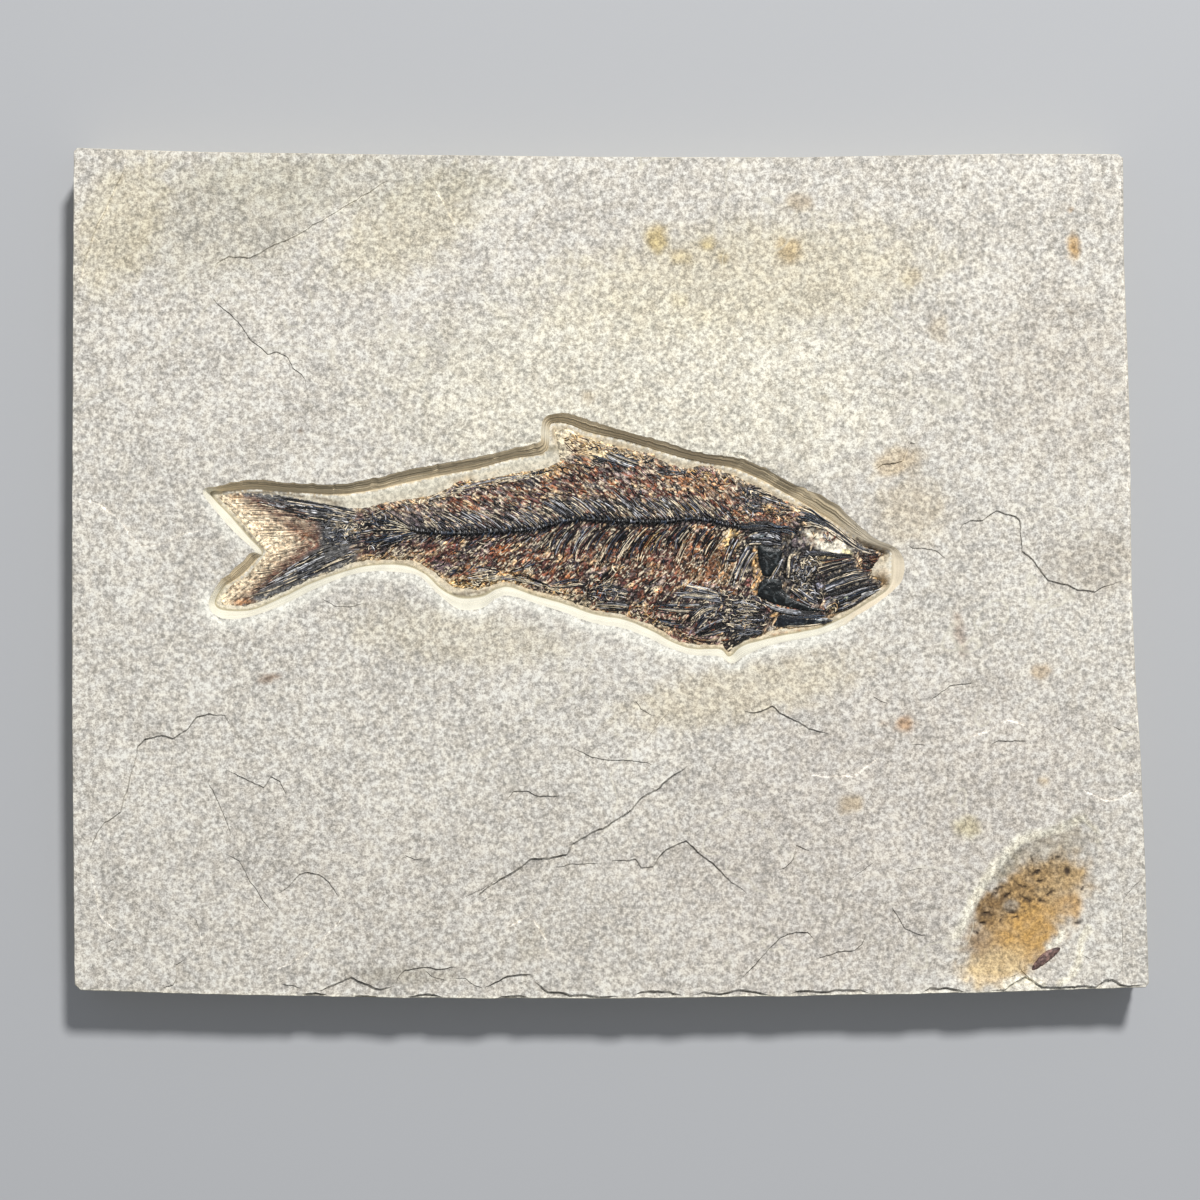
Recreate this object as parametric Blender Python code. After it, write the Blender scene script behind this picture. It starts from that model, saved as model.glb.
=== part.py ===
"""Fossil fish slab.

A plate of laminated limestone lies on its back. In its face is a hollow cut along the
outline of a herring-like fish, whose bones, scales and fins lie on the floor of that
hollow as a sheet of low relief. Near one corner a rusty hollow holds a small coprolite.

z = 0 is the back of the plate and +Z is the fossil face; +X is the head end and +Y the
side of the fish's back. Plan outlines are written in millimetres, and every mesh is
scaled to metres when it is made.
"""
import math

import bmesh
import bpy
from mathutils import Vector, noise
from mathutils.geometry import delaunay_2d_cdt

MM = 0.001

# ---------------------------------------------------------------- driving dimensions (mm)
SLAB_THICKNESS = 14.0
FACE_UNDULATION = 0.3
POCKET_DEPTH = 3.0
BED_DEPTH = 0.9
FIT_GAP = 0.3
BED_WALL_SLOPE = 0.06
LEDGE_STEP_WIDTH = 0.4
FACE_GRID = 10.0
OUTLINE_STEP = 9.0
CHIPPED_STEP = 4.5
POCKET_STEP = 3.2

FISH_EDGE_RISE = 0.25
EDGE_MARGIN = 0.45
VERTEBRA_COUNT = 45
SCALE_PITCH = 2.7

COPROLITE_CENTRE = (97.7, -86.5)
COPROLITE_LENGTH = 8.0
COPROLITE_WIDTH = 2.2
COPROLITE_HEIGHT = 1.1
COPROLITE_TURN = math.radians(38.0)
COPROLITE_SIDES = 16
HOLLOW_DEPTH = 1.5

FLOOR_Z = SLAB_THICKNESS - POCKET_DEPTH
BED_Z = FLOOR_Z - BED_DEPTH
FISH_BASE_Z = BED_Z + FIT_GAP
FISH_EDGE_Z = FLOOR_Z + FISH_EDGE_RISE

# Outer edge of the plate, clockwise from the corner above the tail.
SLAB_OUTLINE = [
    (-119.6, 95.5), (-108.1, 95.1), (-91.9, 94.6), (-47.2, 94.0), (-2.4, 93.5),
    (42.4, 93.4), (87.2, 94.2), (113.8, 94.1), (115.0, 93.2), (115.2, 72.5),
    (115.9, 52.3), (116.6, 32.1), (117.0, -3.7), (117.9, -23.9), (119.0, -41.8),
    (120.0, -66.4), (120.8, -91.9), (120.0, -92.9), (87.2, -94.0), (42.4, -94.9),
    (-2.4, -95.5), (-47.2, -95.3), (-91.9, -94.4), (-118.8, -93.5), (-120.2, -92.2),
    (-120.4, -73.1), (-120.8, -28.3), (-120.8, 7.5), (-120.6, 61.3), (-120.4, 94.6),
]

# Levels of the plate's side, as drop below the face, inset from the outline, roughness.
SIDE_LEVELS = [(1.7, 0.1, 0.10), (6.2, 0.35, 0.25), (6.8, 0.0, 0.10)]
BACK_INSET = 0.4

# Wall of the hollow around the fish: rim on the face, then foot on the floor, clockwise
# from the tip of the tail's upper lobe.
POCKET_WALL = [
    (-91.4, 18.2, -89.9, 17.9), (-88.0, 19.6, -87.0, 18.6), (-84.0, 20.5, -83.0, 18.95),
    (-80.0, 21.05, -79.5, 19.05), (-72.0, 20.3, -72.0, 18.5), (-62.0, 20.0, -62.0, 17.85),
    (-54.0, 21.0, -54.0, 18.7), (-46.0, 23.1, -46.0, 20.5), (-38.0, 24.6, -38.0, 22.2),
    (-30.0, 26.1, -30.0, 23.7), (-22.0, 28.0, -22.0, 25.9), (-16.2, 29.4, -15.2, 27.1),
    (-15.6, 31.0, -13.9, 30.0), (-15.2, 34.3, -13.8, 33.2), (-12.6, 35.8, -12.2, 34.1),
    (-9.0, 35.8, -9.2, 33.6), (-4.0, 34.1, -4.6, 31.8), (4.0, 31.7, 3.4, 30.1),
    (12.0, 29.5, 11.4, 27.5), (20.0, 27.0, 19.2, 25.5), (28.0, 26.0, 27.0, 24.0),
    (34.0, 23.9, 33.0, 21.6), (41.4, 19.9, 39.8, 17.9), (47.2, 17.6, 45.4, 14.6),
    (51.2, 15.0, 49.6, 12.0), (55.2, 11.2, 53.8, 9.3), (59.8, 7.6, 58.4, 6.8),
    (64.2, 5.6, 62.8, 5.2), (66.0, 2.0, 63.2, 2.2), (65.2, -1.8, 63.0, -1.6),
    (62.6, -4.5, 61.6, -4.0), (59.0, -7.2, 58.0, -6.3), (55.4, -9.4, 54.5, -8.5),
    (52.3, -11.6, 51.2, -10.4), (46.8, -13.8, 46.4, -12.3), (39.0, -15.4, 38.6, -13.8),
    (34.6, -16.5, 33.6, -15.0), (30.5, -18.3, 29.5, -16.2), (27.2, -20.2, 26.7, -18.5),
    (24.2, -18.6, 24.6, -16.9), (18.5, -18.3, 18.6, -16.8), (13.5, -16.8, 14.0, -15.3),
    (8.1, -14.2, 9.0, -12.6), (2.5, -12.2, 3.0, -10.2), (-3.9, -11.1, -3.7, -9.0),
    (-10.5, -8.7, -10.3, -6.7), (-17.1, -6.6, -17.2, -4.8), (-22.5, -5.0, -22.6, -2.9),
    (-25.6, -5.6, -25.6, -3.3), (-29.0, -7.8, -28.8, -4.9), (-34.0, -8.0, -33.5, -5.3),
    (-38.9, -4.3, -37.7, -3.6), (-42.9, -0.6, -41.9, 0.1), (-47.5, 0.3, -46.8, 2.0),
    (-54.5, 0.4, -54.3, 1.9), (-61.1, -1.3, -60.4, 0.4), (-67.7, -4.2, -67.2, -2.0),
    (-74.0, -7.3, -73.2, -4.9), (-80.8, -9.7, -80.2, -7.9), (-86.4, -10.2, -85.8, -8.2),
    (-89.4, -8.6, -88.4, -7.5), (-90.0, -6.0, -88.8, -5.9), (-87.9, -2.3, -86.9, -2.9),
    (-84.0, 1.1, -83.0, -0.3), (-80.9, 4.4, -79.7, 3.2), (-79.8, 5.1, -78.3, 4.8),
    (-83.5, 8.5, -81.6, 8.6), (-87.4, 12.7, -85.2, 12.8),
]

# Beds of the wall, as share of the way from rim to foot, then share of the depth.
WALL_BEDS = [(0.0, 0.0), (0.30, 0.34), (0.52, 0.44), (1.0, 1.0)]

# Outline of the fish, clockwise from the tip of the tail's upper lobe.
FISH_OUTLINE = [
    (-87.9, 17.3), (-83.7, 17.9), (-80.0, 17.9), (-75.8, 17.6), (-71.6, 17.0),
    (-67.7, 16.2), (-63.7, 15.4), (-59.8, 14.8), (-57.2, 14.6), (-54.5, 14.9),
    (-50.6, 15.9), (-45.0, 16.6), (-39.5, 17.7), (-36.3, 19.2), (-34.7, 20.4),
    (-31.6, 21.0), (-29.5, 20.8), (-26.3, 21.5), (-21.1, 22.6), (-15.0, 23.5),
    (-11.2, 25.2), (-11.6, 28.6), (-12.4, 32.3), (-9.4, 32.2), (-4.5, 30.2),
    (0.4, 28.7), (5.3, 27.4), (8.9, 26.8), (10.8, 25.6), (13.8, 24.2), (17.6, 23.5),
    (20.1, 24.0), (22.6, 23.9), (25.2, 22.8), (28.0, 21.7), (32.7, 19.5), (35.3, 18.1),
    (39.0, 16.2), (42.1, 15.0), (44.0, 14.2), (46.3, 12.6), (48.8, 11.4), (51.2, 9.9),
    (54.5, 7.7), (57.0, 6.0), (59.4, 5.4), (61.6, 4.5), (60.4, 2.8), (59.2, 1.2),
    (59.3, -0.3), (61.4, -2.4), (60.2, -3.4), (57.6, -5.3), (55.0, -6.9), (52.0, -8.5),
    (50.0, -9.6), (47.6, -10.9), (43.5, -11.8), (38.0, -12.3), (35.7, -12.8),
    (34.0, -13.7), (30.0, -14.9), (28.1, -15.9), (26.6, -17.4), (25.3, -15.6),
    (23.0, -15.7), (20.0, -15.9), (16.0, -15.1), (13.0, -13.5), (10.0, -11.6),
    (6.0, -10.2), (2.0, -8.8), (-4.0, -7.9), (-8.0, -6.4), (-12.0, -4.9), (-17.0, -3.7),
    (-20.0, -2.6), (-24.0, -1.5), (-27.5, -2.6), (-30.0, -3.5), (-35.5, -2.7),
    (-38.0, -0.6), (-41.0, 1.4), (-44.0, 3.2), (-50.0, 3.3), (-55.0, 3.2), (-57.5, 2.8),
    (-60.0, 1.9), (-63.0, 0.5), (-67.7, -1.0), (-71.0, -2.6), (-75.0, -4.5),
    (-79.0, -6.2), (-82.5, -7.1), (-87.2, -6.8), (-87.3, -5.5), (-85.2, -2.9),
    (-81.8, -0.8), (-79.0, 2.3), (-77.0, 4.8), (-80.2, 8.8), (-83.9, 13.0),
]

# Bedding ledges and open cracks of the face, as drop, reach of the low ground behind the
# edge, then the edge itself. The low ground lies to the right of each line as listed.
LEDGES = [
    (0.35, 7.0, [(-89.8, 62.6), (-83.5, 56.6), (-80.5, 52.1), (-76.8, 49.3),
                 (-72.1, 48.3), (-68.5, 43.8), (-67.8, 40.3)]),
    (0.45, 8.0, [(59.0, 23.2), (61.0, 24.5), (65.4, 25.2), (67.3, 29.3), (68.8, 29.0)]),
    (0.30, 5.0, [(67.0, 6.3), (70.5, 5.8), (75.3, 3.3)]),
    (0.50, 9.0, [(76.8, 7.9), (79.2, 11.1), (83.6, 12.0), (86.5, 14.2), (91.8, 11.8),
                 (92.3, 5.2), (98.1, -1.6), (108.6, -4.0), (114.6, -2.0)]),
    (0.40, 6.0, [(70.5, -29.6), (76.0, -25.1), (80.9, -24.5), (82.6, -21.5)]),
    (0.40, 6.0, [(85.0, -38.5), (87.0, -37.5), (93.8, -37.5)]),
    (0.45, 7.0, [(29.5, -30.8), (36.3, -29.8), (42.1, -33.2), (49.4, -36.1)]),
    (0.35, 6.0, [(-8.9, -39.0), (-1.6, -41.7), (10.1, -43.1)]),
    (0.75, 14.0, [(-32.4, -74.5), (-26.1, -69.4), (-17.8, -64.0), (-9.8, -63.0),
                  (-4.0, -58.0), (2.8, -54.3), (7.1, -50.2), (13.5, -45.6), (17.8, -42.7)]),
    (0.55, 10.0, [(-0.9, -66.3), (5.7, -66.7), (11.0, -64.3), (16.9, -60.9),
                  (20.2, -63.8), (27.1, -69.1), (30.9, -73.0)]),
    (0.40, 7.0, [(37.3, -66.7), (40.9, -64.3), (41.6, -60.9), (45.0, -62.3)]),
    (0.55, 9.0, [(29.0, -91.0), (32.4, -87.6), (38.7, -81.5), (44.1, -80.5), (46.0, -82.2)]),
    (0.45, 7.0, [(46.0, -86.4), (54.3, -84.4), (57.2, -80.8)]),
    (0.40, 7.0, [(56.0, -57.5), (57.2, -52.1), (59.1, -48.0)]),
    (0.40, 7.0, [(-23.6, -51.1), (-21.7, -48.7), (-15.9, -49.9), (-10.5, -49.9)]),
    (0.45, 8.0, [(-74.9, -72.0), (-69.8, -67.4), (-65.4, -67.4), (-60.5, -73.2)]),
    (0.60, 12.0, [(-116.2, -62.5), (-113.4, -55.9), (-109.7, -53.5), (-107.3, -44.0),
                  (-106.0, -39.2), (-100.7, -36.2), (-94.9, -35.0), (-90.1, -31.4),
                  (-84.9, -34.5)]),
    (0.40, 7.0, [(-85.9, -44.2), (-77.7, -47.8), (-74.0, -46.6), (-72.4, -50.8)]),
    (0.35, 6.0, [(-90.7, -46.1), (-85.9, -56.1), (-84.9, -59.8)]),
    (0.35, 6.0, [(-86.7, -62.7), (-83.3, -64.3), (-78.0, -73.0), (-75.6, -76.5)]),
    (0.80, 6.0, [(-62.5, -92.0), (-58.1, -89.8), (-51.8, -92.2), (-46.0, -88.0),
                 (-38.7, -87.6), (-33.0, -89.6), (-24.1, -89.6), (-17.8, -89.0)]),
    (0.60, 5.0, [(-101.0, -91.6), (-97.5, -87.6), (-94.4, -86.5)]),
    (0.45, 8.0, [(-47.1, 89.8), (-67.6, 77.3), (-80.6, 70.8), (-88.5, 69.3),
                 (-90.0, 64.4)][::-1]),
    (0.40, 8.0, [(-118.0, 17.0), (-111.8, 13.1), (-105.3, 6.1), (-89.6, 10.2)][::-1]),
    (0.40, 8.0, [(-58.6, -75.7), (-65.4, -83.4), (-75.6, -89.3)]),
    (0.40, 7.0, [(93.3, -34.3), (88.9, -32.9), (80.2, -36.5)]),
    (0.35, 6.0, [(60.6, -41.0), (54.7, -45.6), (44.5, -45.3)]),
    (0.35, 6.0, [(117.0, -48.8), (110.8, -51.0), (105.0, -48.0)]),
    (0.50, 8.0, [(-118.4, 64.0), (-117.0, 71.3), (-114.6, 78.3), (-111.6, 84.3),
                 (-109.0, 90.8), (-108.6, 93.2)]),
    (0.60, 5.0, [(114.0, -91.0), (114.8, -81.6), (114.3, -76.3), (118.2, -69.6)]),
    (0.50, 8.0, [(61.4, -72.8), (66.1, -79.4), (71.4, -81.0)]),
]

HOLLOW_RIM = [
    (104.6, -54.0), (108.6, -56.8), (109.0, -62.6), (107.6, -75.0), (106.0, -84.0),
    (101.0, -91.6), (76.0, -91.6), (77.6, -85.6), (79.4, -79.4), (83.4, -70.6),
    (90.4, -61.3), (98.4, -57.6),
]

# Bones that stand out of the fish as ridges: half width, height, line.
BACKBONE = [
    (-44.3, 9.8), (-38.2, 8.8), (-30.0, 8.9), (-22.1, 9.3), (-15.8, 9.9), (-10.5, 11.4),
    (-4.7, 11.7), (4.3, 11.5), (11.9, 11.7), (17.5, 12.4), (22.0, 11.8), (28.3, 10.1),
]
HEAD_RIDGES = [
    (0.6, 0.40, [(39.7, 8.0), (39.1, 3.4), (38.9, -1.6), (41.4, -4.4), (50.0, -7.2)]),
    (0.5, 0.30, [(43.0, 0.4), (50.0, 2.0), (57.4, 3.4)]),
    (0.5, 0.35, [(43.5, -2.4), (49.0, -0.8), (57.5, 1.4)]),
    (0.5, 0.35, [(44.5, -4.2), (50.5, -2.8), (58.4, -0.5)]),
    (0.5, 0.30, [(46.5, -5.6), (52.0, -4.5), (59.8, -2.3)]),
    (0.5, 0.30, [(50.5, -7.6), (54.0, -6.1), (58.6, -3.9)]),
    (0.5, 0.40, [(44.6, 4.5), (50.0, 4.2), (55.5, 4.3)]),
    (0.5, 0.35, [(53.5, 6.6), (57.0, 5.0), (60.2, 4.2)]),
    (0.5, 0.30, [(27.2, 2.6), (25.4, -1.0), (24.6, -3.6)]),
    (0.5, 0.30, [(26.8, -10.0), (31.0, -9.8), (35.0, -9.6)]),
    (0.5, 0.30, [(21.0, -13.6), (25.0, -12.4), (33.0, -11.6)]),
    (0.5, 0.35, [(-18.0, -1.4), (-12.0, -2.6), (-4.0, -4.4)]),
    (0.5, 0.30, [(8.0, -8.4), (13.0, -9.6), (17.0, -10.4)]),
    (0.5, 0.40, [(4.0, 25.6), (8.2, 25.2), (9.6, 25.6)]),
]

# Flat bones: height over the body, outline.
PLATES = [
    (0.45, [(33.3, 5.9), (38.2, 5.4), (38.0, 2.3), (36.6, 0.2), (35.0, -0.6), (33.8, 0.6),
            (33.1, 3.0)]),
    (0.40, [(33.4, -2.2), (36.8, -3.4), (42.6, -6.6), (48.2, -8.3), (44.5, -8.7),
            (38.4, -7.9), (33.6, -6.2)]),
    (0.50, [(29.6, 8.2), (34.0, 7.4), (38.4, 7.8), (40.8, 9.6), (36.0, 11.8), (30.0, 10.6)]),
    (0.45, [(40.5, 13.4), (44.4, 12.9), (48.8, 10.3), (53.6, 6.9), (52.2, 6.4), (46.2, 10.4),
            (41.4, 11.8)]),
    (0.35, [(38.0, -9.5), (43.0, -9.7), (48.2, -9.9), (46.6, -10.6), (41.5, -11.2),
            (37.2, -11.3)]),
    (0.35, [(28.6, 6.9), (31.9, 6.8), (30.6, 3.2), (29.6, -0.6), (27.4, -3.8), (26.4, -3.0),
            (28.4, 1.6)]),
    (0.40, [(26.0, -13.4), (29.0, -12.9), (33.0, -12.7), (31.6, -13.7), (28.4, -14.5),
            (26.8, -16.2), (26.0, -14.8)]),
    (-0.40, [(44.8, 7.2), (46.6, 8.9), (50.0, 7.1), (52.6, 5.4), (49.0, 5.2), (45.4, 5.8)]),
]

# Fans of fin rays: ray count, height, line along the bases, line along the tips.
FINS = [
    (10, 0.30, [(-56.8, 13.8), (-58.6, 9.7)],
     [(-86.2, 16.9), (-83.0, 13.0), (-79.4, 9.0), (-76.2, 6.0)]),
    (10, 0.30, [(-58.6, 8.5), (-57.2, 3.9)],
     [(-76.4, 4.6), (-78.8, 1.4), (-81.9, -1.6), (-85.6, -6.1)]),
    (7, 0.35, [(-46.2, 10.6), (-46.2, 8.7)], [(-53.4, 13.4), (-55.2, 9.4), (-53.4, 5.0)]),
    (9, 0.30, [(-9.2, 25.2), (3.4, 24.4)], [(-11.2, 31.2), (-8.4, 30.9), (6.6, 25.8)]),
    (8, 0.35, [(26.6, -5.2), (25.8, -8.2)],
     [(14.0, -2.6), (10.4, -6.0), (16.2, -9.2), (18.6, -12.2)]),
    (6, 0.30, [(5.8, -6.0), (5.4, -8.6)], [(0.2, -3.6), (-3.4, -5.0), (-2.8, -7.0)]),
    (8, 0.30, [(-35.6, 1.4), (-24.4, 0.6)], [(-36.4, -1.2), (-33.4, -2.2), (-26.6, -1.7)]),
]


# ------------------------------------------------------------------------ plane geometry
def resample(points, step, closed):
    """Split every long segment into equal pieces no longer than step."""
    ends = points[1:] + points[:1] if closed else points[1:]
    path = []
    for (ax, ay), (bx, by) in zip(points, ends):
        pieces = max(1, math.ceil(math.hypot(bx - ax, by - ay) / step))
        for piece in range(pieces):
            share = piece / pieces
            path.append((ax + (bx - ax) * share, ay + (by - ay) * share))
    if not closed:
        path.append(points[-1])
    return path


def curve_point(before, start, end, after, share):
    """One point of a Catmull-Rom curve between start and end, in any dimension."""
    square = share * share
    cube = square * share
    return tuple(
        0.5 * (2.0 * b + (c - a) * share + (2.0 * a - 5.0 * b + 4.0 * c - d) * square
               + (3.0 * b - a - 3.0 * c + d) * cube)
        for a, b, c, d in zip(before, start, end, after))


def smooth_path(points, step, closed):
    """A curve through the points, sampled about every step in its first two numbers."""
    count = len(points)
    spans = count if closed else count - 1
    path = []
    for index in range(spans):
        if closed:
            corners = [points[(index + shift) % count] for shift in (-1, 0, 1, 2)]
        else:
            corners = [points[min(max(index + shift, 0), count - 1)]
                       for shift in (-1, 0, 1, 2)]
        length = math.hypot(corners[2][0] - corners[1][0], corners[2][1] - corners[1][1])
        pieces = max(1, round(length / step))
        for piece in range(pieces):
            path.append(curve_point(*corners, piece / pieces))
    if not closed:
        path.append(tuple(points[-1]))
    return path


def point_along(points, share):
    """The point at a share of the length of an open line."""
    lengths = [math.dist(a, b) for a, b in zip(points, points[1:])]
    left = share * sum(lengths)
    for (start, end), length in zip(zip(points, points[1:]), lengths):
        if left <= length:
            part = left / length
            return tuple(a + (b - a) * part for a, b in zip(start, end))
        left -= length
    return tuple(points[-1])


def normals_out(loop):
    """Outward normals, with mitre length, of a clockwise loop's corners."""
    count = len(loop)
    normals = []
    for index in range(count):
        before, here, after = loop[index - 1], loop[index], loop[(index + 1) % count]
        first = Vector((before[1] - here[1], here[0] - before[0])).normalized()
        second = Vector((here[1] - after[1], after[0] - here[0])).normalized()
        middle = (first + second).normalized()
        normals.append(middle / max(0.6, middle.dot(first)))
    return normals


def offset_loop(loop, distance):
    """A clockwise loop moved outwards by distance, or inwards where it is negative."""
    return [(x + normal.x * distance, y + normal.y * distance)
            for (x, y), normal in zip(loop, normals_out(loop))]


def beside(path, shift):
    """An open line moved to its right by shift, or to its left where it is negative."""
    moved = []
    for index, (x, y) in enumerate(path):
        before = path[max(index - 1, 0)]
        after = path[min(index + 1, len(path) - 1)]
        run = Vector((after[0] - before[0], after[1] - before[1])).normalized()
        moved.append((x + run.y * shift, y - run.x * shift))
    return moved


def nearest_on_line(x, y, points):
    """Distance to an open line, side (positive on the right) and share of its length."""
    best = (1e9, 1.0, 0.0)
    done = 0.0
    total = sum(math.dist(a, b) for a, b in zip(points, points[1:]))
    for (ax, ay), (bx, by) in zip(points, points[1:]):
        dx, dy = bx - ax, by - ay
        length = math.hypot(dx, dy)
        share = ((x - ax) * dx + (y - ay) * dy) / (length * length)
        share = min(1.0, max(0.0, share))
        away = math.hypot(x - ax - dx * share, y - ay - dy * share)
        if away < best[0]:
            side = (x - ax) * dy - (y - ay) * dx
            best = (away, side, (done + share * length) / total)
        done += length
    return best


def distance_to_loop(x, y, loop):
    return nearest_on_line(x, y, loop + loop[:1])[0]


def inside(x, y, loop):
    """Even-odd test of a point in a closed outline."""
    hit = False
    for (ax, ay), (bx, by) in zip(loop, loop[1:] + loop[:1]):
        if (ay > y) != (by > y) and x < ax + (bx - ax) * (y - ay) / (by - ay):
            hit = not hit
    return hit


def trimmed(line, outline, margin):
    """The first stretch of a line that stays inside an outline, clear of its edge."""
    stretch = []
    for x, y in resample(line, 0.5, False):
        if inside(x, y, outline) and distance_to_loop(x, y, outline) > margin:
            stretch.append((x, y))
        elif stretch:
            break
    if len(stretch) < 3:
        return []
    bends = [point for point in line[1:-1] if point in stretch[1:-1]]
    return [stretch[0], *bends, stretch[-1]]


def grain(x, y, size, seed):
    """Smooth noise from -1 to 1 with features of about the given size."""
    return noise.noise(Vector((x / size, y / size, seed)))


# ------------------------------------------------------------------------- relief sheets
class ReliefSheet:
    """Points and lines in plan, each with a height, that become one skin of triangles."""

    MERGE = 0.03

    def __init__(self, height):
        self.height = height
        self.points = []
        self.edges = []

    def add_points(self, points):
        for x, y in points:
            self.points.append((x, y, self.height(x, y)))

    def add_line(self, points, closed=False, level=None):
        """Add a line at the sheet's own height, or at a level of its own."""
        first = len(self.points)
        if not points:
            return range(first, first)
        for x, y in points:
            self.points.append((x, y, self.height(x, y) if level is None else level))
        last = len(self.points) - 1
        self.edges += [(index, index + 1) for index in range(first, last)]
        if closed:
            self.edges.append((last, first))
        return range(first, last + 1)

    def triangulate(self, outline):
        """Corners and triangles inside the outline, and where each given point went."""
        plan = [Vector((x, y)) for x, y, _ in self.points]
        corners, _, faces, sources, _, _ = delaunay_2d_cdt(
            plan, self.edges, [], 0, self.MERGE)
        placed = []
        went_to = {}
        for index, corner in enumerate(corners):
            given = sources[index]
            if given:
                level = self.points[given[0]][2]
            else:
                level = self.height(corner.x, corner.y)
            placed.append(Vector((corner.x, corner.y, level)))
            for source in given:
                went_to[source] = index
        kept = []
        for face in faces:
            middle = sum((placed[index] for index in face), Vector()) / len(face)
            if inside(middle.x, middle.y, outline):
                kept.append(face)
        return placed, kept, went_to


def add_skin(mesh, sheet, outline_ids, outline):
    """Put a sheet's triangles in a bmesh and return its rim, in outline order."""
    corners, faces, went_to = sheet.triangulate(outline)
    used = {index for face in faces for index in face}
    verts = {index: mesh.verts.new(corners[index]) for index in sorted(used)}
    for face in faces:
        mesh.faces.new([verts[index] for index in face])
    return [verts[went_to[source]] for source in outline_ids]


def add_band(mesh, upper, lower):
    """Join two rims of the same count with a closed strip of quads."""
    count = len(upper)
    for index in range(count):
        after = (index + 1) % count
        mesh.faces.new((upper[index], upper[after], lower[after], lower[index]))


def finish_solid(mesh, name, colour, roughness):
    """Turn a closed bmesh in millimetres into a named object in metres."""
    bmesh.ops.scale(mesh, vec=(MM, MM, MM), verts=mesh.verts)
    bmesh.ops.triangulate(mesh, faces=mesh.faces)
    bmesh.ops.recalc_face_normals(mesh, faces=mesh.faces)
    data = bpy.data.meshes.new(name)
    mesh.to_mesh(data)
    mesh.free()
    data.materials.append(stone_material(name, colour, roughness))
    solid = bpy.data.objects.new(name, data)
    bpy.context.scene.collection.objects.link(solid)
    return solid


def stone_material(name, colour, roughness):
    material = bpy.data.materials.new(name)
    material.use_nodes = True
    shader = material.node_tree.nodes["Principled BSDF"]
    shader.inputs["Base Color"].default_value = (*colour, 1.0)
    shader.inputs["Roughness"].default_value = roughness
    shader.inputs["Metallic"].default_value = 0.0
    return material


# ------------------------------------------------------------------------------ the slab
def hollow_drop(x, y):
    """Depth of the rusty hollow below the face, rounded at its rim."""
    if not inside(x, y, HOLLOW_RIM):
        return 0.0
    away = distance_to_loop(x, y, HOLLOW_RIM)
    return HOLLOW_DEPTH * (1.0 - math.exp(-away / 3.0))


def ledge_drop(x, y):
    """Sum of the low grounds below every ledge; each one dies out at its ends."""
    drop = 0.0
    for height, reach, line in LEDGES:
        away, side, share = nearest_on_line(x, y, line)
        if side > 0.0:
            ends = min(1.0, 6.0 * min(share, 1.0 - share))
            drop += height * ends * math.exp(-away / reach)
    return drop


def face_height(x, y):
    waves = FACE_UNDULATION * (0.5 * grain(x, y, 42.0, 1.7) + 0.3 * grain(x, y, 15.0, 5.2))
    return SLAB_THICKNESS - 0.3 + waves - ledge_drop(x, y) - hollow_drop(x, y)


def edge_samples():
    """Points around the plate, closer together along its chipped lower edge."""
    samples = []
    count = len(SLAB_OUTLINE)
    for index in range(count):
        ends = [SLAB_OUTLINE[index], SLAB_OUTLINE[(index + 1) % count]]
        chipped = max(ends[0][1], ends[1][1]) < -90.0
        samples += resample(ends, CHIPPED_STEP if chipped else OUTLINE_STEP, False)[:-1]
    return samples


def rough_inset(x, y, base, roughness, seed):
    return base + roughness * (0.5 + 0.5 * grain(x, y, 6.0, seed))


def face_inset(x, y):
    """How far the face stops short of the outline; flakes are lost along the low edge."""
    if y > -90.0:
        return rough_inset(x, y, 0.15, 0.35, 2.0)
    flake = 0.5 + 0.5 * math.sin(x * 0.23 + 1.1) * math.sin(x * 0.071)
    return 0.4 + 1.3 * flake + rough_inset(x, y, 0.0, 0.4, 7.0)


def moved_in(samples, insets):
    normals = normals_out(samples)
    return [(x - normal.x * inset, y - normal.y * inset)
            for (x, y), normal, inset in zip(samples, normals, insets)]


def face_grid():
    """Loose grid of points over the face, clear of the fish's hollow."""
    rim = [(x, y) for x, y, _, _ in POCKET_WALL]
    points = []
    columns = int(236.0 / FACE_GRID)
    rows = int(186.0 / FACE_GRID)
    for column in range(1, columns):
        for row in range(1, rows):
            x = -118.0 + FACE_GRID * (column + 0.3 * grain(column, row, 0.7, 3.0))
            y = -92.0 + FACE_GRID * (row + 0.3 * grain(column, row, 0.7, 9.0))
            near_rim = distance_to_loop(x, y, rim) < 2.5
            if not inside(x, y, rim) and not near_rim:
                points.append((x, y))
    return points


def ledge_lines():
    """Crest and foot of every ledge, a step's width apart."""
    lines = []
    for _, _, line in LEDGES:
        path = resample(line, 6.0, False)
        lines += [beside(path, side * LEDGE_STEP_WIDTH) for side in (-0.5, 0.5)]
    return lines


def coprolite_outline(extra):
    """Clockwise lens-shaped outline of the coprolite, grown by extra."""
    half_length = 0.5 * COPROLITE_LENGTH
    half_width = 0.5 * COPROLITE_WIDTH
    loop = []
    for side in range(COPROLITE_SIDES):
        angle = -2.0 * math.pi * side / COPROLITE_SIDES
        along = half_length * math.cos(angle)
        across = half_width * math.sin(angle) * (1.0 + 0.12 * math.cos(angle))
        cos_turn, sin_turn = math.cos(COPROLITE_TURN), math.sin(COPROLITE_TURN)
        loop.append((COPROLITE_CENTRE[0] + along * cos_turn - across * sin_turn,
                     COPROLITE_CENTRE[1] + along * sin_turn + across * cos_turn))
    return offset_loop(loop, extra) if extra else loop


def pit_floor():
    x, y = COPROLITE_CENTRE
    return face_height(x, y) - 0.7


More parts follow.
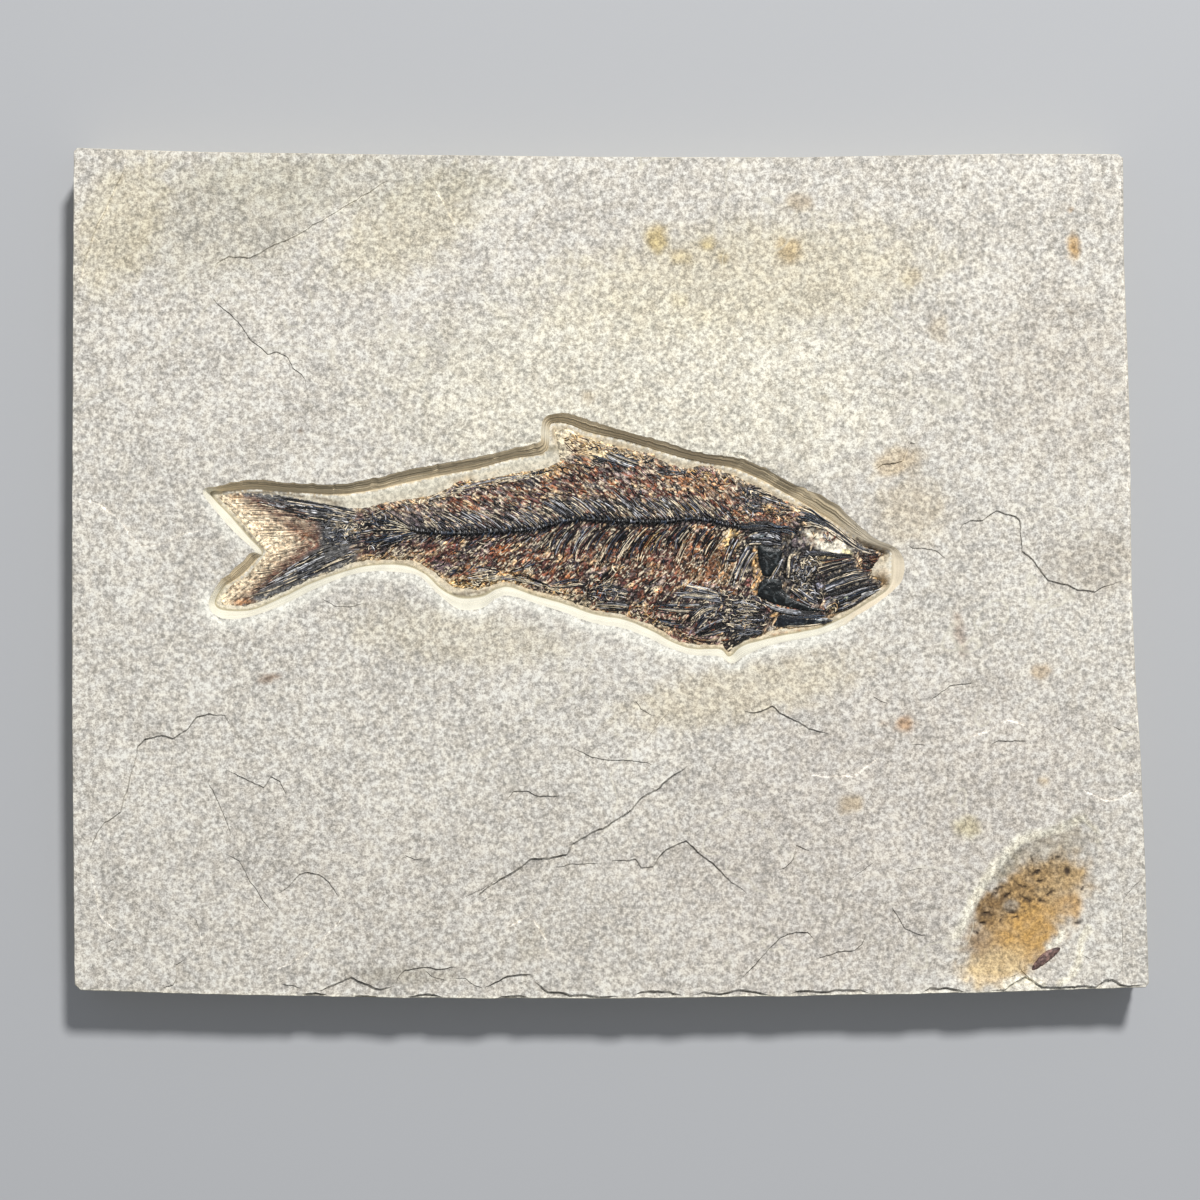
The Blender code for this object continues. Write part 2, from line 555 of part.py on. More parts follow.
def build_slab():
    samples = edge_samples()
    face_rim = moved_in(samples, [face_inset(x, y) for x, y in samples])
    sheet = ReliefSheet(face_height)
    rim_ids = sheet.add_line(face_rim, closed=True)

    stations = smooth_path(POCKET_WALL, POCKET_STEP, True)
    for across, down in WALL_BEDS:
        loop = [(rx + (fx - rx) * across, ry + (fy - ry) * across)
                for rx, ry, fx, fy in stations]
        if down == 0.0:
            sheet.add_line(loop, closed=True)
        else:
            sheet.add_line(loop, closed=True, level=SLAB_THICKNESS - POCKET_DEPTH * down)

    bed_edge = offset_loop(FISH_OUTLINE, FIT_GAP + BED_WALL_SLOPE)
    bed_foot = offset_loop(FISH_OUTLINE, FIT_GAP)
    sheet.add_line(bed_edge, closed=True, level=FLOOR_Z)
    sheet.add_line(bed_foot, closed=True, level=BED_Z)

    for line in ledge_lines():
        sheet.add_line(line)
    sheet.add_line(resample(HOLLOW_RIM, 6.0, True), closed=True)
    middle = (sum(x for x, _ in HOLLOW_RIM) / len(HOLLOW_RIM),
              sum(y for _, y in HOLLOW_RIM) / len(HOLLOW_RIM))
    for share in (0.78, 0.5):
        ring = [(middle[0] + (x - middle[0]) * share, middle[1] + (y - middle[1]) * share)
                for x, y in HOLLOW_RIM]
        pit = coprolite_outline(1.5)
        sheet.add_points([point for point in ring if not inside(*point, pit)])
    sheet.add_line(coprolite_outline(FIT_GAP + 2.0 * BED_WALL_SLOPE), closed=True)
    sheet.add_line(coprolite_outline(FIT_GAP), closed=True, level=pit_floor())
    clear_of_pit = coprolite_outline(2.0)
    sheet.add_points([point for point in face_grid() if not inside(*point, clear_of_pit)])

    mesh = bmesh.new()
    upper = add_skin(mesh, sheet, rim_ids, face_rim)
    for number, (drop, inset, roughness) in enumerate(SIDE_LEVELS):
        insets = [rough_inset(x, y, inset, roughness, 11.0 + number) for x, y in samples]
        level = SLAB_THICKNESS - drop
        lower = [mesh.verts.new((x, y, level)) for x, y in moved_in(samples, insets)]
        add_band(mesh, upper, lower)
        upper = lower
    back = [mesh.verts.new((x, y, 0.0))
            for x, y in moved_in(samples, [BACK_INSET] * len(samples))]
    add_band(mesh, upper, back)
    mesh.faces.new(back)
    return finish_solid(mesh, "limestone_slab", (0.66, 0.62, 0.54), 0.9)


# ------------------------------------------------------------------------------ the fish
def spine_direction(x):
    """Lean of the spines on the backbone: flat near the tail, steeper near the head."""
    share = min(1.0, max(0.0, (x + 44.0) / 72.0))
    return math.radians(28.0 + 27.0 * share)


def spine_length(x, dorsal):
    """Length of a spine or rib, longest behind the shoulder."""
    share = min(1.0, max(0.0, (x + 44.0) / 72.0))
    bulk = math.sin(math.pi * (0.12 + 0.72 * share))
    return 4.0 + (8.0 if dorsal else 9.5) * bulk


def vertebra_places():
    """Centre and across direction of each vertebra along the backbone."""
    line = smooth_path(BACKBONE, 1.0, False)
    places = []
    for number in range(VERTEBRA_COUNT):
        share = (number + 0.5) / VERTEBRA_COUNT
        here = point_along(line, share)
        ahead = point_along(line, min(1.0, share + 0.01))
        behind = point_along(line, max(0.0, share - 0.01))
        run = Vector((ahead[0] - behind[0], ahead[1] - behind[1])).normalized()
        places.append((Vector(here), Vector((-run.y, run.x))))
    return places


def spine_ridges():
    """Spines above the backbone and ribs below it, on every second vertebra."""
    ridges = []
    for number, (place, _) in enumerate(vertebra_places()):
        if number % 2:
            continue
        lean = spine_direction(place.x)
        for dorsal in (True, False):
            rise = 1.0 if dorsal else -1.0
            length = spine_length(place.x, dorsal)
            root = place + Vector((0.0, 1.1 * rise))
            bend = lean + math.radians(0.0 if dorsal else 8.0)
            middle = root + 0.5 * length * Vector((-math.cos(bend), rise * math.sin(bend)))
            bend += math.radians(6.0 if dorsal else 14.0)
            tip = middle + 0.5 * length * Vector((-math.cos(bend), rise * math.sin(bend)))
            ridges.append((0.5, 0.28, [tuple(root), tuple(middle), tuple(tip)]))
    return ridges


def fin_lines():
    """Crests and valleys of the fin rays, each with its height."""
    crests, valleys = [], []
    for rays, height, bases, tips in FINS:
        for line in range(2 * rays + 1):
            share = line / (2.0 * rays)
            base = Vector(point_along(bases, share))
            tip = Vector(point_along(tips, share))
            ray = [tuple(base.lerp(tip, part)) for part in (0.0, 0.35, 0.7, 1.0)]
            if line % 2:
                crests.append((0.45, height, ray))
            else:
                valleys.append(ray)
    return crests, valleys


def body_rise(x, y):
    """Thickness of the fossil over its edge, without its bones."""
    away = distance_to_loop(x, y, FISH_OUTLINE)
    tail_to_trunk = min(1.0, max(0.0, (x + 60.0) / 14.0))
    bulk = 0.12 + 0.83 * tail_to_trunk
    return bulk * (1.0 - math.exp(-away / 3.2))


def make_fish_height(ridges, vertebrae):
    """Height of the fish's relief from its ridges, beads and plates."""
    plates = [(height, outline) for height, outline in PLATES]

    def height(x, y):
        bones = 0.0
        for half_width, ridge, line in ridges:
            away = nearest_on_line(x, y, line)[0]
            if away < half_width:
                bones = max(bones, ridge * (1.0 - away / half_width))
        for place, across in vertebrae:
            offset = Vector((x, y)) - place
            sideways = offset.dot(across)
            along = math.sqrt(max(0.0, offset.length_squared - sideways * sideways))
            if abs(sideways) < 0.95 and along < 0.6:
                bead = (1.0 - along / 0.6) * (1.0 - 0.5 * abs(sideways) / 0.95)
                bones = max(bones, 0.15 + 0.5 * bead)
        for rise, outline in plates:
            if inside(x, y, outline):
                bones += rise
        if bones == 0.0 and x > -50.0:
            bones = 0.13 * grain(x, y, 1.3, 4.4)
        return max(FISH_EDGE_Z - 0.05, FISH_EDGE_Z + body_rise(x, y) + bones)

    return height


def scale_points():
    """Lattice of scale centres inside the body, every second row shifted."""
    points = []
    for row in range(-8, 12):
        for column in range(-20, 23):
            x = SCALE_PITCH * (column + 0.5 * (row % 2))
            y = 0.85 * SCALE_PITCH * row + 0.06 * x
            far_in = inside(x, y, FISH_OUTLINE) and distance_to_loop(x, y, FISH_OUTLINE) > 1.0
            if far_in and x > -56.0:
                points.append((x, y))
    return points


def build_fish():
    vertebrae = vertebra_places()
    crests, valleys = fin_lines()
    bones = spine_ridges() + HEAD_RIDGES
    sheet = ReliefSheet(make_fish_height(bones + crests, vertebrae))
    rim_ids = sheet.add_line(FISH_OUTLINE, closed=True, level=FISH_EDGE_Z)
    lines = [line for _, _, line in crests] + valleys
    for half_width, _, line in bones:
        lines += [beside(line, share * half_width) for share in (-1.0, 0.0, 1.0)]
    for line in lines:
        sheet.add_line(trimmed(line, FISH_OUTLINE, EDGE_MARGIN))
    for place, across in vertebrae:
        sheet.add_line([tuple(place + across * share) for share in (-0.9, 0.0, 0.9)])
    for first, second in zip(vertebrae, vertebrae[1:]):
        middle = 0.5 * (first[0] + second[0])
        sheet.add_points([tuple(middle + first[1] * share) for share in (-0.7, 0.0, 0.7)])
    for _, outline in PLATES:
        sheet.add_line(offset_loop(outline, -0.12), closed=True)
        sheet.add_line(offset_loop(outline, 0.12), closed=True)
    sheet.add_points(scale_points())

    mesh = bmesh.new()
    upper = add_skin(mesh, sheet, rim_ids, FISH_OUTLINE)
    lower = [mesh.verts.new((x, y, FISH_BASE_Z)) for x, y in FISH_OUTLINE]
    add_band(mesh, upper, lower)
    mesh.faces.new(lower)
    return finish_solid(mesh, "fossil_fish", (0.10, 0.065, 0.05), 0.55)


# ------------------------------------------------------------------------- the coprolite
def build_coprolite():
    """A spindle of ringed lobes on a flat base, lying in its own pit."""
    base_level = pit_floor() + FIT_GAP
    outline = coprolite_outline(0.0)
    rings = [(0.0, 0.88), (0.3, 1.0), (0.72, 0.8), (0.95, 0.45)]
    mesh = bmesh.new()
    loops = []
    for height, size in rings:
        loop = []
        for number, (x, y) in enumerate(outline):
            lobe = 1.0 if size in (0.88, 1.0) else 1.0 - 0.10 * (number % 2)
            loop.append(mesh.verts.new((
                COPROLITE_CENTRE[0] + (x - COPROLITE_CENTRE[0]) * size * lobe,
                COPROLITE_CENTRE[1] + (y - COPROLITE_CENTRE[1]) * size * lobe,
                base_level + height * COPROLITE_HEIGHT)))
        loops.append(loop)
    mesh.faces.new(loops[0])
    for lower, upper in zip(loops, loops[1:]):
        add_band(mesh, upper, lower)
    top = mesh.verts.new((*COPROLITE_CENTRE, base_level + COPROLITE_HEIGHT))
    last = loops[-1]
    for number in range(len(last)):
        mesh.faces.new((last[number], last[(number + 1) % len(last)], top))
    return finish_solid(mesh, "coprolite", (0.13, 0.06, 0.045), 0.6)


def main():
    for leftover in list(bpy.data.objects):
        bpy.data.objects.remove(leftover)
    build_slab()
    build_fish()
    build_coprolite()


main()
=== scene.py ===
import math
import random
from types import SimpleNamespace

import bpy
import numpy as np
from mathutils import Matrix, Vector, kdtree, noise
from mathutils.geometry import delaunay_2d_cdt


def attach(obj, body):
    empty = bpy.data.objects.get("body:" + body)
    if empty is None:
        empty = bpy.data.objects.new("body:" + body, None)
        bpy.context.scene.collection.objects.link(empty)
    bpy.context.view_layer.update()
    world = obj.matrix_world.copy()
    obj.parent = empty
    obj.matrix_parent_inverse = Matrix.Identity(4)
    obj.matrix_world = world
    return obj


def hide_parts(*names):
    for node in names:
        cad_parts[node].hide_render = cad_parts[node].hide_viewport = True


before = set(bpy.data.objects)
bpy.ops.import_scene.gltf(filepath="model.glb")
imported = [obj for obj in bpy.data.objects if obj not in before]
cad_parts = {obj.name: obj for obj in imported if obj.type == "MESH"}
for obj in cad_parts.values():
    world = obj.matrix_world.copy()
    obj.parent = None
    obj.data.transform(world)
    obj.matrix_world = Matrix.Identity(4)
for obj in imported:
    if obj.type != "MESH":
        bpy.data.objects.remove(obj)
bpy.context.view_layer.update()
bpy.ops.object.select_all(action="DESELECT")
mm = 0.001
dice = random.Random(4821)
print("frame loaded")


def linear(colour):
    # a 0..255 screen colour as the linear values that shaders take
    shares = np.array(colour) / 255
    return np.where(shares > 0.04045, ((shares + 0.055) / 1.055) ** 2.4, shares / 12.92)


def evenTint(colour, count):
    return np.tile(linear(colour), (count, 1))


def overlay(tint, colour, share):
    # lays a screen colour over linear ones, by a share for each point
    share = np.reshape(share, (-1, 1))
    return tint * (1 - share) + linear(colour) * share


def softStep(value, low, high):
    t = np.clip((value - low) / (high - low), 0, 1)
    return t * t * (3 - 2 * t)


def fieldNoise(points, size, seed):
    # smooth noise from -1 to 1 whose bumps are about the given size
    return np.array([noise.noise(Vector((x / size, y / size, seed))) for x, y in points])


def heading(degrees):
    return np.array([math.cos(math.radians(degrees)), math.sin(math.radians(degrees))])


def splitPath(path, step, closed=False):
    # cuts long stretches of a line into equal pieces
    points = [np.array(p, float) for p in path]
    ends = points[1:] + points[:1] if closed else points[1:]
    made = []
    for start, end in zip(points, ends):
        pieces = max(1, math.ceil(np.linalg.norm((end - start)[:2]) / step))
        made += [start + (end - start) * piece / pieces for piece in range(pieces)]
    return np.array(made if closed else made + points[-1:])


def smoothPath(path, step, closed=False):
    # Catmull-Rom curve through given points
    points = [np.array(p, float) for p in path]
    last = len(points) - 1
    made = []
    for i in range(last + closed):
        near = [(i + k) % (last + 1) if closed else min(max(i + k, 0), last) for k in (-1, 0, 1, 2)]
        a, b, c, d = (points[place] for place in near)
        pieces = max(1, round(np.linalg.norm((c - b)[:2]) / step))
        for piece in range(pieces):
            t = piece / pieces
            made.append(0.5 * (2 * b + (c - a) * t + (2 * a - 5 * b + 4 * c - d) * t * t
                               + (3 * b - a - 3 * c + d) * t ** 3))
    return np.array(made if closed else made + points[-1:])


def alongPath(path, shares):
    # points, the sideways direction there, and the line's length, at shares of that length
    lengths = np.concatenate([[0], np.cumsum(np.linalg.norm(np.diff(path, axis=0), axis=1))])
    target = np.clip(shares, 0, 1) * lengths[-1]
    side = sideNormals(path)
    spots = np.stack([np.interp(target, lengths, path[:, k]) for k in (0, 1)], axis=1)
    across = np.stack([np.interp(target, lengths, side[:, k]) for k in (0, 1)], axis=1)
    return spots, across, lengths[-1]


def sideNormals(path, closed=False):
    # unit vectors to the right of a line at each of its points
    run = np.gradient(path, axis=0)
    if closed:
        run = np.roll(path, -1, axis=0) - np.roll(path, 1, axis=0)
    run = run / np.maximum(np.linalg.norm(run, axis=1, keepdims=True), 1e-9)
    return np.stack([run[:, 1], -run[:, 0]], axis=1)


def nearLine(points, path, closed=False, reach=None):
    # distance to a line, side (positive right of it) and share of its length, per point
    ends = np.roll(path, -1, axis=0) if closed else path[1:]
    lengths = np.linalg.norm(ends - path[:len(ends)], axis=1)
    done = np.concatenate([[0], np.cumsum(lengths)])
    chosen = np.arange(len(points))
    if reach is not None:
        close = (points > path.min(axis=0) - reach) & (points < path.max(axis=0) + reach)
        chosen = np.flatnonzero(close.all(axis=1))
    near = points[chosen]
    best = np.zeros((3, len(near)))
    best[0] = 1e6
    for start, end, length, before in zip(path, ends, lengths, done):
        if length < 1e-9:
            continue
        run = (end - start) / length
        offset = near - start
        along = np.clip(offset @ run, 0, length)
        away = np.linalg.norm(offset - along[:, None] * run, axis=1)
        side = offset[:, 0] * run[1] - offset[:, 1] * run[0]
        closer = away < best[0] - 1e-7
        best[:, closer] = np.stack([away, side, (before + along) / done[-1]])[:, closer]
    result = np.zeros((3, len(points)))
    result[0] = 1e6
    result[:, chosen] = best
    return result


def insideLoop(points, loop):
    # even-odd test for many points
    hit = np.zeros(len(points), bool)
    x, y = points[:, 0], points[:, 1]
    for (ax, ay), (bx, by) in zip(loop, np.roll(loop, -1, axis=0)):
        if abs(by - ay) < 1e-12:
            continue
        crosses = (ay > y) != (by > y)
        hit ^= crosses & (x < ax + (bx - ax) * (y - ay) / (by - ay))
    return hit


def ellipseShare(points, x, y, length, width, turn):
    # 0 at the middle of a turned ellipse, given by its half length and half width, 1 on its edge
    c, s = heading(turn)
    along = (points[:, 0] - x) * c + (points[:, 1] - y) * s
    across = -(points[:, 0] - x) * s + (points[:, 1] - y) * c
    return np.sqrt((along / length) ** 2 + (across / width) ** 2)


def patchShare(points, patch, full, gone, wobble=0):
    # 1 in the middle of an elliptic patch, fading to 0 outside it
    return 1 - softStep(ellipseShare(points, *patch) + wobble, full, gone)


def triangleLattice(low, high, spacing, jitter, seed):
    # staggered rows of points with a little disorder
    rows = []
    rowHeight = spacing * 0.866
    for row in range(int((high[1] - low[1]) / rowHeight) + 1):
        xs = np.arange(low[0] + 0.5 * spacing * (row % 2), high[0], spacing)
        rows.append(np.stack([xs, np.full(len(xs), low[1] + row * rowHeight)], axis=1))
    points = np.concatenate(rows)
    return points + np.random.default_rng(seed).uniform(-jitter, jitter, points.shape) * spacing


def distanceTo(points, landmarks):
    # distance from each point to the nearest landmark
    tree = kdtree.KDTree(len(landmarks))
    for i, (x, y) in enumerate(landmarks):
        tree.insert((x, y, 0), i)
    tree.balance()
    return np.array([tree.find((x, y, 0))[2] for x, y in points])


def triangulate(plan, edges, kind, merge):
    # triangles over flat points: corners, faces, and the number each corner has in the plan
    corners, _, faces, sources, _, _ = delaunay_2d_cdt([Vector(spot) for spot in plan], edges, [],
                                                       kind, merge)
    numbers = [source[0] if source else -1 for source in sources]
    return np.array([(c.x, c.y) for c in corners]), faces, numbers


def fillLoop(loop, box, spacing, jitter, seed, margin):
    # a closed line filled with triangles: corners, faces, and which corners are on the line
    lattice = triangleLattice(box.min(axis=0), box.max(axis=0), spacing, jitter, seed)
    lattice = lattice[insideLoop(lattice, loop)]
    lattice = lattice[distanceTo(lattice, loop) > margin]
    edges = [(i, (i + 1) % len(loop)) for i in range(len(loop))]
    flat, faces, given = triangulate(np.concatenate([loop, lattice]), edges, 1, 0.002)
    return flat, [tuple(face) for face in faces], [given.index(i) for i in range(len(loop))]


def closeBelow(faces, rim, first, rings):
    # walls from a rim down through rings of new points, then the floor
    count = len(rim)
    for ring in range(rings):
        lower = [first + ring * count + i for i in range(count)]
        for i in range(count):
            j = (i + 1) % count
            faces.append((rim[i], lower[i], lower[j], rim[j]))
        rim = lower
    faces.append(tuple(rim))


def meshObject(name, vertices, faces):
    # an object at the origin whose place, given in millimetres, is in its mesh
    data = bpy.data.meshes.new(name)
    data.from_pydata([tuple(v) for v in np.asarray(vertices, float) * mm], [], faces)
    data.update()
    piece = bpy.data.objects.new(name, data)
    bpy.context.scene.collection.objects.link(piece)
    bpy.ops.object.select_all(action="DESELECT")
    piece.select_set(True)
    bpy.context.view_layer.objects.active = piece
    return piece


def turnFacesOut():
    bpy.ops.object.mode_set(mode="EDIT")
    bpy.ops.mesh.select_all(action="SELECT")
    bpy.ops.mesh.normals_make_consistent(inside=False)
    bpy.ops.object.mode_set(mode="OBJECT")


def smoothShading(degrees):
    bpy.ops.object.shade_smooth_by_angle(angle=math.radians(degrees))


def paintVertices(piece, layer, colours):
    # one linear colour per vertex, read by the materials
    attribute = piece.data.color_attributes.new(layer, "FLOAT_COLOR", "POINT")
    flat = np.ones((len(piece.data.vertices), 4), np.float32)
    flat[:, :3] = colours
    attribute.data.foreach_set("color", flat.ravel())


# the fish: a thin raised film of scales, with its bones laid on it one by one
fishFilm = dict(
    edgeLevel=11.2,
    sunkLevel=10.85,
    backLevel=10.6,
    skirt=0.4,
    spacing=0.24,
    tailRise=0.12,
    trunkRise=0.83,
    edgeRound=3.2,
    outline=[
        (-87.9, 17.3), (-83.7, 17.9), (-80, 17.9), (-75.8, 17.6), (-71.6, 17), (-67.7, 16.2), (-63.7, 15.4),
        (-59.8, 14.8), (-57.2, 14.6), (-54.5, 14.9), (-50.6, 15.9), (-45, 16.6), (-39.5, 17.7),
        (-36.3, 19.2), (-34.7, 20.4), (-31.6, 21), (-29.5, 20.8), (-26.3, 21.5), (-21.1, 22.6), (-15, 23.5),
        (-11.2, 25.2), (-11.6, 28.6), (-12.4, 32.3), (-9.4, 32.2), (-4.5, 30.2), (0.4, 28.7), (5.3, 27.4),
        (8.9, 26.8), (10.8, 25.6), (13.8, 24.2), (17.6, 23.5), (20.1, 24), (22.6, 23.9), (25.2, 22.8),
        (28, 21.7), (32.7, 19.5), (35.3, 18.1), (39, 16.2), (42.1, 15), (44, 14.2), (46.3, 12.6),
        (48.8, 11.4), (51.2, 9.9), (54.5, 7.7), (57, 6), (59.4, 5.4), (61.6, 4.5), (60.4, 2.8), (59.2, 1.2),
        (59.3, -0.3), (61.4, -2.4), (60.2, -3.4), (57.6, -5.3), (55, -6.9), (52, -8.5), (50, -9.6),
        (47.6, -10.9), (43.5, -11.8), (38, -12.3), (35.7, -12.8), (34, -13.7), (30, -14.9), (28.1, -15.9),
        (26.6, -17.4), (25.3, -15.6), (23, -15.7), (20, -15.9), (16, -15.1), (13, -13.5), (10, -11.6),
        (6, -10.2), (2, -8.8), (-4, -7.9), (-8, -6.4), (-12, -4.9), (-17, -3.7), (-20, -2.6), (-24, -1.5),
        (-27.5, -2.6), (-30, -3.5), (-35.5, -2.7), (-38, -0.6), (-41, 1.4), (-44, 3.2), (-50, 3.3),
        (-55, 3.2), (-57.5, 2.8), (-60, 1.9), (-63, 0.5), (-67.7, -1), (-71, -2.6), (-75, -4.5),
        (-79, -6.2), (-82.5, -7.1), (-87.2, -6.8), (-87.3, -5.5), (-85.2, -2.9), (-81.8, -0.8), (-79, 2.3),
        (-77, 4.8), (-80.2, 8.8), (-83.9, 13)],
    backbone=[
        (-44.3, 9.8), (-38.2, 9.2), (-30, 9.2), (-22.1, 9.6), (-15.8, 10.3), (-10.5, 11.8), (-5.2, 12.2),
        (4.3, 11.7), (11.9, 11.7), (17.5, 12.3), (22, 12), (28.3, 10.6)],
    # the share of scales up to which each colour goes
    scaleTones=[
        (0.24, (90, 50, 42)), (0.42, (124, 74, 54)), (0.5, (66, 38, 36)), (0.64, (160, 102, 66)),
        (0.73, (44, 36, 38)), (0.87, (142, 124, 118)), (1, (200, 168, 130))],
    # smooth places: middle, half length, half width and turn
    eye=(48.8, 7, 5.8, 2.6, -20),
    finTip=(-8, 29.8, 7, 4.4, -18),
    # tinted zones: middle, half length, half width, turn, colour, strength
    zones=[
        (-50, 9.5, 10, 6, 0, (66, 60, 62), 0.75), (-44, 14.6, 6, 1.8, 6, (104, 84, 78), 0.6),
        (-34, 12.2, 18, 2.6, 0, (100, 92, 94), 0.65), (-12, 13.8, 14, 2.2, 14, (100, 94, 88), 0.6),
        (8, 14.6, 14, 1.6, 0, (98, 94, 82), 0.65), (22, 13.6, 8, 1.3, -8, (92, 84, 76), 0.5),
        (-24, 21.4, 11, 1.3, 9, (208, 176, 130), 0.7), (-41, 17, 7, 1, 13, (200, 172, 134), 0.5),
        (17, 21.2, 7, 1.8, -12, (186, 130, 78), 0.5), (24, 19.4, 6, 2.6, -25, (178, 134, 92), 0.45),
        (-4, 28.2, 8, 2.4, -16, (216, 190, 140), 0.92), (-9.5, 30, 3.6, 3.2, 0, (222, 198, 152), 0.95),
        (6, 25.8, 5, 1.5, -12, (190, 164, 130), 0.75), (21.5, 22.8, 2.4, 1.3, 0, (150, 110, 112), 0.7),
        (-12, 23, 5, 1, 14, (200, 160, 110), 0.6), (-35, 15.2, 2.2, 1.6, 0, (168, 96, 54), 0.7),
        (-17, 21.2, 2.4, 1.2, 10, (52, 48, 58), 0.8), (-33, 18.6, 2.2, 2, 0, (112, 98, 98), 0.6),
        (6, 5, 16, 6, 0, (128, 82, 56), 0.45), (22, 4, 7, 6.5, 0, (158, 108, 68), 0.5),
        (27.4, 7.6, 2.4, 3, -10, (216, 184, 126), 0.85), (26, 2, 2.2, 5, -12, (190, 150, 104), 0.6),
        (13, 8.4, 3.6, 1.8, 10, (96, 56, 54), 0.7), (11.5, 3.6, 2.4, 1.6, 0, (110, 66, 66), 0.6),
        (3.6, -1.2, 2.4, 1.4, 20, (66, 34, 30), 0.7), (-8, 5, 3, 2.4, 20, (126, 74, 66), 0.6),
        (-9, 8.6, 7, 1.8, 12, (66, 64, 66), 0.6), (-24.2, 4.2, 1.6, 2.4, 0, (172, 102, 54), 0.75),
        (-37.5, 1.4, 3, 1.4, -20, (148, 128, 134), 0.75), (-31.5, 5, 3.6, 1.6, 10, (74, 72, 80), 0.6),
        (-41, 6, 6, 1.4, -6, (92, 54, 48), 0.6), (-31, -2, 7, 1.7, 2, (210, 176, 122), 0.9),
        (-22, -0.9, 4.6, 1.5, -8, (216, 172, 120), 0.85), (-12, -3.8, 8, 1.1, -13, (196, 164, 132), 0.7),
        (-16.5, -2.6, 2.4, 1.3, -20, (146, 128, 132), 0.7), (-7, -6.3, 3.4, 1.6, -22, (168, 158, 138), 0.7),
        (-9, 2, 2, 1.6, 0, (70, 76, 86), 0.6), (-1, -0.6, 1.2, 1.2, 0, (40, 52, 54), 0.8),
        (1, -5.5, 6.5, 3.2, -8, (62, 58, 62), 0.6), (9, -9.4, 6.4, 1.8, -14, (158, 126, 116), 0.75),
        (16, -13.6, 6, 1.9, -8, (132, 92, 88), 0.85), (12.6, -12.2, 3, 0.9, -28, (218, 188, 150), 0.8),
        (22, -14.9, 4.6, 1, -2, (166, 140, 136), 0.8), (20, -5, 7, 2.6, -6, (60, 60, 66), 0.7),
        (21, -10.4, 6, 3, 0, (66, 64, 66), 0.7), (17.6, -8.2, 1.3, 0.8, 20, (172, 108, 60), 0.8),
        (30, -9.5, 7, 5.4, -4, (50, 48, 54), 0.85), (34, 16.6, 5.5, 3, -24, (60, 56, 60), 0.75),
        (47, 2, 16, 9.5, -8, (34, 33, 37), 0.95), (33.6, 4, 6, 8.5, 0, (32, 34, 40), 0.92),
        (27, -15.2, 2.2, 2.8, 0, (28, 30, 36), 0.9), (37.5, 13.6, 4.2, 1.9, -14, (148, 104, 80), 0.9),
        (38.6, 12.6, 2.6, 0.8, -10, (206, 162, 118), 0.85), (35.5, 14.6, 1.6, 1.2, 0, (190, 160, 110), 0.7),
        (49, 7, 5.5, 2.2, -20, (240, 231, 210), 0.98), (46.4, 8.7, 2.8, 1.2, -12, (236, 226, 204), 0.9),
        (53.2, 4.9, 1.4, 0.6, -16, (226, 212, 160), 0.9), (45.2, 7.7, 0.9, 0.7, 0, (120, 92, 70), 0.8),
        (47.6, 7.6, 0.9, 0.5, 0, (150, 112, 84), 0.7), (-10.4, 29.8, 3.4, 4.8, -8, (240, 226, 196), 0.97),
        (-5, 28.8, 6, 2.4, -20, (230, 208, 166), 0.85), (49.8, 7.5, 0.7, 0.4, 0, (150, 116, 90), 0.7),
        (47, 6, 0.35, 0.8, 0, (110, 104, 96), 0.8), (50.9, 8, 1.2, 0.35, -24, (140, 112, 88), 0.6),
        (45.9, 6.6, 0.8, 0.5, 30, (150, 120, 92), 0.6), (46.8, 9.3, 1.6, 0.35, -6, (130, 104, 84), 0.6),
        (51.6, 6, 1, 0.4, -20, (190, 180, 164), 0.7), (47.8, 3.2, 3.4, 1.1, 12, (150, 132, 96), 0.75),
        (42.4, 7, 2, 1.4, 20, (138, 122, 124), 0.8), (33.1, 1.2, 1.3, 4.6, 6, (208, 164, 108), 0.97),
        (32.9, -2.8, 1.4, 2.2, -8, (198, 152, 100), 0.95), (31.2, -1.8, 0.9, 1.6, 0, (120, 76, 72), 0.8),
        (36.8, -9.7, 1.6, 0.75, 50, (216, 174, 120), 0.97),
        (36.2, -12.4, 1.3, 0.7, 10, (170, 164, 156), 0.9), (58, 3.4, 3.4, 1.9, -6, (88, 64, 52), 0.9),
        (56, 2.2, 0.9, 1.6, 0, (214, 172, 128), 0.8), (59.8, 0.2, 1.4, 1.5, 0, (176, 138, 70), 0.8),
        (50.2, -6.9, 1.5, 1.2, 40, (206, 186, 140), 0.8), (53.4, -5.6, 1, 0.6, 0, (150, 160, 130), 0.7),
        (43.4, -4.8, 2.2, 0.9, -38, (190, 172, 136), 0.6), (47, -2.6, 1, 0.8, 0, (140, 140, 156), 0.8)],
    # how far the tail's slate grey, and then its brown, reach, as loops
    tailSlate=[
        (-84.6, 18.4), (-81, 17), (-76.5, 16), (-72, 15.1), (-69, 13.9), (-66.6, 12.4), (-65.6, 10),
        (-65.4, 8), (-66.4, 5.6), (-69, 3.6), (-72, 1.6), (-75, -1), (-78.2, -3.6), (-81.2, -5.4),
        (-83.6, -8.2), (-50, -8), (-50, 20)],
    tailBrown=[
        (-84, 18.6), (-81.6, 16.2), (-79, 14.2), (-76, 12.2), (-73, 10.6), (-70.6, 9), (-70.4, 7.2),
        (-72.2, 5), (-75, 2.2), (-77.6, -0.6), (-80.6, -3.4), (-83, -5), (-86, -8.6), (-50, -9), (-50, 20)],
    tailSpots=[
        (-56.6, 9.9, 1.7, 0.9, 20, (226, 186, 122), 0.85), (-61.6, 11, 1.3, 1, 0, (196, 176, 140), 0.5),
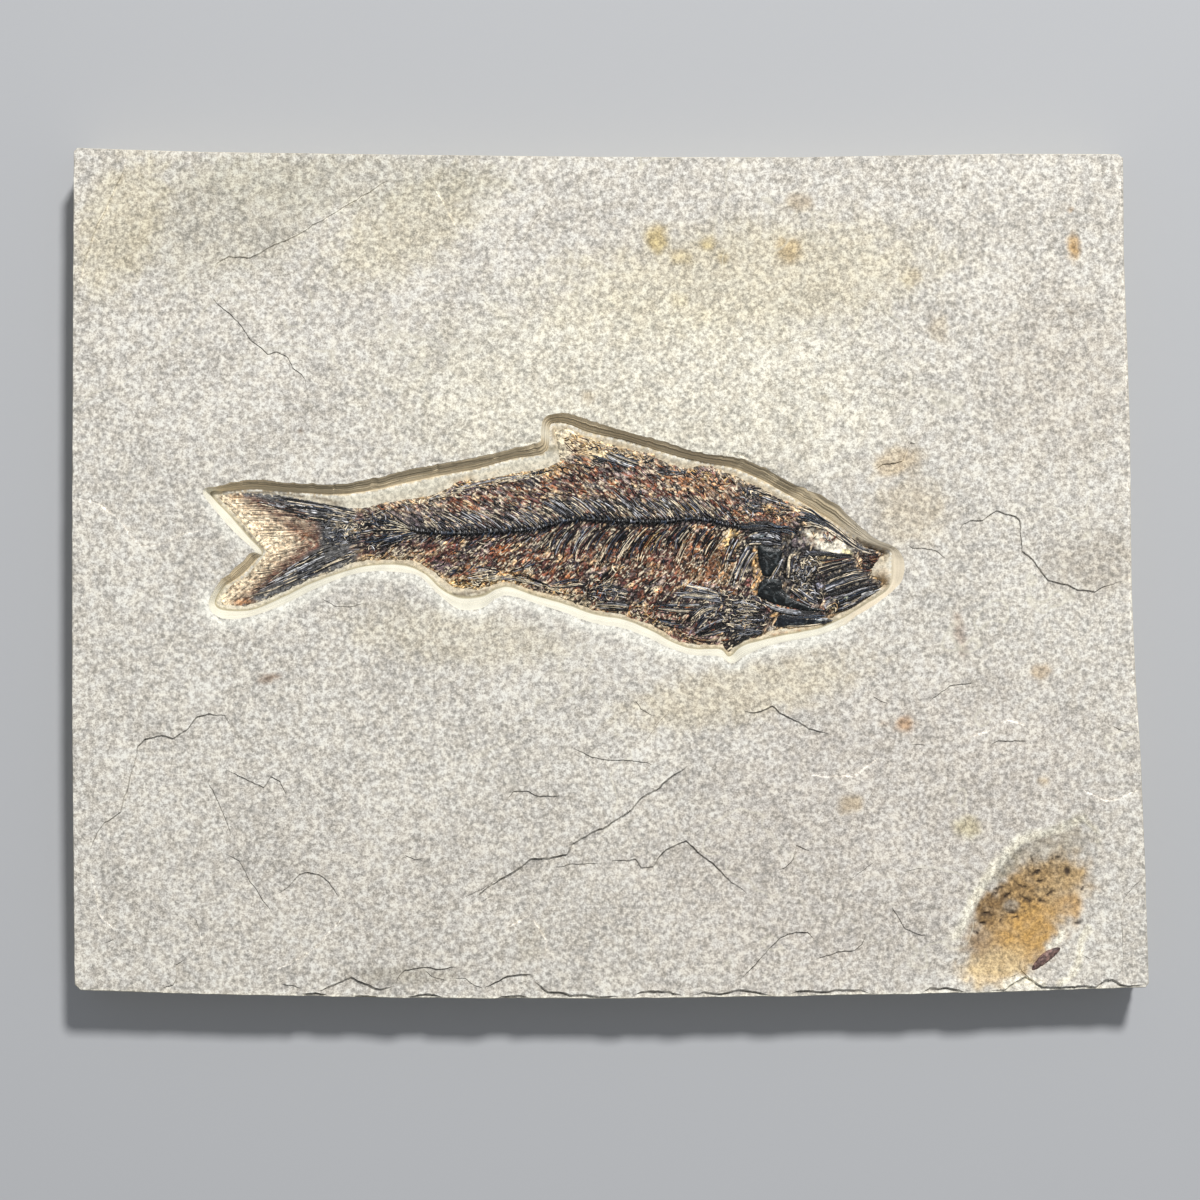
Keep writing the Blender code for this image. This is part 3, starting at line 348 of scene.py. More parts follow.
        (-63.8, 12.2, 0.8, 0.6, 0, (214, 190, 150), 0.6), (-58.8, 11.6, 1, 0.5, 30, (206, 180, 130), 0.6),
        (-68.6, 8.6, 1.6, 1, 10, (146, 92, 58), 0.7), (-82.6, -6.3, 3, 0.8, 4, (170, 124, 84), 0.6),
        (-71, 9.8, 2.6, 1.4, -20, (130, 84, 58), 0.5), (-84.4, 17.2, 2, 0.5, 4, (196, 150, 96), 0.5)],
)

fishShape = np.array(fishFilm["outline"])


slabStone = dict(
    thickness=14,
    pocketDepth=3,
    undulation=0.3,
    hollowDepth=1.5,
    edgeStep=1.05,
    rimStep=0.42,
    ledgeStep=0.55,
    coarseSpacing=1.22,
    fineSpacing=0.52,
    fineReach=1.9,
    outline=[
        (-119.6, 95.5), (-108.1, 95.1), (-91.9, 94.6), (-47.2, 94), (-2.4, 93.5), (42.4, 93.4),
        (87.2, 94.2), (113.8, 94.1), (115, 93.2), (115.2, 72.5), (115.9, 52.3), (116.6, 32.1), (117, -3.7),
        (117.9, -23.9), (119, -41.8), (120, -66.4), (120.8, -91.9), (120, -92.9), (87.2, -94),
        (42.4, -94.9), (-2.4, -95.5), (-47.2, -95.3), (-91.9, -94.4), (-118.8, -93.5), (-120.2, -92.2),
        (-120.4, -73.1), (-120.8, -28.3), (-120.8, 7.5), (-120.6, 61.3), (-120.4, 94.6)],
    # rim of the fish's pocket on the face, then its foot on the floor
    pocketWall=[
        (-91.4, 18.2, -89.9, 17.9), (-88, 19.6, -87, 18.6), (-84, 20.5, -83, 18.95),
        (-80, 21.05, -79.5, 19.05), (-72, 20.3, -72, 18.5), (-62, 20, -62, 17.85), (-54, 21, -54, 18.7),
        (-46, 23.1, -46, 20.5), (-38, 24.6, -38, 22.2), (-30, 26.1, -30, 23.7), (-22, 28, -22, 25.9),
        (-16.2, 29.4, -15.2, 27.1), (-15.6, 31, -13.9, 30), (-15.2, 34.3, -13.8, 33.2),
        (-12.6, 35.8, -12.2, 34.1), (-9, 35.8, -9.2, 33.6), (-4, 34.1, -4.6, 31.8), (4, 31.7, 3.4, 30.1),
        (12, 29.5, 11.4, 27.5), (20, 27, 19.2, 25.5), (28, 26, 27, 24), (34, 23.9, 33, 21.6),
        (41.4, 19.9, 39.8, 17.9), (47.2, 17.6, 45.4, 14.6), (51.2, 15, 49.6, 12), (55.2, 11.2, 53.8, 9.3),
        (59.8, 7.6, 58.4, 6.8), (64.2, 5.6, 62.8, 5.2), (66, 2, 63.2, 2.2), (65.2, -1.8, 63, -1.6),
        (62.6, -4.5, 61.6, -4), (59, -7.2, 58, -6.3), (55.4, -9.4, 54.5, -8.5), (52.3, -11.6, 51.2, -10.4),
        (46.8, -13.8, 46.4, -12.3), (39, -15.4, 38.6, -13.8), (34.6, -16.5, 33.6, -15),
        (30.5, -18.3, 29.5, -16.2), (27.2, -20.2, 26.7, -18.5), (24.2, -18.6, 24.6, -16.9),
        (18.5, -18.3, 18.6, -16.8), (13.5, -16.8, 14, -15.3), (8.1, -14.2, 9, -12.6),
        (2.5, -12.2, 3, -10.2), (-3.9, -11.1, -3.7, -9), (-10.5, -8.7, -10.3, -6.7),
        (-17.1, -6.6, -17.2, -4.8), (-22.5, -5, -22.6, -2.9), (-25.6, -5.6, -25.6, -3.3),
        (-29, -7.8, -28.8, -4.9), (-34, -8, -33.5, -5.3), (-38.9, -4.3, -37.7, -3.6),
        (-42.9, -0.6, -41.9, 0.1), (-47.5, 0.3, -46.8, 2), (-54.5, 0.4, -54.3, 1.9),
        (-61.1, -1.3, -60.4, 0.4), (-67.7, -4.2, -67.2, -2), (-74, -7.3, -73.2, -4.9),
        (-80.8, -9.7, -80.2, -7.9), (-86.4, -10.2, -85.8, -8.2), (-89.4, -8.6, -88.4, -7.5),
        (-90, -6, -88.8, -5.9), (-87.9, -2.3, -86.9, -2.9), (-84, 1.1, -83, -0.3), (-80.9, 4.4, -79.7, 3.2),
        (-79.8, 5.1, -78.3, 4.8), (-83.5, 8.5, -81.6, 8.6), (-87.4, 12.7, -85.2, 12.8)],
    wallBeds=[
        0, 0.03, 0.14, 0.17, 0.3, 0.33, 0.46, 0.49, 0.62, 0.66, 0.8, 0.84, 0.95, 1],
    bedShelf=0.035,
    shadeTurn=20,
    # how far the side goes down at each cut of the broken edge, and how far it sets back
    sideCuts=[
        (0.25, -0.2), (0.25, 0.05), (1.6, -0.1), (2.1, 0.12), (3.4, 0), (3.8, -0.16), (5.6, 0.05),
        (6.2, 0.22), (6.9, -0.15), (8.6, 0), (9.1, 0.14), (10.8, -0.05), (12.4, 0.08), (14, 0.3)],
    # drop, reach of the low ground, width of the broken edge, darkness (+) or paleness (-), line;
    # the low ground lies to the right of each line
    ledges=[
        (0.35, 7, 0.22, 0.9, [(-89.8, 62.6), (-88, 60.6), (-83.5, 56.6), (-80.5, 52.1), (-76.8, 49.3),
            (-74.8, 49.7), (-72.1, 48.3), (-71.3, 46.3), (-68.5, 43.8), (-67.8, 40.3)]),
        (0.45, 8, 0.2, 0.7, [(59, 23.2), (61, 24.5), (65.4, 25.2), (66.3, 27.1), (67.3, 29.3), (68.8, 29)]),
        (0.3, 5, 0.2, 0.7, [(66.3, 6.5), (67.8, 5.8), (70.5, 5.8), (72.9, 5.2), (75.3, 3.3)]),
        (0.5, 9, 0.22, 0.7, [(76.8, 7.9), (79.2, 11.1), (81.2, 12), (83.6, 12), (86.5, 14.2), (88.9, 13.4),
            (90.9, 13), (91.8, 11.8), (92.3, 5.2), (94.8, 3.3), (96.7, 0.4), (98.1, -1.6), (102.5, -2.3),
            (104.5, -3.5), (108.6, -4), (110.8, -2.8), (114.2, -1.9), (116.2, -2)]),
        (0.4, 6, 0.2, 0.7, [(70.5, -29.6), (72.6, -27.8), (76, -25.1), (80.9, -24.5), (82.6, -21.5)]),
        (0.25, 4, 0.18, 0.6, [(58.8, -27.5), (62.2, -29.2)]),
        (0.25, 4, 0.18, 0.6, [(67.1, -38.4), (70.9, -38.4)]),
        (0.4, 6, 0.22, 0.8, [(85, -38.5), (87, -37.5), (93.8, -37.5)]),
        (0.25, 4, 0.18, 0.6, [(112.5, -34.1), (115.9, -35.5)]),
        (0.45, 7, 0.4, 1, [(29.5, -30.8), (32.4, -31.2), (36.3, -29.8), (39.2, -32), (42.1, -33.2),
            (44.5, -34.7), (49.4, -36.1)]),
        (0.35, 6, 0.2, 0.8, [(-8.9, -39), (-4, -41), (-1.6, -41.7), (3.3, -41.9), (8.1, -42.4),
            (10.1, -43.1)]),
        (0.25, 4, 0.18, 0.6, [(5.4, -28.3), (7.1, -30.3), (9.6, -32)]),
        (0.2, 4, 0.16, 0.4, [(7.1, -38.8), (10, -34.6), (13.9, -29.8)]),
        (0.75, 14, 0.5, 1, [(-32.4, -74.5), (-29.9, -72), (-26.1, -69.4), (-21.2, -66.4), (-17.8, -64),
            (-13.9, -63.8), (-9.8, -63), (-8.4, -60.6), (-4, -58), (-1.6, -57), (2.8, -54.3), (4.7, -53.1),
            (7.1, -50.2), (11, -47.8), (13.5, -45.6), (17.8, -42.7)]),
        (0.3, 5, 0.3, 0.5, [(-13.4, -66), (-8.6, -65.2), (-2.3, -65)]),
        (0.5, 10, 0.44, 1, [(-0.9, -64.5), (2.8, -64.2), (5.7, -64), (6.9, -66), (9.6, -65.8), (11, -63.5),
            (12.5, -61.8), (16.9, -59.9), (20.2, -62.8), (23.7, -65.5), (27.1, -69.1), (30.9, -72)]),
        (0.4, 7, 0.24, 0.9, [(37.3, -66.7), (39.2, -65.7), (40.9, -64.3), (41.6, -60.9), (45, -62.3)]),
        (0.25, 4, 0.18, 0.6, [(53.8, -68.6), (56.7, -66.5), (59.4, -64.3)]),
        (0.55, 9, 0.3, 1, [(29, -91), (32.4, -87.6), (35.8, -83.7), (38.7, -81.5), (41.6, -80.2),
            (44.1, -80.5), (46, -82.2)]),
        (0.45, 7, 0.26, 0.9, [(46, -86.4), (50.8, -84.9), (54.3, -84.4), (56.4, -83.2), (57.2, -80.8)]),
        (0.35, 7, 0.2, 0.6, [(56, -57.5), (57.2, -52.1), (59.1, -48)]),
        (0.4, 7, 0.22, 0.7, [(-23.6, -51.1), (-21.7, -48.7), (-18.3, -48.9), (-15.9, -49.9),
            (-10.5, -49.9)]),
        (0.3, 4, 0.24, 0.8, [(-46.2, -63), (-43.8, -64.2), (-42.3, -63.8)]),
        (0.45, 8, 0.24, 0.8, [(-74.9, -72), (-72.2, -70.3), (-69.8, -67.4), (-67.8, -66.9), (-65.4, -67.4),
            (-63, -69.1), (-60.5, -73.2)]),
        (0.6, 12, 0.26, 0.7, [(-116.8, -62.5), (-115.2, -58.2), (-113.4, -55.9), (-109.7, -53.5),
            (-108.6, -48.7), (-107.3, -44), (-106, -39.2), (-104.4, -37.1), (-100.7, -36.2), (-98.1, -36.8),
            (-94.9, -35), (-92.8, -32.1), (-90.1, -31.4), (-86.4, -31.7), (-84.9, -34.5)]),
        (0.4, 7, 0.24, 0.9, [(-85.9, -44.2), (-81.2, -46.3), (-77.7, -47.8), (-76.1, -45.6), (-74, -46.6),
            (-72.4, -50.8)]),
        (0.35, 6, 0.2, 0.7, [(-90.7, -46.1), (-88, -50.8), (-85.9, -56.1), (-84.9, -59.8)]),
        (0.35, 6, 0.2, 0.8, [(-86.7, -62.7), (-83.3, -64.3), (-80.6, -69.3), (-78, -73), (-75.6, -76.5)]),
        (0.8, 5, 0.4, 1, [(-66, -93.8), (-62.5, -92.4), (-58.1, -90.5), (-54.2, -92.2), (-51.8, -93.2),
            (-48.4, -92.4)]),
        (0.5, 5, 0.3, 0.9, [(-48.2, -92.2), (-47.4, -90.2), (-46, -88.8), (-41.1, -88.1), (-38.7, -88.5),
            (-34.3, -88.2)]),
        (0.25, 3, 0.18, 0.6, [(-41.8, -88.9), (-39.6, -90.6), (-36.6, -91.3)]),
        (0.45, 4, 0.3, 0.9, [(-73.8, -91.9), (-71.4, -92.2), (-69.4, -93)]),
        (0.3, 4, 0.22, 0.7, [(-35.3, -90.7), (-32.6, -90.9), (-30.8, -92.2), (-28.4, -93)]),
        (0.8, 5, 0.38, 1, [(-28.2, -92.8), (-25.6, -91.4), (-23.1, -90.3), (-20.4, -89.9), (-17.6, -89.8)]),
        (0.25, 3, 0.18, 0.6, [(92, -88.7), (93.4, -90.2), (95.2, -92)]),
        (0.25, 3, 0.18, 0.6, [(88.2, -91.4), (90.4, -90.4), (93, -88.9)]),
        (0.2, 2, 0.18, 0.5, [(105.4, -85.4), (107.4, -86.2), (110.4, -85.2)]),
        (0.35, 6, 0.34, -0.5, [(-65, -5.6), (-62, -7.2), (-58.4, -7.4), (-55.2, -6.6)]),
        (0.5, 5, 0.25, 0.9, [(-100.4, -92.9), (-98.1, -92.1), (-97.3, -90.5), (-97.5, -87.6),
            (-95.4, -86.5)]),
        (0.3, 4, 0.2, 0.7, [(-113.4, -82.8), (-111.3, -81.8)]),
        (0.4, 5, 0.25, 0.8, [(62.9, -74.5), (66.1, -79.4), (68.7, -80.8), (71.4, -81)]),
        (0.25, 4, 0.2, 0.6, [(65.4, -66.6), (70.1, -66)]),
        (0.6, 5, 0.3, 0.8, [(113.4, -91.6), (114.8, -88.3), (114.8, -81.6), (114.3, -76.3), (115, -72.8),
            (117, -70.6), (119.2, -68.1)]),
        (0.45, 8, 0.3, -0.6, [(-90, 64.4), (-88.5, 69.3), (-85.5, 71.1), (-80.6, 70.8), (-75.6, 73.4),
            (-67.6, 77.3), (-47.1, 89.8)]),
        (0.25, 6, 0.25, -0.4, [(-33.2, 75.5), (-37, 82), (-40.5, 88.5)]),
        (0.25, 6, 0.25, -0.4, [(-23.7, 70), (-23.1, 74.6), (-19.6, 74.9), (-16.9, 79.3), (-13.6, 84.1),
            (-11.5, 89)]),
        (0.4, 8, 0.3, -0.5, [(-89.6, 10.2), (-93, 9.3), (-96.4, 8.6), (-99.1, 7.1), (-102.2, 6.2),
            (-105.3, 6.1), (-108.1, 9), (-109.8, 11.7), (-111.8, 13.1), (-114.2, 15.3), (-117, 16.2),
            (-119.8, 17)]),
        (0.4, 8, 0.3, -0.5, [(-58.6, -75.7), (-62.5, -80), (-65.4, -83.4), (-68.8, -85.9), (-75.6, -89.3)]),
        (0.4, 7, 0.3, -0.5, [(93.3, -34.3), (88.9, -32.9), (84.1, -35.8), (80.2, -36.8)]),
        (0.35, 6, 0.3, -0.5, [(60.6, -41), (54.7, -45.6), (44.5, -45.3)]),
        (0.35, 6, 0.3, -0.5, [(118.2, -48.6), (113.9, -50.6), (110.8, -51), (105, -48)]),
        (0.35, 6, 0.3, -0.5, [(-111.3, -79.9), (-114.7, -76.2), (-115.5, -70.9), (-116.8, -66.2)]),
        (0.35, 5, 0.3, -0.6, [(-14.9, -86.3), (-14.4, -82.5), (-17.8, -76.6), (-23.1, -79.5)]),
        (0.25, 3, 0.2, -0.5, [(118.8, -40), (117.2, -24), (116.3, -4), (115.9, 32), (115.2, 52),
            (114.5, 72), (114.2, 91)]),
        (0.3, 6, 0.5, -0.5, [(-33.4, -72.8), (-29, -70.8), (-24, -67.9), (-19, -65.6)]),
        (0.25, 5, 0.5, -0.5, [(-29.6, -74), (-26, -72), (-22.6, -70.4)]),
        (0.3, 6, 0.4, -0.5, [(-93.6, -76.2), (-92.4, -79.4), (-92, -82.8), (-91, -84.4)]),
        (0.5, 8, 0.35, -0.6, [(-119.8, 63.3), (-117.5, 71.3), (-115, 78.3), (-112, 84.3), (-109, 90.8),
            (-108.3, 94.4)])],
    # where the lower edge is chipped away below each line
    chips=[
        [(5.2, -94.5), (7, -93.9), (10.2, -93.6), (13.2, -93.8), (15.8, -94.4)],
        [(18.4, -94.5), (21, -93.8), (24.2, -94.2), (26, -94), (28.2, -93.4), (31.4, -93.6), (34, -94.2),
            (36.2, -94.6)],
        [(40, -94.4), (41.6, -93.6), (45.2, -93.5), (47.2, -93.8), (50.4, -93.5), (54.2, -93.3),
            (56.2, -93.4), (58.2, -94.1)],
        [(69.8, -93.9), (71.6, -92.9), (73.4, -93), (75.4, -92.8), (77.4, -93.2), (79.4, -93.8)],
        [(84.6, -93.7), (88.4, -93.2), (89.8, -92.2), (91.8, -91.2), (93.4, -90.6), (95, -91.6),
            (96.8, -92.7), (99.2, -92.8), (103.2, -92.6), (106.2, -92.4), (109, -92.7), (110.6, -91.4),
            (112.6, -91.2), (114.2, -92.2), (117.6, -92.4), (119.8, -92.1)],
        [(-17.2, -91.2), (-15.4, -92.8), (-14, -93.8), (-11.2, -94), (-9, -94.6), (-5, -94.5),
            (-1.8, -94.9), (2, -94.7)],
        [(-69.2, -94.2), (-66.4, -94), (-63.6, -94.3)],
        [(-57.6, -94.7), (-54.4, -94.6), (-52.2, -94.9)],
        [(-45.6, -94.9), (-42, -94.4), (-39.4, -94.5), (-37.6, -95)],
        [(-24.8, -94.8), (-21.4, -94.6), (-18.6, -94.9)]],
    # scars where flakes came off: middle, half length, half width, turn, depth
    flakes=[
        (-39.8, 24.9, 2.1, 0.65, 8, 0.5), (44.3, 19, 3.2, 0.95, -18, 0.7), (-26, 27.4, 1.5, 0.8, -40, 0.5),
        (-61.4, 19.4, 1.4, 0.4, -42, 0.5), (-84, 21.2, 0.9, 0.3, -48, 0.4), (29, 26.4, 2.5, 0.6, -14, 0.6),
        (-52.4, 22, 2.2, 0.5, 16, 0.5), (36.6, 22.6, 1.6, 0.7, -30, 0.5), (75.8, -45.6, 1.6, 0.8, -10, 0.8),
        (-18, 29.3, 1.8, 0.45, 14, 0.5), (-24.3, -85.9, 0.8, 0.4, 20, 0.8),
        (-26, -88.5, 0.9, 0.45, -10, 0.9), (-58.6, -3.6, 5.5, 2.1, 12, 0.35),
        (-88, -10.4, 1.7, 0.8, -50, 0.5), (9, -22, 2.5, 1.1, 30, 0.3), (44, -17.4, 3, 0.7, 12, 0.35),
        (101.9, 56.6, 0.8, 0.6, 0, 0.4), (-11.7, 66.8, 1.7, 1.1, 0, 0.25), (-37, 88.5, 2.3, 1.4, 20, 0.3),
        (48.4, 39.3, 0.65, 0.45, 0, 0.5), (88.9, -74.6, 1.7, 1.3, 0, -0.3)],
    hollowRim=[
        (104.6, -54), (108.6, -56.8), (109, -62.6), (107.6, -75), (106, -84), (101, -91.6), (76, -91.6),
        (77.6, -85.6), (79.4, -79.4), (83.4, -70.6), (90.4, -61.3), (98.4, -57.6)],
    # stains: middle, half length, half width, turn, screen colour, strength
    stains=[
        (10.3, 74.9, 2.6, 3.4, 0, (214, 188, 112), 0.7), (15.7, 70.8, 3, 1.8, 0, (205, 180, 120), 0.5),
        (21.9, 73.8, 1.8, 1.6, 0, (214, 188, 112), 0.6), (25.2, 70.8, 1.6, 1.6, 0, (205, 178, 118), 0.6),
        (15.7, 61.3, 2.2, 1.6, 0, (210, 190, 130), 0.4), (20.6, 58.1, 1.8, 1.4, 0, (200, 178, 128), 0.4),
        (39.9, 72.5, 3.2, 3, 0, (206, 168, 100), 0.6), (42.7, 83.3, 3.4, 2.2, 0, (198, 176, 142), 0.5),
        (67.3, 66.2, 3, 2.4, 0, (200, 180, 140), 0.4), (73.3, 54.8, 2.4, 3, 0, (196, 176, 140), 0.4),
        (103.9, 73.2, 1.5, 3.2, 0, (200, 160, 96), 0.8), (103.2, 81.9, 0.8, 0.8, 0, (190, 150, 96), 0.7),
        (102.7, 58.8, 0.7, 0.7, 0, (110, 100, 90), 0.8), (79.3, 87.1, 0.7, 0.6, 0, (110, 100, 90), 0.8),
        (48.4, 39.3, 0.6, 0.5, 0, (100, 90, 80), 0.8), (-5, 39.6, 1.8, 1.4, 0, (206, 178, 138), 0.6),
        (-69, 32.4, 1.3, 0.6, 15, (120, 95, 70), 0.8), (66.1, -33.8, 2.2, 1.9, 0, (202, 146, 72), 0.85),
        (61, -34, 1, 0.6, 0, (202, 150, 84), 0.8), (96.4, -22, 2.4, 1.8, 0, (206, 176, 130), 0.6),
        (53.8, -51.6, 3, 2.4, 0, (212, 186, 136), 0.65), (80.2, -56.8, 3.4, 2.6, 0, (216, 204, 140), 0.6),
        (97.1, -46.4, 1.6, 1.2, 0, (210, 180, 120), 0.6), (-76.4, -23.4, 2.8, 1, 6, (150, 118, 92), 0.7),
        (78.4, -13.6, 1.2, 6.4, 8, (190, 160, 140), 0.45), (64, 25, 6, 3.4, 20, (214, 186, 138), 0.5),
        (67, 14, 9, 8, 0, (212, 194, 158), 0.35), (-85, 80, 26, 15, 20, (200, 196, 180), 0.4),
        (-45, 78, 22, 10, 30, (226, 216, 180), 0.35), (100, 45, 18, 22, 0, (208, 200, 190), 0.3),
        (-60, 88, 40, 7, 0, (204, 202, 188), 0.35), (30, 66, 46, 14, 6, (224, 212, 172), 0.35),
        (6, 40, 60, 26, 0, (250, 247, 232), 0.5), (-110, 78, 10, 18, -20, (222, 212, 182), 0.45),
        (60, -60, 60, 36, 25, (212, 205, 202), 0.35), (-30, -72, 70, 24, 0, (214, 210, 206), 0.3),
        (30, -26, 30, 7, 12, (228, 214, 178), 0.35), (-34, -14, 26, 7, -6, (226, 216, 186), 0.3),
        (-18, -82, 4, 5, 0, (190, 184, 172), 0.35), (-47, -90, 14, 2.4, 0, (150, 144, 130), 0.4),
        (108, 2, 12, 8, 0, (196, 186, 172), 0.35)],
    hollowStains=[
        (92.4, -77.6, 16.8, 10, 52, (206, 176, 130), 0.85), (101, -70, 6.4, 7.4, 0, (204, 176, 134), 0.75),
        (99.5, -61.6, 9, 4.2, 18, (198, 190, 176), 0.75), (88.4, -66, 2.2, 5, -42, (172, 168, 150), 0.6),
        (94, -71.4, 12, 5.6, 33, (206, 178, 136), 0.9), (90.5, -79.5, 10.5, 7.6, 62, (200, 168, 124), 0.9),
        (93.6, -80.5, 8.4, 6, 58, (214, 172, 106), 0.9), (86, -88.6, 8.6, 4.6, 16, (232, 208, 166), 0.9),
        (83, -82.6, 2.6, 3.6, 0, (178, 152, 122), 0.75), (85.6, -74.6, 4.4, 2.8, 50, (150, 120, 80), 0.85),
        (103.2, -67.4, 2.6, 3, 0, (204, 176, 132), 0.75), (103.4, -74.6, 3.6, 3, 10, (206, 170, 122), 0.75),
        (89.8, -74.6, 1.9, 1.6, 0, (172, 166, 158), 0.85), (93, -69.6, 6.4, 3, 14, (196, 162, 112), 0.7)],
    # bleached edges of the hollow: breadth and line
    hollowEdges=[
        (1.5, [(105.4, -55), (102.6, -56.4), (99.4, -57.6), (95.2, -58.5), (91.4, -60.2), (88.8, -62.8),
            (86.2, -65.8), (83.2, -70.2), (80.8, -74.2), (79.2, -78), (77.4, -81.2)]),
        (0.7, [(105, -54.8), (107.4, -56.2), (109.2, -58.4), (109.2, -61.4)]),
        (0.9, [(107, -79.6), (105.6, -82.2), (105.2, -86), (104, -89.4), (100.6, -92)]),
        (0.9, [(101.4, -80.6), (100.6, -82.6), (98.4, -84)]),
        (1.6, [(89, -92.2), (91.4, -91.4), (93.8, -91.6), (96.4, -92.4)])],
    # dark pits with a shadowed floor: middle, half length, half width, turn, depth
    pits=[
        (95.6, -67.1, 1.6, 0.4, 27, 0.5), (102.6, -66.8, 0.85, 1.15, 10, 0.6),
        (89, -72.3, 1.5, 0.4, 42, 0.5), (84.4, -76.4, 1.3, 0.35, -12, 0.5),
        (83.6, -78.5, 1.2, 0.4, 12, 0.5), (105, -78.4, 1, 0.35, 16, 0.5),
        (98.7, -71.8, 1.4, 0.35, 36, 0.45), (90.4, -76.1, 1.2, 0.3, 4, 0.4),
        (99.8, -63.9, 1.2, 0.25, 14, 0.4), (93.6, -73.2, 1.3, 0.3, -28, 0.45),
        (96.8, -73.4, 1.1, 0.3, 0, 0.4), (92.4, -70.2, 1.1, 0.3, -14, 0.4),
        (87.2, -70.6, 1.7, 0.3, 16, 0.4), (82, -80.6, 0.9, 0.3, -30, 0.4), (96.4, -69, 1, 0.25, -6, 0.35),
        (105.8, -70.6, 0.7, 0.3, 60, 0.35), (86, -72, 1.2, 0.25, 38, 0.4), (91, -77.2, 0.9, 0.25, 10, 0.3),
        (94.8, -64.2, 0.8, 0.2, -60, 0.3), (87.6, -78, 1, 0.2, 76, 0.3)],
    # thin lines on the floor of the pocket: breadth, colour, line
    floorLines=[
        (0.42, (120, 104, 84), [(-88.2, 17), (-85, 17.9), (-81, 18.2), (-77, 18.2), (-75.2, 17.9)]),
        (0.42, (120, 104, 84), [(-74.8, 18.2), (-72, 17.8), (-69, 17.3)]),
        (0.42, (120, 104, 84), [(-67, 17.2), (-64, 16.7), (-61.6, 15.9)]),
        (0.42, (120, 104, 84), [(-88.4, 14.6), (-84.6, 11.9), (-81, 8.7), (-78, 5.6)]),
        (0.42, (120, 104, 84), [(-13.6, 23.4), (-11.4, 24.4), (-10, 26.2)]),
        (0.42, (120, 104, 84), [(-36, -4.6), (-31, -4.4), (-27.6, -3.6)]),
        (0.9, (150, 140, 114), [(-15, 27.9), (-13, 28.2), (-11.6, 28.6)]),
        (0.6, (206, 164, 122), [(36.6, -13.9), (40, -13.4), (44, -12.8), (50, -12)]),
        # painted shadow under the snout's upper wall, in these two lines
        (0.6, (150, 126, 100), [(55.6, 7.6), (57.2, 6.9), (58.6, 6)]),
        (0.8, (128, 104, 82), [(57, 5.6), (59.6, 5.2), (61.4, 4.9)])],
)


def roughened(path, seed, size=1):
    # a broken edge: the line with small and middling jogs
    points = splitPath(path, slabStone["ledgeStep"])
    jog = 0.3 * fieldNoise(points, 3.1, seed) + 0.16 * fieldNoise(points, 1.1, seed + 7)
    ends = np.minimum(np.arange(len(points)), np.arange(len(points))[::-1]) / 3
    return points + sideNormals(points) * (jog * size * np.minimum(ends, 1))[:, None]


ledgeLines = [(*ledge[:4], roughened(ledge[4], number))
              for number, ledge in enumerate(slabStone["ledges"])]
for number, line in enumerate(slabStone["chips"]):
    ledgeLines.append((0.9, 3, 0.6, 1, roughened(line, 70 + number, 0.8)))
hollow = np.array(slabStone["hollowRim"])
slabOutline = splitPath(slabStone["outline"], slabStone["edgeStep"], closed=True)
slabNormals = sideNormals(slabOutline, closed=True)
nibble = 0.25 + 0.16 * fieldNoise(slabOutline, 5, 3) + 0.12 * fieldNoise(slabOutline, 1.6, 6)
slabEdge = slabOutline + slabNormals * nibble[:, None]


def pocketShape():
    # the pocket's broken rim, its foot, the floor's level there, and how far each stretch is shaded
    stations = smoothPath(slabStone["pocketWall"], slabStone["rimStep"], closed=True)
    rim, foot = stations[:, :2], stations[:, 2:]
    outward = (rim - foot) / np.linalg.norm(rim - foot, axis=1, keepdims=True)
    turn = math.radians(slabStone["shadeTurn"])
    shaded = outward @ np.array([math.sin(turn), math.cos(turn)])
    floor = slabStone["thickness"] - slabStone["pocketDepth"] + 1.7 * softStep(foot[:, 0], 50, 60)
    chip = 0.1 * fieldNoise(rim, 2.6, 31) + 0.07 * fieldNoise(rim, 0.9, 34)
    nicks = 0.45 * np.maximum(fieldNoise(rim, 2, 35), 0) + 0.16 * fieldNoise(rim, 0.7, 36)
    chip += softStep(outward[:, 1], 0.1, 0.6) * nicks
    return SimpleNamespace(
        rim=rim + outward * chip[:, None], floor=floor, shaded=shaded,
        foot=foot + outward * (0.08 * fieldNoise(foot, 2, 37))[:, None])


pocket = pocketShape()


def faceHeight(points):
    # level of the slab's face, with its ledges, scars and rusty hollow
    waves = 0.5 * fieldNoise(points, 42, 1.7) + 0.3 * fieldNoise(points, 15, 5.2)
    level = slabStone["thickness"] - 0.3 + slabStone["undulation"] * waves
    level += 0.035 * fieldNoise(points, 2.4, 8.1)
    for drop, reach, width, tone, line in ledgeLines:
        away, side, share = nearLine(points, line, reach=3 * min(reach, 14))
        ends = np.minimum(1, 7 * np.minimum(share, 1 - share))
        level -= np.where(side > 0, drop * ends * np.exp(-away / reach), 0)
    away = nearLine(points, hollow, closed=True, reach=1)[0]
    depth = slabStone["hollowDepth"] * (1 - 0.45 * np.exp(-away / 0.7) - 0.55 * np.exp(-away / 4))
    rough = 0.2 * fieldNoise(points, 1.5, 21) + 0.16 * fieldNoise(points, 0.8, 24)
    depth += rough * softStep(points[:, 1], -84, -70)
    level -= np.where(insideLoop(points, hollow), depth, 0)
    for *patch, depth in slabStone["flakes"] + slabStone["pits"]:
        level -= depth * np.clip(1 - ellipseShare(points, *patch) ** 2, 0, 1) ** 0.6
    return level


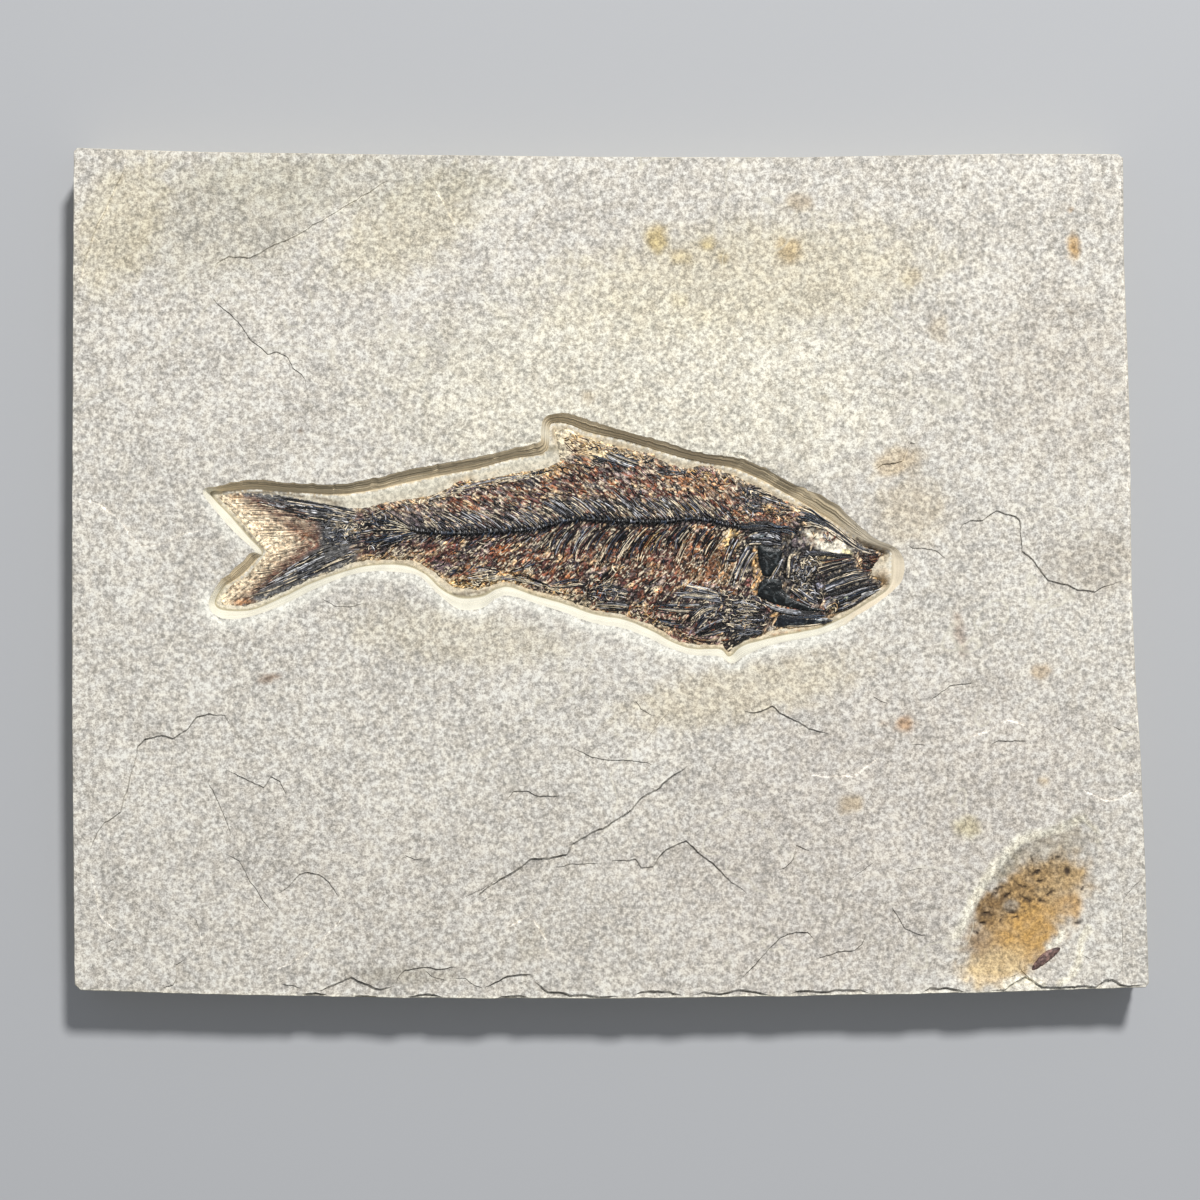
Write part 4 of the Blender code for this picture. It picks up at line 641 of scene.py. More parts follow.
def floorHeight(points):
    # level of the pocket's floor, which dips beside the fish and climbs at its snout
    away = nearLine(points, fishShape, closed=True)[0] * ~insideLoop(points, fishShape)
    rise = 0.07 * fieldNoise(points, 3, 71) + 0.05 * fieldNoise(points, 1.1, 73)
    ramp = 0.2 + 1.5 * softStep(points[:, 0], 50, 60)
    level = slabStone["thickness"] - slabStone["pocketDepth"]
    return level + rise * softStep(away, 0.2, 0.8) + ramp * softStep(away, 0.3, 1.4)


slabPlan = SimpleNamespace(rows=[], edges=[], count=0)


def addPoints(points, levels, tone=1, down=0, shaded=0):
    # a row for each point: place, level, tone of its crack with its painted shade and highlight, and depth
    # and shade on the pocket's wall
    values = [np.broadcast_to(value, len(points)) for value in (levels, tone, down, shaded)]
    slabPlan.rows.append(np.column_stack([points, *values]))
    slabPlan.count += len(points)


def addLine(points, levels, closed=False, **ways):
    first, last = slabPlan.count, slabPlan.count + len(points) - 1
    addPoints(points, levels, **ways)
    slabPlan.edges.extend((i, i + 1) for i in range(first, last))
    if closed:
        slabPlan.edges.append((last, first))


def layWall():
    # the pocket's wall goes down in beds, each with a small shelf
    rimLevel = faceHeight(pocket.rim)
    for bed, down in enumerate(slabStone["wallBeds"]):
        shelf = slabStone["bedShelf"] * (1 if bed % 2 else -1)
        sway = 0.05 * fieldNoise(pocket.rim, 6, 40 + bed // 2)
        share = np.clip(down + (shelf + sway) * math.sin(math.pi * down), 0, 1)
        loop = pocket.rim + (pocket.foot - pocket.rim) * share[:, None]
        depth = down if down in (0, 1) else down + 0.012 * fieldNoise(pocket.rim, 9, 50)
        addLine(loop, rimLevel + (pocket.floor - rimLevel) * depth, closed=True, down=down,
                shaded=pocket.shaded)


def layLedges():
    # four lines along each broken edge: its crest and foot, with even ground beside them
    for drop, reach, width, tone, line in ledgeLines:
        count = len(line)
        taper = np.minimum(1, np.minimum(np.arange(count), np.arange(count)[::-1]) / 5)
        swell = 0.6 + 0.6 * np.abs(fieldNoise(line, 2.2, 61))
        half = 0.5 * width * np.maximum(taper * swell, 0.12)
        patches = 0.15 + 0.85 * softStep(fieldNoise(line, 3.2, 64 + abs(tone)), -0.25, 0.3)
        # painted shade darkens the foot of each dark broken edge, partly its own dark crack, and a painted
        # highlight lightens its crest; pale edges are painted pale on both
        for shift, darkness in ((-2.6, 0), (-1, -0.22), (1, 0.82), (2.6, 0)):
            moved = line + sideNormals(line) * (shift * half)[:, None]
            if darkness and tone < 0:
                darkness = 0.75
            addLine(moved, faceHeight(moved), tone=1 - darkness * tone * patches)


def fillSlab():
    # points between the lines, close together where there is something to show
    low, high = np.array([-122, -97]), np.array([122, 97])
    reach = slabStone["fineReach"]
    lines = np.concatenate(slabPlan.rows)[:, :2]
    rounds = ((True, slabStone["fineSpacing"], 6), (False, slabStone["coarseSpacing"], 5))
    for fine, spacing, seed in rounds:
        spots = triangleLattice(low, high, spacing, 0.22, seed)
        spots = spots[insideLoop(spots, slabEdge)]
        away, awayFoot, awayEdge = (distanceTo(spots, line) for line in (lines, pocket.foot, slabOutline))
        inPocket, inHollow = insideLoop(spots, pocket.foot), insideLoop(spots, hollow)
        keep = inPocket | ~insideLoop(spots, pocket.rim)
        if fine:
            keep &= (away > 0.26) & ((away < reach) | inHollow | (awayEdge < 2.6))
            keep &= ~inPocket | (awayFoot <= 4.6)
        else:
            keep &= (away > reach + 0.3) & ~inHollow & (awayEdge > 2.6)
            keep &= ~inPocket | (awayFoot >= 4.9)
        face, floor = spots[keep & ~inPocket], spots[keep & inPocket]
        addPoints(face, faceHeight(face))
        addPoints(floor, floorHeight(floor))
    print("slab points", slabPlan.count)


def slabFace():
    # the triangles of the face and the pocket, with the values of their corners
    rows = np.concatenate(slabPlan.rows)
    spots, faces, given = triangulate(rows[:, :2], slabPlan.edges, 0, 0.004)
    faces, crossings = np.array(faces), np.array(given) < 0
    values = rows[given, 2:]
    values[crossings] = (0, 1, 0, 0)
    values[crossings, 0] = faceHeight(spots[crossings])
    faces = faces[insideLoop(spots[faces].mean(axis=1), slabEdge)]
    used, faces = np.unique(faces, return_inverse=True)
    faces = faces.reshape(-1, 3)
    corners = np.column_stack([spots, values[:, 0]])[used]
    a, b, c = (corners[faces[:, k]] for k in range(3))
    turned = np.cross(b - a, c - a)[:, 2] < 0
    faces[turned] = faces[turned][:, ::-1]
    return corners, faces, values[used]


def pullSides(piece, faceCount):
    # the sides are pulled down from the open border, cut by cut, and then broken up
    cuts, thickness = slabStone["sideCuts"], slabStone["thickness"]
    bpy.ops.object.mode_set(mode="EDIT")
    bpy.ops.mesh.select_mode(type="EDGE")
    bpy.ops.mesh.select_all(action="DESELECT")
    bpy.ops.mesh.select_non_manifold(extend=False, use_boundary=True, use_wire=False, use_verts=False,
                                     use_multi_face=False, use_non_contiguous=False)
    for cut in cuts:
        bpy.ops.mesh.extrude_edges_move(TRANSFORM_OT_translate={"value": (0, 0, -mm)})
    bpy.ops.mesh.edge_face_add()
    bpy.ops.object.mode_set(mode="OBJECT")

    place = np.zeros(len(piece.data.vertices) * 3)
    piece.data.vertices.foreach_get("co", place)
    place = place.reshape(-1, 3) / mm
    size = (len(place) - faceCount) // len(cuts)
    border = place[faceCount:faceCount + size] + (0, 0, 1)
    nearest = [np.argmin(np.linalg.norm(slabEdge - spot, axis=1)) for spot in border[:, :2]]
    base, normals = slabOutline[nearest], slabNormals[nearest]
    for number, (down, inset) in enumerate(cuts):
        rough = 0.1 * fieldNoise(base, 3.2, 80 + number // 2) + 0.07 * fieldNoise(base, 1, 90 + number)
        rough += inset + 0.14 * fieldNoise(base, 14, 100 + number // 3)
        inward = np.maximum(0.02, 0.22 + rough) if number else nibble[nearest] * 0.35
        sway = 0.12 * fieldNoise(base, 11, 110) * math.sin(math.pi * down / thickness)
        levels = border[:, 2] - down if down < 1 else thickness - down + sway
        first = faceCount + number * size
        place[first:first + size] = np.column_stack([base + normals * inward[:, None], levels])
    piece.data.vertices.foreach_set("co", (place * mm).ravel())
    piece.data.update()
    return place


def stainAndShadeStone(stone):
    # stains, the hollow's rough brown part, its bleached edges and the painted shadow in its pits
    flat, wobble, upper = stone.flat, stone.wobble, stone.upper
    patchy = 0.9 + 0.4 * fieldNoise(flat, 2.2, 126)
    for stains, evenness, calm in ((slabStone["stains"], 1, 0), (slabStone["hollowStains"], patchy, 0.65)):
        for *patch, colour, strength in stains:
            share = strength * patchShare(flat, patch, 0.55, 1.25, wobble) * evenness * upper
            share = np.clip(share, 0, 1)
            stone.zone[:, 2] = np.maximum(stone.zone[:, 2], calm * share)
            stone.tint = overlay(stone.tint, colour, share)
    veins = np.abs(fieldNoise(flat * (0.7, 1.7), 1.5, 130))
    veins = np.minimum(veins, 0.8 * np.abs(fieldNoise(flat * (0.8, 1.4), 0.8, 132)))
    rough = patchShare(flat, (92, -71.8, 12.4, 5, 36), 0.6, 1.1, 1.4 * wobble)
    stone.tint = overlay(stone.tint, (84, 64, 42), rough * (1 - softStep(veins, 0.01, 0.1)) * 0.68 * upper)
    for breadth, line in slabStone["hollowEdges"]:
        away = nearLine(flat, smoothPath(line, 1), reach=3)[0]
        pale = 1 - softStep(away + 0.6 * wobble, 0.4 * breadth, 1.05 * breadth)
        pale *= upper * (away < 3)
        stone.tint = overlay(stone.tint, (255, 252, 240), pale)
        stone.zone[:, 2] = np.maximum(stone.zone[:, 2], pale)
    # painted shadow: the floors of the pits are painted dark
    for *patch, depth in slabStone["pits"]:
        stone.tint = overlay(stone.tint, (46, 34, 34), patchShare(flat, patch, 0.5, 1.3) * 0.9 * upper)


def tintWalls(stone, walls):
    # painted shade: walls that face away from the key light are painted olive, with their bedding lines
    # painted stronger, and sunny ones pale cream; near the snout the painted shade fades to pale tan
    flat, shady = stone.flat[walls], softStep(stone.shaded[walls], -0.1, 0.5)
    tint = overlay(evenTint((240, 236, 219), len(flat)), (222, 204, 170), shady)
    snout = softStep(flat[:, 0], 49, 56)
    tint = overlay(tint, (244, 230, 204), snout)
    # painted shade: a thin olive line where a sunny wall meets the floor, but not behind the dorsal fin
    notch = patchShare(flat, (-14, 30.6, 3.2, 4.6, 0), 0.8, 1.1)
    foot = softStep(stone.down[walls], 0.82, 0.95) * (1 - shady) * (1 - notch) * 0.85
    tint = overlay(tint, (178, 168, 138), foot)
    stone.tint[walls] = tint * (1 + 0.1 * fieldNoise(flat, 2.4, 136))[:, None]
    stone.zone[walls, 0] = 1
    stone.zone[walls, 1] = (0.15 + 0.85 * shady) * (1 - 0.7 * snout)


def tintRims(stone, outside):
    # a pale band along the pocket's rim on its sunny side, partly chipped pale stone and partly painted
    # light, and pale stone along the slab's lower edge
    flat, wobble = stone.flat[outside], stone.wobble[outside]
    away, side, share = nearLine(flat, pocket.rim, closed=True, reach=6)
    sunny = softStep(-np.interp(share, stone.stations, pocket.shaded), -0.1, 0.5)
    fringe = sunny * (1 - softStep(away + 3 * wobble, 0.5, 3.2)) * (away < 6)
    tint = overlay(stone.tint[outside], (255, 252, 240), fringe)
    awayEdge = nearLine(flat, slabOutline, closed=True)[0]
    lip = 0.9 * (1 - softStep(awayEdge + 0.8 * wobble, 0.25, 0.8)) * softStep(-flat[:, 1], 90, 93)
    stone.tint[outside] = overlay(tint, (255, 253, 244), lip)
    stone.zone[outside, 2] = fringe


def tintFloor(stone, floor):
    # the pocket's floor: speckled, tan beside the fish, with a painted highlight along the foot of the
    # shaded walls and a painted shade line along the foot of the sunny ones
    flat = stone.flat[floor]
    awayFoot, side, share = nearLine(flat, pocket.foot, closed=True)
    shaded = np.interp(share, stone.stations, pocket.shaded)
    awayFish = nearLine(flat, fishShape, closed=True)[0]
    patches = 0.5 + 0.5 * fieldNoise(flat, 3.4, 140) + 0.3 * fieldNoise(flat, 1.2, 142)
    tan = (1 - softStep(awayFish, 0.3, 2.4)) * np.clip(0.1 + 0.8 * patches, 0, 1)
    tan *= 0.45 + 0.55 * softStep(flat[:, 0], -62, -50)
    tint = overlay(evenTint((236, 230, 211), len(flat)), (222, 196, 154), tan)
    snout = patchShare(flat, (61.2, -0.6, 2.2, 2.6, 0), 0.4, 1.2) * np.clip(patches, 0, 1) * 0.8
    tint = overlay(tint, (214, 168, 112), snout)
    # painted highlight: a bright line on the floor at the foot of the shaded walls
    bright = (1 - softStep(awayFoot, 0.2, 0.7)) * softStep(shaded, 0, 0.4) * 0.9
    tint = overlay(tint, (254, 252, 244), bright)
    # painted shade: a dark olive line on the floor at the foot of the sunny walls
    dark = (1 - softStep(awayFoot, 0.1, 0.55)) * softStep(-shaded, -0.1, 0.4)
    tint = overlay(tint, (176, 160, 126), dark * softStep(fieldNoise(flat, 6, 145), -0.35, 0) * 0.8)
    for breadth, colour, line in slabStone["floorLines"]:
        away = nearLine(flat, np.array(line))[0]
        tint = overlay(tint, colour, 0.75 * (1 - softStep(away, 0.3 * breadth, breadth)))
    stone.tint[floor] = tint
    stone.zone[floor] = (0, 0, 1)


def paintSlab(piece, place, values):
    # zones, read by the material: red for walls, green for their bedding lines, blue for calm stone
    count, faceCount = len(place), len(values)
    flat = place[:, :2]
    stone = SimpleNamespace(
        flat=flat, upper=place[:, 2] > slabStone["thickness"] - 3.6, zone=np.zeros((count, 3)),
        wobble=0.22 * fieldNoise(flat, 1.7, 120) + 0.22 * fieldNoise(flat, 4.5, 123),
        tint=evenTint((229, 227, 224), count), stations=np.linspace(0, 1, len(pocket.rim)),
        down=values[:, 2], shaded=values[:, 3])
    stainAndShadeStone(stone)
    isWall, face = stone.down > 0, flat[:faceCount]
    tintWalls(stone, np.flatnonzero(isWall))
    tintRims(stone, np.flatnonzero(~isWall & ~insideLoop(face, pocket.rim)))
    tintFloor(stone, np.flatnonzero(~isWall & insideLoop(face, pocket.foot)))
    stone.tint[faceCount:] = linear((214, 206, 184))
    stone.zone[faceCount:, :2] = (1, 0.8)
    tone = np.ones(count)
    tone[:faceCount] = values[:, 1]
    paintVertices(piece, "stainTint", stone.tint)
    paintVertices(piece, "crackAndShadeTone", tone[:, None])
    paintVertices(piece, "stoneZone", stone.zone)


def buildSlab():
    addLine(slabEdge, faceHeight(slabEdge), closed=True)
    layWall()
    layLedges()
    fillSlab()
    corners, faces, values = slabFace()
    piece = meshObject("slabStone", corners, faces.tolist())
    place = pullSides(piece, len(corners))
    turnFacesOut()
    smoothShading(38)
    paintSlab(piece, place, values)
    print("slab faces", len(piece.data.polygons))
    return piece


slabPiece = buildSlab()
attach(slabPiece, "root")
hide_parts("limestone_slab")
print("slab built")


fishOutline = splitPath(fishFilm["outline"], 0.3, closed=True)
raggedness = 0.26 * fieldNoise(fishOutline, 0.9, 200) + 0.2 * fieldNoise(fishOutline, 2.6, 203)
fishOutline = fishOutline + sideNormals(fishOutline, closed=True) * raggedness[:, None]
spineLine = smoothPath(fishFilm["backbone"], 0.5)


def spineHeight(x):
    return np.interp(x, spineLine[:, 0], spineLine[:, 1])


def filmLevel(points):
    # level of the fossil's film, without its flakes
    away = nearLine(points, fishShape, closed=True)[0]
    bulk = fishFilm["tailRise"] + fishFilm["trunkRise"] * np.clip((points[:, 0] + 60) / 14, 0, 1)
    return fishFilm["edgeLevel"] + bulk * (1 - np.exp(-away / fishFilm["edgeRound"]))


def bodyGrain(points):
    # where the spine through a point leaves the backbone, and how far up or down it the point is
    x, y = points[:, 0], points[:, 1]
    rise = y - spineHeight(x)
    above = np.interp(x, [-60, -20, 35], [1.5, 1.25, 0.95])
    below = np.interp(x, [-60, -20, 30], [1.4, 1, 0.55])
    return np.stack([x + np.abs(rise) * np.where(rise > 0, above, below), rise], axis=1)


def flakeCells(points, sizes, seed):
    # broken flakes: how near a point is to a flake's edge, the flake's number, and its tilt
    found = []
    for u, v in points:
        spot = Vector((u / sizes[0], v / sizes[1], seed))
        distances, seeds = noise.voronoi(spot)
        chance = noise.cell_vector(seeds[0] * 7.3)
        tilt = (spot - seeds[0]).dot(Vector((chance[1] - 0.5, chance[2] - 0.5, 0)))
        found.append((distances[1] - distances[0], chance[0] % 1, tilt))
    return np.array(found).T


def tailTint(points):
    # slate along the outer edges of the tail, then brown, then pale membrane to the fork
    waver = 0.9 * fieldNoise(points, 2.6, 210) + 0.8 * fieldNoise(points, 0.9, 212)
    depths = []
    for loop in (np.array(fishFilm["tailSlate"]), np.array(fishFilm["tailBrown"])):
        away = nearLine(points, loop, closed=True)[0]
        depths.append(np.where(insideLoop(points, loop), away, -away) + waver)
    slate, brown = depths
    stipple = 0.5 + 0.9 * fieldNoise(points, 0.55, 214) + 0.4 * fieldNoise(points, 2, 216)
    stipple = np.clip(stipple, 0, 1) * (0.2 + 0.55 * softStep(brown, -9, 0))
    tint = overlay(evenTint((234, 219, 190), len(points)), (172, 136, 100), stipple)
    mottled = 0.62 + 0.7 * fieldNoise(points, 0.8, 218) + 0.3 * fieldNoise(points, 0.35, 219)
    mottled = np.clip(mottled + 0.5 * softStep(slate, -2.5, 0), 0, 0.95)
    tint = overlay(tint, (100, 64, 52), softStep(brown, -1.6, 1.2) * mottled)
    tint = overlay(tint, (93, 92, 91), softStep(slate, -0.7, 0.9))
    for *patch, colour, strength in fishFilm["tailSpots"]:
        tint = overlay(tint, colour, strength * patchShare(points, patch, 0.5, 1.2, 0.35 * waver))
    return tint


def filmGrain(flat):
    # flakes, fibres and blotches at each point of the film, for its relief and its colours
    place = bodyGrain(flat)
    grain = SimpleNamespace(map=place + np.where(place[:, 1:] > 0, 0, 300))
    grain.border, grain.pick, grain.tilt = flakeCells(grain.map, (1.25, 1.15), 3)
    grain.smallBorder, grain.smallPick, grain.smallTilt = flakeCells(grain.map, (0.62, 0.8), 17)
    grain.streak = fieldNoise(grain.map * (2.6, 0.55), 1, 30)
    grain.blotch = fieldNoise(flat, 4.2, 40)
    grain.trunk = softStep(flat[:, 0], -60, -52)
    grain.cord = 1 - softStep(np.abs(place[:, 1]) + 0.25 * grain.blotch, 0.5, 1.4)
    grain.cord *= softStep(flat[:, 0], -46, -42) * (1 - softStep(flat[:, 0], 29, 31))
    grain.inside = nearLine(flat, fishShape, closed=True)[0]
    grain.calm = np.maximum(0.92 * patchShare(flat, fishFilm["eye"], 0.75, 1.1),
                            0.7 * patchShare(flat, fishFilm["finTip"], 0.75, 1.15))
    return grain


def filmRelief(flat, grain):
    # flakes, the sunken eye and grooves between the tail's rays
    flakes = 0.2 * (grain.pick - 0.5) + 0.3 * grain.tilt - 0.12 * (1 - softStep(grain.border, 0, 0.14))
    flakes += 0.08 * (grain.smallPick - 0.5) + 0.12 * grain.smallTilt + 0.07 * grain.streak
    flakes -= 0.06 * (1 - softStep(grain.smallBorder, 0, 0.16))
    flakes *= (0.25 + 0.75 * softStep(grain.inside, 0, 1.2)) * (0.3 + 0.7 * grain.trunk) * (1 - grain.calm)
    socket = np.clip(1 - ellipseShare(flat, *fishFilm["eye"]) ** 2, 0, 1)
    comb = np.sin(flat[:, 1] * 5.4 + flat[:, 0] * np.where(flat[:, 1] > 7, 0.75, -1.5))
    return flakes - 0.4 * socket + 0.035 * comb * (1 - grain.trunk)


def bodyTint(flat, grain):
    # the colours of single scales, paler along the edge, then the tinted zones and the dark backbone
    tint = np.zeros((len(flat), 3))
    for share, colour in reversed(fishFilm["scaleTones"]):
        tint[grain.pick <= share] = linear(colour)
    pale = softStep(-grain.inside, -1.8, -0.3) > grain.smallPick * 1.3
    tint = overlay(tint, (206, 176, 136), 0.75 * pale)
    wobble = 0.16 * fieldNoise(flat, 1, 50) + 0.14 * (grain.pick - 0.5) + 0.1 * (grain.smallPick - 0.5)
    for *patch, colour, strength in fishFilm["zones"]:
        tint = overlay(tint, colour, strength * patchShare(flat, patch, 0.7, 1.15, wobble))
    return overlay(tint, (30, 28, 32), grain.cord)


def filmTint(flat, grain):
    # the body's colours run into the tail's, under fibres, cracks, glints and dark flecks
    blend = softStep(flat[:, 0] + 1.5 * grain.blotch, -59, -55.5)[:, None]
    tint = tailTint(flat) * (1 - blend) + bodyTint(flat, grain) * blend
    shade = 1.2 + 0.85 * grain.streak + (grain.smallPick - 0.5) + 0.9 * grain.blotch * grain.trunk
    shade *= 1 - 0.65 * (1 - softStep(grain.border, 0.02, 0.16)) * grain.trunk
    shade *= 1 - 0.5 * (1 - softStep(grain.smallBorder, 0, 0.2)) * (0.2 + 0.8 * grain.trunk)
    shade = 1 + (shade - 1) * (1 - 0.8 * grain.calm)
    tint *= np.clip(shade, 0.15, 2.6)[:, None]
    calmed = grain.trunk * 0.8 * (1 - grain.calm)
    glint = softStep(grain.streak, 0.2, 0.45) * softStep(grain.smallPick, 0.35, 0.75)
    tint = overlay(tint, (216, 196, 164), glint * calmed)
    fleck = softStep(-grain.streak, 0.2, 0.4) * softStep(1 - grain.smallPick, 0.3, 0.7)
    return overlay(tint, (22, 18, 20), fleck * calmed)


def speckShares(flat, grain):
    # where the material scatters pale specks, dark specks and fibres
    headward = softStep(flat[:, 0], 29, 34)
    pale = (0.7 + 0.3 * grain.trunk) * (1 - 0.7 * headward) * (1 - grain.cord)
    shares = np.column_stack([pale, 0.35 + 0.55 * grain.trunk, 0.35 + 0.65 * grain.trunk])
    return shares * (1 - grain.calm)[:, None]


def buildFilm():
    flat, faces, rim = fillLoop(fishOutline, fishShape, fishFilm["spacing"], 0.2, 9, 0.15)
    grain = filmGrain(flat)
    top = np.column_stack([flat, filmLevel(flat) + filmRelief(flat, grain)])
    skirt = fishOutline - sideNormals(fishOutline, closed=True) * fishFilm["skirt"]
    levels = [np.full(len(rim), fishFilm[key]) for key in ("sunkLevel", "backLevel")]
    closeBelow(faces, rim, len(top), 2)
    vertices = np.concatenate([top, *(np.column_stack([skirt, level]) for level in levels)])
    piece = meshObject("fishFilm", vertices, faces)
    order = np.concatenate([np.arange(len(flat)), rim, rim])
    paintVertices(piece, "boneTint", filmTint(flat, grain)[order])
    paintVertices(piece, "speckShare", speckShares(flat, grain)[order])
    corners = np.zeros(len(piece.data.loops), np.int32)
    piece.data.loops.foreach_get("vertex_index", corners)
    grainMap = piece.data.uv_layers.new(name="grainMap")
    grainMap.data.foreach_set("uv", grain.map[order][corners].astype(np.float32).ravel())
    turnFacesOut()
    smoothShading(50)
    print("fish film faces", len(piece.data.polygons))
    return piece


def fan(count, width, mix, *guides, breaks=0.3, wiggle=0.1, lift=0, start=0.15, end=0.15):
    # bones spread between guide lines; start and end say how ragged the fan's ends are
    return SimpleNamespace(count=count, width=width, mix=mix, guides=guides, breaks=breaks,
                           wiggle=wiggle, lift=lift, start=start, end=end)


# colours of single bones and how often each comes up in a kind of bone
boneColours = dict(
    black=(9, 10, 13), blue=(44, 58, 76), slate=(80, 84, 98), umber=(48, 30, 27), brown=(104, 60, 44),
    ash=(184, 184, 188), bone=(228, 212, 184), cream=(242, 228, 198), lilac=(132, 120, 132),
    gold=(214, 176, 116), tan=(200, 164, 118), rust=(142, 86, 50), white=(246, 247, 248))
boneMixes = dict(
    dark=dict(black=6, slate=1.6, blue=1, umber=1, ash=1.4, bone=1.2),
    ink=dict(black=8, blue=1.5, slate=1),
    steel=dict(blue=2, slate=2, black=5, ash=2.4, bone=1, white=0.4),
    slaty=dict(black=5, slate=2, blue=1.6, ash=2, bone=1.2, white=0.3),
    tailLines=dict(black=4, slate=1.2, ash=3, bone=2, white=1),
    golden=dict(gold=3, cream=2, umber=1.6, black=1),
    mixed=dict(black=3, slate=2, umber=2, bone=1.6, ash=1.4),
    pale=dict(bone=3, cream=2, ash=1.5, lilac=1),
    bright=dict(bone=3, ash=2, cream=1.6),
    ashen=dict(ash=4, bone=2, slate=1),
    glint=dict(white=2, ash=2),
    arcs=dict(bone=2.6, black=4, slate=2, ash=1.4),
    cheek=dict(black=4, slate=2, ash=2, bone=1.8, umber=1, cream=0.6),
    rosy=dict(bone=2, lilac=1, tan=1.4, brown=2, black=1.6, cream=0.8),
    spine=dict(ash=2.4, slate=2.4, umber=3, lilac=1.4, bone=2.2, black=3),
    brown=dict(brown=3, umber=3, rust=1.4, bone=1.6, black=2, tan=1.6, cream=0.8),
    umber=dict(umber=3, brown=2, black=2, bone=0.8, tan=0.6),
    fin=dict(brown=2.4, umber=1, tan=3, bone=1),
    blueish=dict(blue=2, slate=3, ash=1),
    orbit=dict(ash=2, brown=2, tan=1, cream=2),
)
